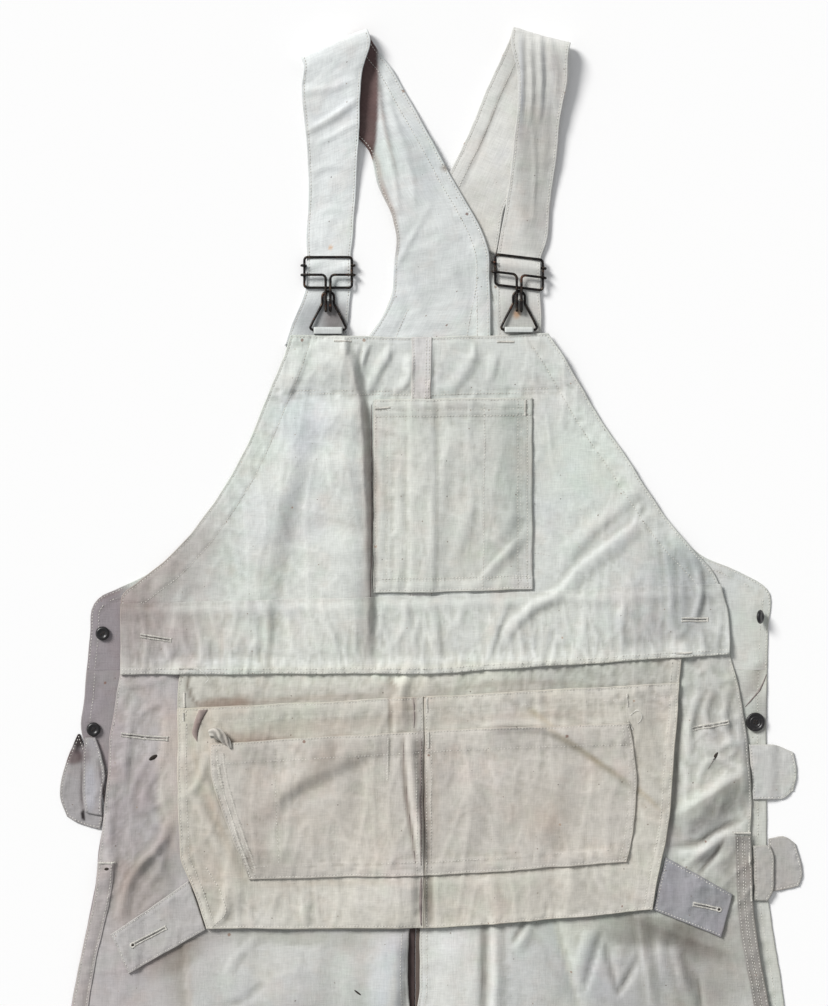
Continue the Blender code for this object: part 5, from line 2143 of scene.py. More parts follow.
@dataclass
class Legs:
    """The front of both legs, and the felled seams down their outer sides."""

    shop: Shop
    # The left leg is darker than the right: painted shade where the light falls off towards the left.
    left_color: Color = (0.465, 0.44, 0.44)
    right_color: Color = (0.55, 0.55, 0.52)

    def build(self) -> tuple[Panel, Panel]:
        """Builds the legs and their side seams.

        Returns:
            The left and the right front leg.
        """
        trim = self.shop.trim("legs")
        pale = (1.16, 1.235, 1.19)
        mesh_size = {"cell": 2.8, "coarse": 14.0, "coarse_run": 806}  # coarser towards the hems
        foot = Hem(Side.BOTTOM, 18, 0.8, (2.0, 16.0))
        left = Panel(
            "front_leg_left",
            lower_front,
            self.left_color,
            **mesh_size,
            hems=(Hem(Side.LEFT, 10, 0.5, (2.0,)), foot, Hem(Side.RIGHT, 8, 0.3, (7.0,))),
            # Mostly painted shade and painted light: shadows under the apron's edge and the tab, shade on the
            # far flanks of folds and in troughs, and lit flanks made lighter.
            patches=(
                Patch(-104, -340, 170, 130, pale, core=0.6),
                Patch(-275, -215, 46, 70, (0.92, 0.88, 0.84)),
                Patch(-240, -100, 15, 90, (1.20, 1.15, 1.08), core=0.5),
                Patch(-266, -112, 20, 36, (0.84, 0.79, 0.80), core=0.2),
                Patch(-292, -96, 18, 90, (0.90, 0.87, 0.885), core=0.4),
                Patch(-270, -170, 40, 66, (0.91, 0.91, 0.915), core=0.3),
                Patch(-243, -190, 18, 40, (0.88, 0.87, 0.86)),
                Streak(((-223, -252), (-221, -290), (-216, -352)), 3, 30, (0.84, 0.80, 0.77)),
                Patch(-232, -274, 44, 16, (0.74, 0.72, 0.68), 28, 0.3),
                Streak(((-30, -252), (-34, -290), (-44, -345)), 10, 26, (1.02, 1.055, 1.13)),
                Streak(((-21, -262), (-23, -300), (-28, -350)), 8, 5, (0.88, 0.90, 0.95)),
                Patch(-70, -262, 18, 14, (0.84, 0.83, 0.81)),
                Patch(-20, -262, 12, 60, (0.95, 0.95, 0.97)),
                Patch(-231, -300, 28, 44, (0.89, 0.88, 0.87), core=0.2),
                Streak(((-212, -250), (-98, -254), (-38, -251)), 8, 15, (0.78, 0.79, 0.74)),
                Streak(((-280, -286), (-240, -270), (-204, -252)), 4, 9, (0.72, 0.68, 0.66)),
                Streak(((-238, -140), (-251, -167), (-275, -195), (-289, -238)), 7, 12, (0.80, 0.76, 0.72)),
            ),
        )
        right = Panel(
            "front_leg_right",
            lower_front,
            self.right_color,
            **mesh_size,
            hems=(Hem(Side.RIGHT, 10, 0.5, (2.0,)), foot, Hem(Side.LEFT, 8, 0.3, (2.0, 7.0))),
            # Mostly painted shade and painted light: shadows under the apron and the tab and beside the
            # apron's edge, shade in creases and on the far flanks of folds, and lit panels and ridges made
            # lighter.
            patches=(
                Patch(25, -310, 52, 90, (1.16, 1.17, 1.19), core=0.4),
                Patch(26, -258, 22, 26, (1.08, 1.08, 1.11)),
                Patch(96, -300, 44, 70, (0.99, 1.01, 1.05), core=0.4),
                Patch(160, -292, 26, 50, (1.03, 1.04, 1.09), 12, 0.2),
                Patch(200, -300, 80, 80, (0.84, 0.84, 0.86), core=0.3),
                Patch(270, -270, 56, 80, (0.72, 0.71, 0.70), core=0.4),
                Patch(275, -28, 44, 40, (0.91, 0.92, 0.93), core=0.3),
                Streak(((272, -16), (262, -40), (256, -66)), 3, 6, (0.84, 0.84, 0.84)),
                Streak(((252, -12), (262, -20), (280, -22)), 3, 5, (0.82, 0.82, 0.82)),
                Patch(287, -62, 14, 26, (1.07, 1.07, 1.07)),
                Streak(((234, -146), (268, -124), (295, -107), (312, -98)), 3, 34, (0.66, 0.64, 0.63)),
                Streak(((236, -160), (262, -148), (290, -130), (308, -120)), 15, 12, (0.80, 0.78, 0.78)),
                Streak(
                    ((231, -169), (259, -167), (278, -155), (295, -147), (308, -142)),
                    5,
                    2.5,
                    (0.50, 0.47, 0.46),
                ),
                Streak(((262, -197), (276, -177), (287, -158)), 4, 3, (0.58, 0.54, 0.53)),
                Patch(262, -180, 26, 12, (1.06, 1.03, 1.03), 30),
                Patch(291, -186, 18, 40, (0.80, 0.79, 0.78), core=0.3),
                Patch(252, -210, 16, 16, (0.84, 0.82, 0.82)),
                Patch(268, -192, 20, 16, (0.86, 0.85, 0.85)),
                Streak(((244, -26), (238, -120), (230, -176)), 4, 4, (0.60, 0.56, 0.54)),
                Streak(((307, -14), (309, -66), (310, -124)), 10, 10, (0.48, 0.48, 0.49)),
                Streak(((58, -232), (58, -280), (57, -352)), 5, 5.5, (0.46, 0.44, 0.435)),
                Streak(((68, -236), (68, -280), (67, -352)), 4, 4, (1.08, 1.08, 1.08)),
                Streak(((97, -234), (92, -248), (85, -260)), 3, 3, (0.70, 0.68, 0.68)),
                Streak(((119, -232), (131, -273), (146, -324)), 2, 20, (0.84, 0.86, 0.91)),
                Streak(((168, -250), (161, -276), (150, -310)), 3, 3, (0.78, 0.78, 0.80)),
                Streak(((171, -258), (178, -284), (186, -310)), 3, 3, (0.80, 0.79, 0.80)),
                Streak(((184, -310), (194, -292), (204, -272)), 3, 3, (0.80, 0.79, 0.80)),
                Streak(((205, -230), (209, -263), (219, -326)), 14, 2, (0.84, 0.82, 0.80)),
                Streak(((14, -241), (130, -233), (218, -228)), 5, 15, (0.78, 0.79, 0.76)),
                Patch(212, -248, 58, 21, (0.64, 0.62, 0.60), -4, 0.45),
                Patch(186, -262, 26, 14, (0.86, 0.85, 0.84)),
                Patch(256, -258, 44, 20, (0.80, 0.79, 0.78), -22, 0.4),
                Streak(((198, -236), (240, -254), (296, -272)), 4, 18, (0.64, 0.62, 0.61)),
                Streak(((259, -288), (264, -324)), 3, 3, (0.72, 0.71, 0.71)),
            ),
        )
        trim.panel(left)
        trim.panel(right)
        for side, leg, color, rows in (
            ("left", left, (0.44, 0.405, 0.40), (2.0,)),
            ("right", right, (0.30, 0.285, 0.27), (2.0, 6.5)),
        ):
            fell = Panel(
                "side_fell_" + side,
                draped(leg.crest, ()),
                color,
                cell=2.2,
                coarse=6.0,
                coarse_run=800,
                hems=tuple(Hem(s, 4.5, 0.35, rows, trim=2.0) for s in (Side.LEFT, Side.RIGHT)),
                feather=(Side.RIGHT,) if side == "left" else (Side.LEFT,),
                allowance=2.0,
            )
            trim.panel(fell)
            if side == "left":
                trim.bar_tack(fell, (-308, -184), (-292, -184), True)
                trim.slit(fell, [(-302, -190), (-298, -189)], 1.4)
            else:
                trim.bar_tack(fell, (295, -156), (310, -156), True)
                trim.bar_tack(fell, (309, -174), (309, -186), True)
                trim.bar_tack(fell, (311, -206), (312, -220), True)
        trim.buttonhole(left, (-286, -63), (-243, -67))
        trim.slit(left, [(-259.5, -86.5), (-252.5, -82)], 1.9)
        trim.buttonhole(right, (256, -58), (289, -51))
        trim.slit(right, [(275, -86), (279, -79.5)], 1.3)
        trim.crease(right, [(270, -95), (273, -90), (275, -86)], 0.25)
        trim.slit(left, [(-65, -305), (-59, -309.5)], 0.9)
        trim.slit(left, [(-326, -300), (-319, -304)], 1.6)
        trim.finish()
        return left, right


@dataclass
class Bib:
    """The bib's two halves, their felled join, and the pocket over it."""

    shop: Shop
    color: Color = (0.62, 0.64, 0.615)
    pocket_color: Color = (0.60, 0.61, 0.575)

    def build(self) -> tuple[Panel, Panel]:
        """Builds the bib.

        Returns:
            Its left and right halves.
        """
        trim = self.shop.trim("bib")
        top = Hem(Side.TOP, 56, 0.35, (2.4, 52.5, 55.5), 0.4)
        left = Panel(
            "bib_left",
            upper_front,
            self.color,
            cell=2.6,
            hems=(top, Hem(Side.LEFT, 21, 0.4, (2.2, 20.0), 0.35)),
            patches=UPPER_PATCHES,
        )
        right = Panel(
            "bib_right",
            upper_front,
            self.color,
            cell=2.6,
            hems=(top, Hem(Side.RIGHT, 21, 0.4, (2.2, 20.0), 0.35)),
            patches=UPPER_PATCHES,
        )
        trim.panel(left)
        trim.panel(right)
        seam = Panel(
            "bib_centre_seam",
            draped(plus(upper_front, Level(PLY + 0.1)), ()),
            (0.635, 0.625, 0.605),
            ply=0.8,
            cell=2.0,
            hems=(Hem(Side.LEFT, 5, 0.1, (2.2,)), Hem(Side.RIGHT, 5, 0.1, (2.2, 5.0))),
            allowance=2.0,
        )
        trim.panel(seam)
        lift = plus(
            Relief((*POCKET_FOLDS, *crumples(6, 0.5)), 0.6),
            seam_ridge([(-1.5, 320), (-1.5, 60)], 9.5, 1.9),
        )
        pocket = Panel(
            "bib_pocket",
            plus(left.crest, Level(GAP), lift),
            self.pocket_color,
            hems=(
                Hem(Side.TOP, 17, 0.5, (2.0, 10.5, 16.5)),
                Hem(Side.LEFT, 9, 0.35, (2.2, 13.0, 18.0)),
                Hem(Side.RIGHT, 9, 0.35, (5.0, 11.0, 14.0)),
                Hem(Side.BOTTOM, 14, 0.4, (2.2, 11.0, 13.0)),
            ),
            # Painted shade beside the pocket's folds and along its left side where it turns under, darker
            # towards its right side, and painted light over its middle.
            patches=(
                Patch(88, 180, 24, 100, (0.76, 0.785, 0.785), core=0.4),
                Patch(62, 118, 20, 56, (0.90, 0.90, 0.90), core=0.2),
                Patch(40, 190, 14, 40, (0.95, 0.95, 0.95)),
                Patch(40, 110, 22, 50, (0.95, 0.95, 0.95), core=0.2),
                Streak(((101, 126), (81, 106), (61, 84), (50, 72)), 3, 8, (0.86, 0.86, 0.86)),
                Patch(-20, 160, 30, 100, (1.05, 1.05, 1.04), core=0.3),
                Patch(20, 226, 70, 20, (1.03, 1.04, 1.03)),
                Streak(((-44, 250), (-44, 120), (-44, 76)), 4, 4, (0.84, 0.78, 0.76)),
            ),
            gape=(2.4, 26),
        )
        trim.panel(pocket)
        trim.work.sew([pocket.seated(smooth_line([(58, 250), (58, 160), (57, 76)], 3.0))])
        trim.crease(left, [(-49, 250), (-48.5, 180), (-49, 110), (-51, 40)], 0.5)
        trim.bar_tack(pocket, (97, 254), (97, 240), True)
        trim.bar_tack(pocket, (-45, 246), (-31, 247), True)
        for x in (-76, 78):
            trim.bar_tack(left if x < 0 else right, (x - 8, 310), (x + 8, 310), True)
        trim.work.sew([right.seated(smooth_line([(104, 109), (110, 109), (119, 107)], 2.0))], FINE_STITCH)
        trim.finish()
        return left, right


@dataclass
class Waist:
    """The waistband over the lower edge of the bib and the upper edges of the apron and legs."""

    shop: Shop
    bib: tuple[Panel, Panel]
    legs: tuple[Panel, Panel]
    apron: Panel
    color: Color = (0.62, 0.635, 0.605)

    def build(self) -> Panel:
        """Builds the waistband.

        Returns:
            The band.
        """
        trim = self.shop.trim("waist")
        worn_edge = Streak(((-292, 2), (-90, -1), (60, 3), (300, 10)), 7, 7, (0.95, 0.93, 0.88))
        over = draped(upper_front, (*self.bib, *self.legs, self.apron), Relief(WAIST_PUCKERS, 0.5), 16)
        band = Panel(
            "waistband",
            over,
            self.color,
            ply=1.5,
            hems=(Hem(Side.BOTTOM, 6, 0.8, (1.6, 5.0), 0.3),),
            feather=(Side.TOP,),
            grow={Side.BOTTOM: (0, -4), Side.TOP: (0, 3)},
            patches=(*UPPER_PATCHES, worn_edge),
            allowance=10.0,
        )
        trim.panel(band)
        trim.buttonhole(band, (-268, 31), (-239, 27))
        trim.buttonhole(band, (245, 46), (270, 46))
        trim.bar_tack(band, (-231, 0), (-217, 0), True)
        trim.bar_tack(band, (240, 14), (254, 15), True)
        trim.loose_thread([(-214, 1, 0.2), (-207, -4, 0.8), (-203, -10, 0.3), (-206, -14, 0.2)], band)
        trim.finish()
        return band


@dataclass
class Apron:
    """The nail apron: a base and two tiers of pockets on each side of its pleat."""

    shop: Shop
    legs: tuple[Panel, Panel]
    color: Color = (0.55, 0.535, 0.485)

    def build(self) -> Panel:
        """Builds the apron and its tabs.

        Returns:
            The apron's base.
        """
        trim = self.shop.trim("apron")
        relief = Relief((*APRON_FOLDS, *crumples(7, 0.85), *APRON_PUCKERS), 1.9)
        ground = plus(lower_front, Level(PLY + 0.15))
        base = Panel(
            "apron_base",
            draped(ground, self.legs, relief),
            self.color,
            cell=3.0,
            hems=(Hem(Side.LEFT, 9, 0.4, (2.0,)), Hem(Side.RIGHT, 9, 0.4, (2.0, 8.0))),
            # Painted light across the top strip, taking back the shade under the waistband; painted shade by
            # the corner of the left pocket, in the folded left edge and above the pocket mouths.
            patches=(
                Patch(170, -6, 110, 28, (0.88, 0.90, 0.92), core=0.3),
                Patch(234, -202, 16, 20, (1.18, 1.17, 1.16), core=0.2),
                Patch(-190, -33, 36, 8, (0.66, 0.58, 0.55), 6, 0.4),
                Streak(((-34, -6), (-26, -20)), 3, 3, (0.74, 0.68, 0.66)),
                Streak(((-223, -5), (-222, -18), (-219, -27), (-211, -37)), 2.5, 3, (0.52, 0.46, 0.44)),
                Patch(-6, -10, 36, 13, (1.13, 1.13, 1.12), core=0.3),
                Patch(-226, -190, 18, 44, (0.90, 0.885, 0.91), core=0.5),
                Patch(-226, -80, 20, 64, (0.87, 0.875, 0.88), core=0.5),
                Patch(-226, -140, 14, 30, (0.98, 0.95, 0.96), core=0.3),
                Patch(-110, -6, 150, 14, (1.14, 1.17, 1.17), core=0.4),
                Patch(40, -4, 120, 12, (1.10, 1.11, 1.11), core=0.3),
                Streak(((-212, -37), (-88, -27), (-32, -26)), 5, 5, (0.80, 0.74, 0.71)),
                Streak(((6, -22), (81, -14), (193, -18)), 5, 5, (0.84, 0.80, 0.78)),
            ),
            allowance=15.0,
        )
        trim.panel(base)
        for side in ("left", "right"):
            self._pockets(trim, base, side)
        trim.finish()
        return base

    def _pockets(self, trim: Trim, base: Panel, side: str) -> None:
        """Builds one side's two tiers of pockets and its tab.

        Args:
            trim: the apron's trim.
            base: the apron's base.
            side: "left" or "right".
        """
        outer, centre = (Side.LEFT, Side.RIGHT) if side == "left" else (Side.RIGHT, Side.LEFT)
        upper = Panel(
            "apron_pocket_upper_" + side,
            plus(base.crest, Level(GAP + 0.3)),
            (0.582, 0.560, 0.505),
            hems=(
                Hem(Side.TOP, 15, 0.5, (2.0, 13.0), 0.4),
                Hem(outer, 10, 0.4, (2.2, 8.5)),
                Hem(centre, 7, 0.35, (2.2,)),
                Hem(Side.BOTTOM, 44, 0.35, (2.2,), 0.3),
            ),
            seams=(Seam(((-111, -203), (-111, -242)), 0.9, 1.6, False),) if side == "left" else (),
            patches=UPPER_POCKET_PATCHES,
            gape=(2.6, 30),
        )
        trim.panel(upper)
        lower = Panel(
            "apron_pocket_lower_" + side,
            plus(upper.crest, Level(GAP + 0.2)),
            (0.53, 0.503, 0.462),
            hems=(
                Hem(Side.TOP, 21, 0.6, (1.6, 20.0), 0.4),
                Hem(outer, 9, 0.4, (2.2, 7.0)),
                Hem(centre, 7, 0.35, (2.2, 6.5)),
                Hem(Side.BOTTOM, 15, 0.8, (2.2, 12.6), 0.45),
            ),
            seams=(Seam(((-140, -78), (-139, -130), (-136, -186)), 0.8, 1.6),) if side == "left" else (),
            patches=LOWER_POCKET_PATCHES,
            gape=(2.8, 30),
        )
        trim.panel(lower)
        if side == "left":
            trim.bar_tack(base, (-226, -23), (-226, -37), True)
            trim.bar_tack(upper, (-227, -42), (-227, -50), True)
            trim.work.sew([lower.seated(smooth_line([(-33, -66), (-33, -106)], 1.5), 0.1)], ZIGZAG)
            slant = ((-195, -80), (-190, -112), (-178, -150), (-165, -188))
            for inset in (0, 6):
                line = [(x + inset, y) for x, y in slant]
                trim.work.sew([lower.seated(smooth_line(line, 1.5), 0.1)], ZIGZAG)
            trim.crease(lower, [(-19, -66), (-16, -112), (-7, -184)], 0.6)
            trim.crease(lower, [(-1.6, -66), (-2, -120), (-2, -186)], 0.9)
            trim.crease(upper, [(-1.6, -198), (-2.4, -220), (-1.6, -244)], 1.5)
            trim.crease(upper, [(-8.5, -28), (-8, -42), (-8.5, -56)], 0.5)
            corner = [(-205, -190), (-192, -212), (-187, -231), (-197, -243)]
            trim.work.sew([upper.seated(smooth_line(corner, 2.0))])
            self._folded_corner(trim, upper)
            self._rolled_corner(trim, lower)
        else:
            trim.bar_tack(upper, (4, -28), (4, -42), True)
            trim.bar_tack(lower, (5, -60), (5, -74), True)
            trim.bar_tack(upper, (193, -24), (194, -36), True)
            trim.bar_tack(upper, (194, -50), (198, -58), True)
            trim.loose_thread([(196, -44, 0.2), (203, -39, 1.2), (207, -45, 0.4), (203, -52, 0.2)], upper)
        self._tab(trim, side)

    @staticmethod
    def _folded_corner(trim: Trim, pocket: Panel) -> None:
        """Folds over the corner of the upper left pocket: its inner face is coloured dark brown, darker
        towards its inner edge, as painted shade.

        Args:
            trim: the apron's trim.
            pocket: the pocket.
        """
        outer = smooth_line([(-212.5, -39.5), (-217.5, -53), (-219, -62), (-214.5, -69)], 1.0)
        inner = smooth_line([(-204, -39), (-209, -48), (-213, -58), (-214.2, -69)], 1.0)
        share = np.linspace(0, 1, 22)
        across = np.linspace(0, 1, 6)
        a, b = along(outer, share), along(inner, share)
        plan = a[:, None] * (1 - across)[None, :, None] + b[:, None] * across[None, :, None]
        z = pocket.top(plan[..., 0].ravel(), plan[..., 1].ravel()).reshape(plan.shape[:2])
        rise = 0.35 + 1.1 * np.sin(np.pi * across)[None] * np.sin(np.pi * np.clip(share, 0.05, 0.95))[:, None]
        top, bottom = np.dstack([plan, z + rise]), np.dstack([plan, z - 0.2])
        mesh = shell_mesh("fold", hand_drift(top), hand_drift(bottom))
        shade = np.tile(1.0 - 0.4 * across, len(share))[:, None]
        tint = np.array((0.34, 0.275, 0.255)) * shade
        cloth = np.column_stack([plan.reshape(-1, 2) * MM, np.full(plan.shape[0] * plan.shape[1], 3.0)])
        set_attributes(mesh, np.concatenate([tint, tint]), np.concatenate([cloth, cloth]))
        place("apron_folded_corner", mesh, trim.finishes.canvas)

    @staticmethod
    def _rolled_corner(trim: Trim, pocket: Panel) -> None:
        """Rolls and twists the corner of the lower left pocket's mouth.

        Args:
            trim: the apron's trim.
            pocket: the pocket that the roll lies on.
        """
        lobes, twist = 4, 0.12  # ridges round the roll, and their turn from one ring to the next
        line = smooth_line([(-202, -62), (-197, -60), (-190, -64), (-184, -70), (-181, -75)], 0.8)
        share = np.linspace(0, 1, len(line))
        z = pocket.top(line[:, 0], line[:, 1]) + 3.2 - 2.4 * share**2
        thick = (6.0 - 3.2 * share) * np.sqrt(np.clip(np.sin(np.pi * (0.10 + 0.84 * share)), 0.05, 1.0))
        turns = np.linspace(0, math.tau, 32, endpoint=False)
        rings = []
        for k, (point, side, height, r) in enumerate(zip(line, sideways(line), z, thick)):
            twisted = r * (1 + 0.15 * np.cos(lobes * (turns - k * twist)))
            flat_part = np.outer(twisted * np.cos(turns), side) + point
            rings.append(np.column_stack([flat_part, height + 0.75 * twisted * np.sin(turns)]))
        points = hand_drift(np.array(rings))
        count, sides = points.shape[:2]
        mesh = ring_mesh("apron_rolled_corner", points)
        ridge = np.cos(lobes * (np.tile(turns, count) - np.repeat(np.arange(count), sides) * twist))
        # The strands are lighter on their ridges and darker between them: painted light and shade.
        tint = np.array((0.52, 0.50, 0.46)) * (0.84 + 0.24 * ridge)[:, None]
        set_attributes(mesh, tint, points.reshape(-1, 3) * MM)
        place("apron_rolled_corner", mesh, trim.finishes.canvas)

    def _tab(self, trim: Trim, side: str) -> None:
        """Builds the buttonhole tab at one lower corner.

        Args:
            trim: the apron's trim.
            side: "left" or "right".
        """
        leg = self.legs[0 if side == "left" else 1]
        relief = Relief((Crumple(22, 30, 1.3, 61, 30, 0.5), Crumple(9, 12, 0.4, 62)), 0.4)
        color = (0.46, 0.445, 0.44) if side == "left" else (0.305, 0.298, 0.32)
        tab = Panel(
            "apron_tab_" + side,
            plus(leg.crest, Level(GAP), relief),
            color,
            ply=DOUBLE_PLY,
            cell=1.9,
            hems=tuple(Hem(s, 5, 0.2, (2.0,)) for s in (Side.LEFT, Side.TOP, Side.BOTTOM)),
            allowance=5.0,
        )
        trim.panel(tab)
        if side == "left":
            trim.buttonhole(tab, (-274, -262), (-244, -246), True)
        else:
            trim.buttonhole(tab, (279, -228), (256, -223), True)


# Painted shade in the left loop's gaps and notch, and a painted highlight down its lit strip.
LOOP_MARKS = (
    Patch(-326, -62, 7, 20, (0.12, 0.10, 0.10), -8, 0.6),
    Patch(-332, -84, 12, 9, (0.50, 0.42, 0.42), core=0.5),
    Streak(((-323, -92), (-324, -118), (-323, -140)), 2.5, 3, (0.42, 0.38, 0.38)),
    Streak(((-309, -84), (-304, -110), (-303, -138)), 2, 2, (0.40, 0.36, 0.36)),
    Patch(-340, -110, 10, 34, (1.0, 1.0, 0.99), core=0.3),
    Patch(-322, -84, 12, 26, (0.88, 0.87, 0.87)),
    Patch(-315, -112, 6, 30, (1.14, 1.17, 1.22), core=0.4),
    Patch(-322, -82, 10, 12, (0.78, 0.74, 0.75), core=0.3),
    Patch(-322.6, -139.6, 1.9, 6, (0.10, 0.09, 0.09), 4, 0.7),
)


def over_leg_edge(x: Array, y: Array) -> Array:
    """The step of the right upper loop over the edge of the leg under it."""
    return (FRONT_REST + 0.35) * (1 - smooth_step(x, 329, 339))


@dataclass
class Loops:
    """The tool loops that stick out at the sides, and the carriers over them."""

    shop: Shop

    def build(self) -> None:
        """Builds the loops."""
        trim = self.shop.trim("loops")
        relief = Relief((Crumple(16, 24, 0.7, 81, 0, 0.5), Crumple(7, 10, 0.25, 82)), 0.1, 0.1)
        lifted = plus(relief, Level(DOUBLE_PLY + 0.75))
        sides = tuple(Hem(s, 4, 0.25, (2.0,), trim=2.0) for s in (Side.LEFT, Side.RIGHT))
        edges = (*sides, Hem(Side.BOTTOM, 4, 0.2, (2.0,)))
        for node, bed, color, ply, hems, allowance in (
            ("side_loop_left", relief, (0.36, 0.345, 0.35), 1.8, edges, 4.0),
            ("side_loop_right_upper", plus(relief, over_leg_edge), (0.54, 0.54, 0.525), 1.8, edges, 4.0),
            ("side_loop_right_lower", relief, (0.43, 0.42, 0.405), 1.8, edges, 4.0),
            ("loop_carrier_left", lifted, (0.38, 0.365, 0.375), 1.6, sides, 3.0),
            ("loop_carrier_right", lifted, (0.42, 0.41, 0.39), 1.6, sides, 3.0),
        ):
            marks = LOOP_MARKS if node.endswith("left") else ()
            trim.panel(Panel(node, bed, color, ply, 1.5, hems=hems, patches=marks, allowance=allowance))
        trim.finish()


@dataclass
class Strap:
    """One shoulder strap: from its end under the bib, through the slide and over the shoulder.

    Its two runs overlap in the plan, so the marks and folds of each are held apart.
    """

    shop: Shop
    node: str
    front: tuple[Section, ...]
    shoulder: tuple[Point, Point]
    low: float
    high: float
    back: tuple[Section, ...]
    color: Color
    front_patches: tuple[Patch | Streak, ...] = ()
    back_patches: tuple[Patch | Streak, ...] = ()
    front_folds: tuple[Fold, ...] = ()
    back_folds: tuple[Fold, ...] = ()
    seams: tuple[Seam, ...] = ()
    hem_left: float = 0.0  # width of the felled hem down each edge of the back run
    hem_right: float = 0.0
    ply: float = 1.9

    def build(self) -> None:
        """Builds the strap and its stitches."""
        left, right, turn_row = self._edges()
        count = int(max(line_length(left), line_length(right)) / 2.2)
        t = np.linspace(0, 1, count)
        shoulder_share = line_length(left[:turn_row]) / line_length(left)
        left, right = along(left, t), along(right, t)
        width = float(np.linalg.norm(right - left, axis=1).mean())
        s = graded(width, 2.2)
        middle = left[:, None] * (1 - s)[None, :, None] + right[:, None] * s[None, :, None]
        shape = middle.shape[:2]
        centre_steps = np.linalg.norm(np.diff(middle[:, len(s) // 2], axis=0), axis=1)
        length = np.concatenate([[0.0], np.cumsum(centre_steps)])
        normal = np.cross(np.gradient(middle, axis=1), np.gradient(middle, axis=0))
        normal *= np.sign(normal[0, 0, 2]) / np.linalg.norm(normal, axis=2, keepdims=True)
        spans = np.linalg.norm(right - left, axis=1)[:, None]
        run = np.broadcast_to(length[:, None], shape).ravel()
        off = (s[None] * spans).ravel()
        other = ((1 - s)[None] * spans).ravel()
        is_back = np.broadcast_to((t > shoulder_share)[:, None], shape).ravel()
        edge = np.minimum(np.minimum(off, other), np.minimum(run, length[-1] - run))
        x, y = middle[..., 0].ravel(), middle[..., 1].ravel()
        rise = self._features(x, y, run, off, other, is_back)
        relief = 0.7 * gradient_noise(run / 24, off / 30, 22) + 0.35 * gradient_noise(run / 9, off / 14, 23)
        relief = relief + 0.12 * gradient_noise(run / 4, off / 5, 24) + 0.3
        relief = np.maximum(relief, 0.0) * smooth_step(run, 90, 110)
        rounded = np.sqrt(1 - (1 - np.clip(edge / ROUNDING, 0, 1)) ** 2)
        half = self.ply / 2 * (0.3 + 0.7 * rounded)
        show, hide = half + rise + relief, half - 0.8 * relief
        up = np.where(is_back, hide, show).reshape(shape)[..., None]
        down = np.where(is_back, show, hide).reshape(shape)[..., None]
        above, below = middle + normal * up, middle - normal * down
        for face in (above, below):
            face[..., 2] = np.maximum(face[..., 2], 0.05)
        mesh = shell_mesh(self.node, hand_drift(above), hand_drift(below))
        front_tint = tinted(self.color, self.front_patches, x, y)
        tint = np.where(is_back[:, None], tinted(self.color, self.back_patches, x, y), front_tint)
        tint = tint * (1 - 0.12 * (1 - smooth_step(edge, 0, 2.5)))[:, None]
        cloth = np.stack([off * MM, run * MM, np.full(off.shape, float(len(self.node)))], axis=1)
        set_attributes(mesh, np.concatenate([tint, tint]), np.concatenate([cloth, cloth]))
        obj = place(self.node, mesh, self.shop.finishes.canvas, [self.node])
        is_back = is_back.reshape(shape)
        shown = np.where(is_back[..., None], middle - normal * (down + 0.12), middle + normal * (up + 0.12))
        self._sew(shown, s, spans[:, 0], is_back)

    def _features(self, x: Array, y: Array, run: Array, off: Array, other: Array, is_back: Array) -> Array:
        """How far stitches, hems, seams and folds raise or sink the face that shows.

        Args:
            x: the points' places across the plan.
            y: their places up the plan.
            run: their places along the strap.
            off: their distances from its left edge.
            other: their distances from its right edge.
            is_back: whether each is past the shoulder.

        Returns:
            The rise at each point.
        """
        near = np.minimum(off, other)
        rise = -0.30 * np.exp(-(((near - 2.6) / 1.2) ** 2)) * (1 + 0.8 * gradient_noise(run / 5, off / 9, 21))
        for distance, width in ((off, self.hem_left), (other, self.hem_right)):
            if width:
                band = 0.7 * (1 - smooth_step(distance, width - 0.8, width + 0.8))
                groove = 0.35 * np.exp(-(((distance - width + 2.2) / 1.2) ** 2))
                groove += 0.5 * np.exp(-(((distance - width - 1.4) / 1.4) ** 2))
                ripple = 1 + 0.9 * gradient_noise(run / 6, distance / 9, 25)
                rise += np.where(is_back, band - groove * ripple, 0.0)
        for seam in self.seams:
            gap = nearest_on(smooth_line(seam.line, 5.0), x, y)[0]
            rise -= np.where(is_back, seam.depth * np.exp(-((gap / seam.reach) ** 2)), 0.0)
        for folds, mask in ((self.front_folds, ~is_back), (self.back_folds, is_back)):
            for fold in folds:
                rise += np.where(mask, fold(x, y), 0.0)
        return rise

    def _sew(self, face: Array, s: Array, spans: Array, is_back: Array) -> None:
        """Sews rows along the edges, the hems and the seams.

        Args:
            face: the points just over the face that shows, rows by columns by xyz.
            s: the columns' places across, from 0 to 1.
            spans: the strap's width at each row.
            is_back: whether each point is past the shoulder.
        """
        trim = self.shop.trim(self.node)
        rows = np.arange(len(face))
        first_back = int(np.argmax(is_back[:, 0]))
        hems = (self.hem_left - 2.2, 2.2 - self.hem_right)
        kinds = [(2.6, 3), (-2.6, 3)]
        kinds += [(inset, first_back + 8) for inset in hems if abs(inset) > 2.3]
        for inset, start in kinds:
            place_at = np.clip(np.where(inset > 0, inset, spans + inset) / spans, 0.0, 1.0)
            column = np.clip(np.interp(place_at, s, np.arange(len(s))), 0, len(s) - 1.001)
            low = column.astype(int)
            share = (column - low)[:, None]
            line = face[rows, low] * (1 - share) + face[rows, low + 1] * share
            for part in (line[start : first_back - 3], line[max(start, first_back + 3) : -3]):
                if len(part) > 4:
                    trim.work.sew([hand_drift(part)])
        points, flags = face.reshape(-1, 3), is_back.ravel()
        candidates = points[flags]
        for seam in self.seams:
            line = smooth_line(seam.line, 2.5)
            gaps = np.hypot(line[:, :1] - candidates[:, 0], line[:, 1:2] - candidates[:, 1])
            z = candidates[np.argmin(gaps, axis=1), 2] + 0.15
            trim.work.sew([hand_drift(np.column_stack([line, z]))])
        trim.finish()

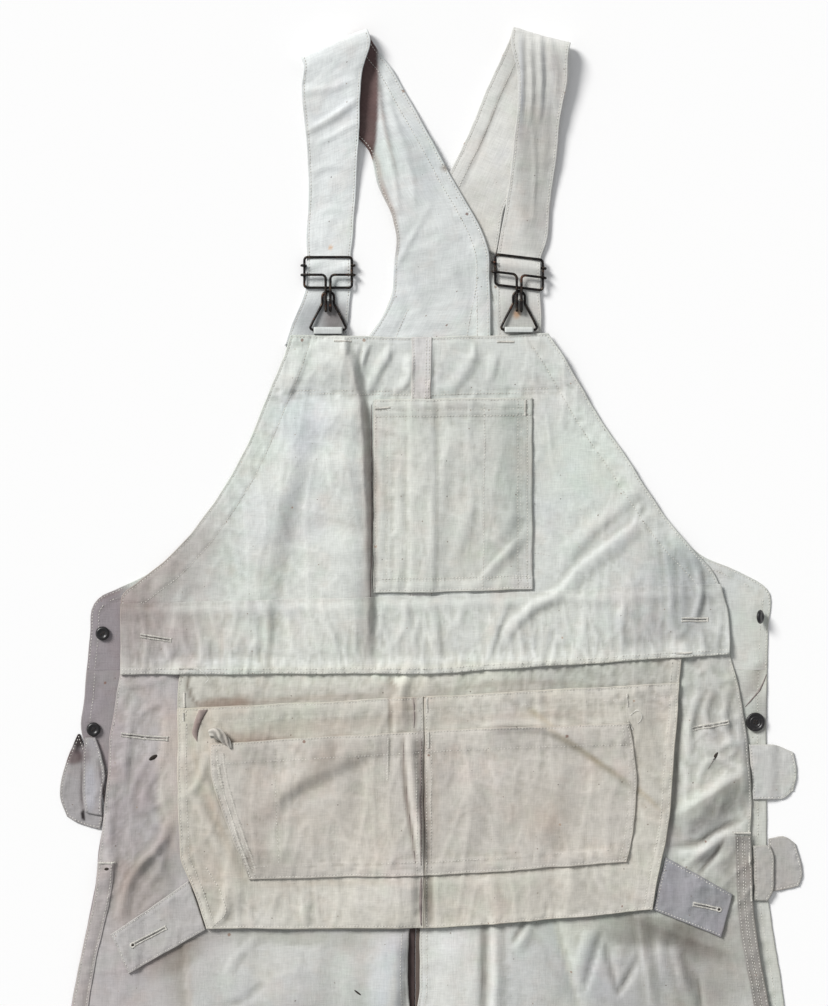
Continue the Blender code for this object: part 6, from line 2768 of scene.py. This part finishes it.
    def _edges(self) -> tuple[Array, Array, int]:
        """Finds both edges of the strap's middle surface.

        Returns:
            The left edge and the right one, from the front's end, and the shoulder's place in them.
        """
        a, b = np.array(self.shoulder[0]), np.array(self.shoulder[1])
        way = (b - a) / np.linalg.norm(b - a)
        out = np.array([-way[1], way[0]])
        radius = (self.high - self.low) / 2
        left, right = [s[0] for s in self.front], [s[1] for s in self.front]
        for turn in np.linspace(0, math.pi, 9):
            shift, z = out * radius * math.sin(turn), (self.high + self.low) / 2 + radius * math.cos(turn)
            left.append((*(a + shift), z))
            right.append((*(b + shift), z))
        fold_point = np.array(left[len(self.front) + 4])
        left += [s[0] for s in self.back]
        right += [s[1] for s in self.back]
        smooth_left, smooth_right = smooth_line(left, 1.0), smooth_line(right, 1.0)
        turn_row = int(np.argmin(np.linalg.norm(smooth_left - fold_point, axis=1)))
        return smooth_left, smooth_right, turn_row


LEFT_FRONT: tuple[Section, ...] = (
    ((-132, 306, 1.1), (-74, 306, 1.1)),
    ((-127, 320, 1.1), (-72, 321, 1.1)),
    ((-120, 336, 1.1), (-70, 337, 1.1)),
    ((-114, 350, 1.1), (-69, 350, 1.1)),
    ((-111, 361, 1.3), (-68, 361, 1.3)),
    ((-110, 374, 1.5), (-69, 374, 1.5)),
    ((-110, 382, 3.9), (-69, 382, 3.9)),
    ((-110, 390, 1.5), (-69, 390, 1.5)),
    ((-111, 405, 1.2), (-67, 404, 1.2)),
    ((-109, 440, 1.5), (-64, 438, 1.5)),
    ((-109, 480, 4.5), (-62, 480, 4.5)),
    ((-112, 520, 8.0), (-60, 522, 8.0)),
    ((-115, 552, 11.0), (-57, 566, 11.0)),
)
LEFT_BACK: tuple[Section, ...] = (
    ((-103, 552, 1.2), (-29, 568, 1.2)),
    ((-86, 528, 1.1), (-14, 542, 1.4)),
    ((-67, 508, 1.1), (-2, 520, 2.6)),
    ((-51, 490, 1.5), (11, 496, 4.6)),
    ((-43, 458, 3.0), (25, 470, 5.2)),
    ((-31, 433, 4.4), (42, 441, 5.3)),
    ((-25.5, 408, 4.5), (57, 411, 5.3)),
    ((-27.5, 383, 2.9), (63, 392, 5.2)),
    ((-30, 352, 2.5), (63.8, 370, 2.7)),
    ((-44, 325, 2.5), (64, 330, 2.5)),
    ((-56, 308, 2.5), (64, 304, 2.5)),
)
RIGHT_FRONT: tuple[Section, ...] = (
    ((71, 306, 2.6), (111, 306, 2.6)),
    ((70, 332, 2.6), (113, 332, 2.6)),
    ((70.5, 363.5, 2.8), (111.5, 358.5, 2.8)),
    ((70.5, 376.5, 3.0), (111.5, 371.5, 3.0)),
    ((70.5, 384.5, 5.4), (111.5, 379.5, 5.4)),
    ((70.5, 392.5, 3.0), (111.5, 387.5, 3.0)),
    ((72.5, 406, 2.8), (117, 403, 2.8)),
    ((79, 440, 3.4), (121, 442, 3.0)),
    ((84, 480, 6.0), (126, 482, 5.0)),
    ((88, 520, 9.0), (130, 522, 8.0)),
    ((89, 562, 12.0), (137, 556, 11.0)),
)
RIGHT_BACK: tuple[Section, ...] = (
    ((74, 578, 2.4), (134, 556, 2.4)),
    ((60, 548, 2.4), (118, 528, 2.4)),
    ((47, 516, 2.4), (106, 496, 2.4)),
    ((32, 484, 2.4), (93, 463, 2.4)),
    ((18, 452, 2.4), (76.6, 433, 2.4)),
    ((12, 430, 2.4), (73, 412, 2.4)),
    ((14, 412, 2.4), (69.5, 392, 2.4)),
)


@dataclass
class Straps:
    """Both shoulder straps."""

    shop: Shop
    left_color: Color = (0.675, 0.70, 0.70)
    right_color: Color = (0.645, 0.645, 0.62)

    def build(self) -> None:
        """Builds the straps; the left one crosses over the right one at the back."""
        Strap(
            self.shop,
            "strap_left",
            LEFT_FRONT,
            ((-114, 574), (-51, 600)),
            1.2,
            13.0,
            LEFT_BACK,
            self.left_color,
            # Painted shade behind the ring and along a fold, lighter over the middle of the run, and a small
            # rust stain.
            front_patches=(
                Patch(-90, 470, 60, 150, (1.10, 1.10, 1.10), core=0.6),
                Patch(-118, 500, 26, 90, (0.90, 0.89, 0.88)),
                Patch(-95, 332, 40, 26, (0.66, 0.66, 0.67), core=0.4),
                Patch(-84, 330, 16, 22, (0.52, 0.47, 0.46), core=0.3),
                Patch(-100, 568, 36, 26, (1.06, 1.06, 1.06)),
                Patch(-88, 399, 3.0, 3.0, (0.95, 0.62, 0.42), core=0.3),
                Streak(((-112, 506), (-88, 521), (-60, 540)), 3, 8, (0.84, 0.83, 0.82)),
            ),
            # Painted shadow of the front run over the back run at the shoulder, and painted shade along its
            # curled edge, in a crease and in the notch by the bar tack.
            back_patches=(
                Patch(-58, 552, 17, 92, (0.21, 0.135, 0.13), core=0.85),
                Patch(20, 350, 80, 60, (0.95, 0.95, 0.94)),
                Patch(10, 450, 90, 110, (0.955, 0.955, 0.95), core=0.5),
                Streak(
                    ((-62, 508), (-46, 486), (-38, 455), (-28, 430), (-25, 405), (-27, 383)),
                    5,
                    5,
                    (0.64, 0.54, 0.50),
                ),
                Streak(((-42, 560), (-34, 505), (-24, 470)), 2, 4, (0.72, 0.66, 0.64)),
                Patch(21, 474, 6, 5, (0.60, 0.54, 0.50)),
                Patch(-6, 486, 22, 56, (0.88, 0.89, 0.91), 24, 0.3),
            ),
            front_folds=(
                Fold(((-114, 506), (-88, 521), (-60, 540)), 5, 7, 1.8),
                Fold(((-116, 546), (-90, 549), (-62, 558)), 6, 7, 1.2),
                Fold(((-101, 497), (-80, 508), (-61, 519)), 4, 6, 1.1),
                Fold(((-108, 470), (-90, 476), (-72, 474)), 5, 6, 0.8),
                Fold(((-100, 430), (-86, 436), (-72, 432)), 5, 6, 0.6),
            ),
            back_folds=(
                Fold(((-43, 590), (-42, 550), (-34, 505), (-26, 476)), 3, 5, 2.4),
                Fold(((-34, 560), (-26, 520), (-10, 480)), 4, 6, 1.4),
                Fold(((-38, 500), (-28, 470), (-22, 430)), 3, 4, 1.8),
                Fold(((-22, 500), (-10, 466), (-8, 436)), 4, 5, 1.2),
                Fold(((8, 440), (-10, 408), (-27, 376)), 3, 5, 1.0),
                Fold(((10, 400), (30, 372), (36, 340)), 8, 10, 0.9),
                Fold(((-16, 380), (-6, 352), (4, 322)), 8, 9, 0.8),
            ),
            seams=(
                Seam(((52, 370), (47, 345), (42, 316)), 0.8, 1.6),
                Seam(((-14, 340), (-22, 324), (-27, 312)), 0.8, 1.6),
            ),
            hem_right=15.0,
        ).build()
        Strap(
            self.shop,
            "strap_right",
            RIGHT_FRONT,
            ((84, 601), (138, 586)),
            2.4,
            14.0,
            RIGHT_BACK,
            self.right_color,
            # Painted shade in the grooves of the folds at the shoulder, down the run and behind the ring; a
            # small rust stain.
            front_patches=(
                Streak(((92, 600), (93, 560), (92, 500)), 4, 4, (0.66, 0.68, 0.74)),
                Streak(((113, 600), (115, 560), (112, 512)), 3, 5, (0.60, 0.61, 0.64)),
                Streak(((122, 600), (124, 560), (118, 520)), 3, 6, (0.72, 0.72, 0.74)),
                Patch(106, 480, 22, 110, (0.74, 0.74, 0.735), core=0.4),
                Patch(92, 330, 30, 26, (0.74, 0.74, 0.73), core=0.3),
                Patch(89, 336, 5, 6, (0.90, 0.60, 0.42), core=0.2),
            ),
            # Painted shade along the hem's edge; darker near the shoulder and lighter lower down.
            back_patches=(
                Streak(((89, 580), (64, 520), (38, 458)), 1.5, 2.5, (0.66, 0.64, 0.62)),
                Patch(60, 590, 40, 24, (0.86, 0.86, 0.85)),
                Patch(52, 510, 60, 60, (1.06, 1.06, 1.06), core=0.5),
            ),
            front_folds=(
                Fold(((93, 600), (94, 560), (92, 522)), 3, 4, 2.0),
                Fold(((101, 602), (103, 560), (101, 512)), 3, 4, 1.8),
                Fold(((110, 598), (113, 556), (111, 520)), 3, 5, 1.7),
                Fold(((122, 592), (126, 562), (123, 530)), 5, 6, 1.3),
                Fold(((104, 520), (106, 470), (104, 420)), 2.5, 3, 1.2),
                Fold(((118, 540), (116, 500), (112, 460)), 6, 6, 0.8),
            ),
            hem_left=16.0,
        ).build()


@dataclass
class Hardware:
    """The slide, hook and ring of each strap, and the cloth tab that holds the ring."""

    shop: Shop
    slide_rise: float = 3.9  # height of the slide's wire over the set's rest
    foot_rise: float = 4.8  # height of the ring's foot over it
    foot_y: float = 321.0
    frame_half: float = 22.5
    hook_half: float = 2.2
    ring_neck: float = 5.6
    ring_foot: float = 16.8
    tab_half: float = 13.6

    def build(self) -> None:
        """Builds both sets; the right slide hangs down towards its outer side."""
        for side, x, rest, slope, root_y in (
            ("left", -90.0, 0.1, 0.0, 317.0),
            ("right", 91.0, 1.6, 0.12, 318.4),
        ):
            self._wire("slide_frame_" + side, self._frame(x, rest), x, slope, True)
            self._wire("slide_bar_" + side, self._bar(x, rest), x, slope)
            self._wire("strap_hook_" + side, self._hook(x, rest), x, slope)
            self._wire("bib_ring_" + side, self._ring(x, rest), x, 0.0, True)
            self._tab(side, x, rest, root_y)

    def _wire(self, node: str, points: list[Array], x: float, slope: float, closed: bool = False) -> None:
        """Bends one wire and places it.

        Args:
            node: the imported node's name.
            points: the wire's centre line.
            x: the middle of the set, across the plan.
            slope: how much it hangs down for each millimetre across.
            closed: whether the wire ends where it starts.
        """
        line = np.array(points)
        line[:, 1] -= slope * (line[:, 0] - x)
        mesh = tube_mesh(node, line, WIRE, 14, closed)
        place(node, mesh, self.shop.finishes.steel, [node])

    @staticmethod
    def _arc(
        centre: Spot, radius: float, start: float, end: float, u: Spot = (1, 0, 0), v: Spot = (0, 1, 0)
    ) -> list[Array]:
        """Bends an arc.

        Args:
            centre: its centre.
            radius: its radius.
            start: where it starts, in degrees from u towards v.
            end: where it ends.
            u: the first direction of its plane.
            v: the second one.

        Returns:
            Points on the arc.
        """
        turns = np.radians(np.linspace(start, end, max(4, int(abs(end - start) / 12))))
        u, v = np.array(u), np.array(v)
        return [np.array(centre) + radius * (math.cos(a) * u + math.sin(a) * v) for a in turns]

    def _frame(self, x: float, rest: float) -> list[Array]:
        """Bends the slide's closed frame.

        Args:
            x: the middle of the set, across the plan.
            rest: the height it rests at.

        Returns:
            Its centre line.
        """
        z, corner, low_y, high_y, half = rest + self.slide_rise, 3.0, 361.0, 390.0, self.frame_half
        points = []
        for cx, cy, start in (
            (x + half - corner, high_y - corner, 0),
            (x - half + corner, high_y - corner, 90),
            (x - half + corner, low_y + corner, 180),
            (x + half - corner, low_y + corner, 270),
        ):
            points += self._arc((cx, cy, z), corner, start, start + 90)
        return points

    def _wrapped(self, x: float, y: float, z: float, side: int, start: float, end: float) -> list[Array]:
        """A wire's end bent round the frame's side."""
        return self._arc((x, y, z), WRAP, start, end, u=(side, 0, 0), v=(0, 0, 1))

    def _bar(self, x: float, rest: float) -> list[Array]:
        """Bends the bar behind the strap.

        Args:
            x: the middle of the set, across the plan.
            rest: the height it rests at.

        Returns:
            Its centre line.
        """
        y, z = 382.0, rest + self.slide_rise
        left = self._wrapped(x - self.frame_half, y, z, -1, -90, 110)
        right = self._wrapped(x + self.frame_half, y, z, 1, -90, 110)
        return [*reversed(left), *right]

    def _hook(self, x: float, rest: float) -> list[Array]:
        """Bends the hook: arms round the frame, two legs, and a tongue curled back under them.

        Args:
            x: the middle of the set, across the plan.
            rest: the height it rests at.

        Returns:
            Its centre line.
        """
        arm_y, foot_y, tongue_y, bend, half = 373.0, 340.0, 350.0, 4.0, self.hook_half
        frame_z = rest + self.slide_rise
        top_z, curl = frame_z + WRAP, WRAP / 2
        points: list[Array] = []
        for way in (-1, 1):
            wrap = self._wrapped(x + way * self.frame_half, arm_y, frame_z, way, 90, -110)
            turn = self._arc((x + way * (half + bend), arm_y - bend, top_z), bend, 90, 180, u=(way, 0, 0))
            centre = (x + way * half, foot_y, top_z - curl)
            under = self._arc(centre, curl, 90, 270, u=(0, 1, 0), v=(0, 0, 1))
            run = [*reversed(wrap), *turn, *under, np.array((x + way * half, tongue_y, top_z - WRAP))]
            points += run if way < 0 else list(reversed(run))
        return points

    def _ring(self, x: float, rest: float) -> list[Array]:
        """Bends the ring: a narrow neck that spreads to a straight foot.

        Args:
            x: the middle of the set, across the plan.
            rest: the height it rests at.

        Returns:
            Its centre line.
        """
        neck_z, foot_z = rest + self.slide_rise, rest + self.foot_rise
        top_y, neck_y, foot_y = 357.5, 346.0, self.foot_y
        neck, foot, corner = self.ring_neck, self.ring_foot, 2.5
        side = smooth_line(
            [
                (x + neck, neck_y, neck_z),
                (x + neck + 2.2, neck_y - 4.5, neck_z),
                (x + foot - 1.6, foot_y + 6, foot_z),
                (x + foot, foot_y + corner, foot_z),
            ],
            1.5,
        )
        right = [
            *self._arc((x, top_y - neck, neck_z), neck, 90, 0),
            *side,
            *self._arc((x + foot - corner, foot_y + corner, foot_z), corner, 0, -90)[1:],
        ]
        return [*right, *(np.array((2 * x - p[0], p[1], p[2])) for p in reversed(right[1:]))]

    def _tab(self, side: str, x: float, rest: float, root_y: float) -> None:
        """Folds the strip of cloth round the ring's foot.

        Args:
            side: "left" or "right".
            x: the middle of the set, across the plan.
            rest: the height it rests at.
            root_y: where it comes out of the bib, up the plan.
        """
        node, foot_z = "ring_tab_" + side, rest + self.foot_rise
        inner = WIRE + GAP
        grids = []
        for radius in (inner + PLY, inner):
            line = [np.array((x, root_y, foot_z + radius))]
            line += self._arc((x, self.foot_y, foot_z), radius, 90, -90, u=(0, 1, 0), v=(0, 0, 1))
            line += [np.array((x, root_y, foot_z - radius))]
            across = np.outer(np.linspace(-self.tab_half, self.tab_half, 15), (1.0, 0.0, 0.0))
            grids.append(smooth_line(line, 0.7)[:30, None] + across[None])
        count = min(len(grid) for grid in grids)
        outer, inside_grid = (grid[np.linspace(0, len(grid) - 1, count).astype(int)] for grid in grids)
        mesh = shell_mesh(node, outer, inside_grid)
        cloth = outer.reshape(-1, 3) * MM
        tint = np.tile((0.58, 0.60, 0.58), (len(cloth), 1))
        # The inside takes a darker copy of the tint: painted shade.
        set_attributes(mesh, np.concatenate([tint, tint * 0.7]), np.concatenate([cloth, cloth]))
        obj = place(node, mesh, self.shop.finishes.canvas, [node])


@dataclass(frozen=True)
class Button:
    """One turned button."""

    node: str
    x: float
    y: float
    z: float
    tilt: float
    profile: tuple[Point, ...]
    holes: int = 0


@dataclass
class Buttons:
    """The four buttons at the back's side edges."""

    shop: Shop
    small: float = 6.7
    large: float = 9.0

    def build(self) -> None:
        """Builds the buttons: three domed ones, one of them on edge, and a large flat one."""
        r, big, rest = self.small, self.large, FRONT_REST + 0.3
        dome = ((0, 2.7), (0.42, 2.7), (0.58, 3.3), (0.72, 3.5), (0.88, 2.9), (1, 1.5), (0.9, 0.3), (0, 0.0))
        face = (
            *((0, 2.3), (0.44, 2.3), (0.50, 2.7), (0.58, 2.3), (0.74, 2.9)),
            *((0.90, 3.1), (1, 1.9), (0.85, 0.2), (0, 0.0)),
        )
        domed = tuple((r * share, z) for share, z in dome)
        flat_face = tuple((big * share, z) for share, z in face)
        for button in (
            Button("button_left_upper", -304, 33, rest, 0, domed, 2),
            Button("button_left_lower", -312.6, -58, rest, 0, domed, 2),
            Button("button_right_upper", 318, 49, rest + 6.0, 62, domed),
            Button("button_right_lower", 315.4, -51, rest, 0, flat_face, 4),
        ):
            self._turn(button)

    def _turn(self, button: Button) -> None:
        """Turns one button and places it.

        Args:
            button: the button.
        """
        sides = 40
        profile = smooth_line(button.profile, 0.35)[1:-1]
        profile[:, 0] = np.maximum(profile[:, 0], 0.05)
        turns = np.linspace(0, math.tau, sides, endpoint=False)
        circle = np.stack([np.cos(turns), np.sin(turns)], axis=1)
        rings = np.array([np.column_stack([r * circle, np.full(sides, z)]) for r, z in profile])
        mesh = ring_mesh(button.node, self._tilted(rings, button))
        place(button.node, mesh, self.shop.finishes.button, [button.node])
        # Dark discs fill the holes: painted shade.
        if button.holes:
            face_z = profile[0][1] + 0.06
            marks = []
            for k in range(button.holes):
                turn = math.tau * k / button.holes + 0.6
                centre = 0.24 * self.small * np.array([math.cos(turn), math.sin(turn)])
                spots = 0.75 * circle[::4] + centre
                levels = (np.full(len(spots), z) for z in (face_z, face_z - 0.3))
                disc = np.array([np.column_stack([spots, level]) for level in levels])
                marks.append(ring_mesh("hole", self._tilted(disc, button)))
            name = button.node + "_holes"
            place(name, joined(name, marks), self.shop.finishes.hole)

    @staticmethod
    def _tilted(points: Array, button: Button) -> Array:
        """Turns a button's points about its own y and moves them to its place.

        Args:
            points: the points.
            button: the button.

        Returns:
            The moved points.
        """
        angle = math.radians(button.tilt)
        turned = points.copy()
        turned[..., 0] = points[..., 0] * math.cos(angle) + points[..., 2] * math.sin(angle)
        turned[..., 2] = points[..., 2] * math.cos(angle) - points[..., 0] * math.sin(angle)
        return turned + np.array((button.x, button.y, button.z))


# ---- Studio ----


@dataclass
class Studio:
    """A pale table, soft light from the upper left, and a camera straight above."""

    centre: Point = (-8.55, 156.75)
    tall: float = 955.7
    distance: float = 2500.0
    table_half: float = 14.0  # in metres, past every view's edge
    sight: float = 40.0  # in metres, how far the camera sees
    key: float = 3.6
    fill: float = 0.42

    def build(self) -> None:
        """Builds the table, lights, world and camera."""
        centre = Vector(to_frame(np.array((*self.centre, 0.0))))
        mesh = bpy.data.meshes.new("table")
        half, z = self.table_half, ORIGIN[2] - 0.0002
        corners = [(-half, -half), (half, -half), (half, half), (-half, half)]
        mesh.from_pydata([(centre.x + a, centre.y + b, z) for a, b in corners], [], [(0, 1, 2, 3)])
        material, _, shader = new_material("table_top")
        shader.inputs["Base Color"].default_value = (0.93, 0.93, 0.935, 1.0)
        shader.inputs["Roughness"].default_value = 0.95
        mesh.materials.append(material)
        table = bpy.data.objects.new("table", mesh)
        bpy.context.scene.collection.objects.link(table)
        self._key_light(centre)
        world = bpy.data.worlds.new("studio")
        world.use_nodes = True
        world.node_tree.nodes["Background"].inputs[0].default_value = (0.97, 0.985, 1.0, 1.0)
        world.node_tree.nodes["Background"].inputs[1].default_value = self.fill
        bpy.context.scene.world = world
        bpy.context.scene.view_settings.view_transform = "Standard"
        self._camera(centre)

    def _key_light(self, centre: Vector) -> None:
        """Adds one broad, even light from the upper left, low enough to show the folds.

        Args:
            centre: the middle of the view, on the table.
        """
        light = bpy.data.lights.new("key_light", "SUN")
        light.energy, light.angle = self.key, math.radians(20)
        light.color = (1.0, 0.99, 0.97)
        lamp = bpy.data.objects.new("key_light", light)
        lamp.location = centre + Vector((-1.6, 1.4, 1.45))
        lamp.rotation_euler = (lamp.location - centre).to_track_quat("Z", "Y").to_euler()
        bpy.context.scene.collection.objects.link(lamp)

    def _camera(self, centre: Vector) -> None:
        """Adds the camera straight above, its long side upright.

        Args:
            centre: the middle of the view, on the table.
        """
        data = bpy.data.cameras.new("camera")
        data.sensor_fit = "AUTO"
        data.lens = 36.0 * self.distance / self.tall
        data.clip_end = self.sight
        camera = bpy.data.objects.new("camera", data)
        camera.location = centre + Vector((0, 0, self.distance * MM))
        bpy.context.scene.collection.objects.link(camera)
        bpy.context.scene.camera = camera


def main() -> None:
    """Builds the garment piece by piece, then the studio."""
    logging.basicConfig(level=logging.INFO, format="%(message)s")
    shop = Shop(Finishes.make(), stitch_tree())
    Back(shop).build()
    log.info("back built")
    legs = Legs(shop).build()
    log.info("legs built")
    bib = Bib(shop).build()
    log.info("bib built")
    apron = Apron(shop, legs).build()
    log.info("apron built")
    Waist(shop, bib, legs, apron).build()
    log.info("waistband built")
    Loops(shop).build()
    log.info("loops built")
    Straps(shop).build()
    log.info("straps built")
    Hardware(shop).build()
    Buttons(shop).build()
    log.info("hardware and buttons built")
    Studio().build()


if __name__ == "__main__":
    main()
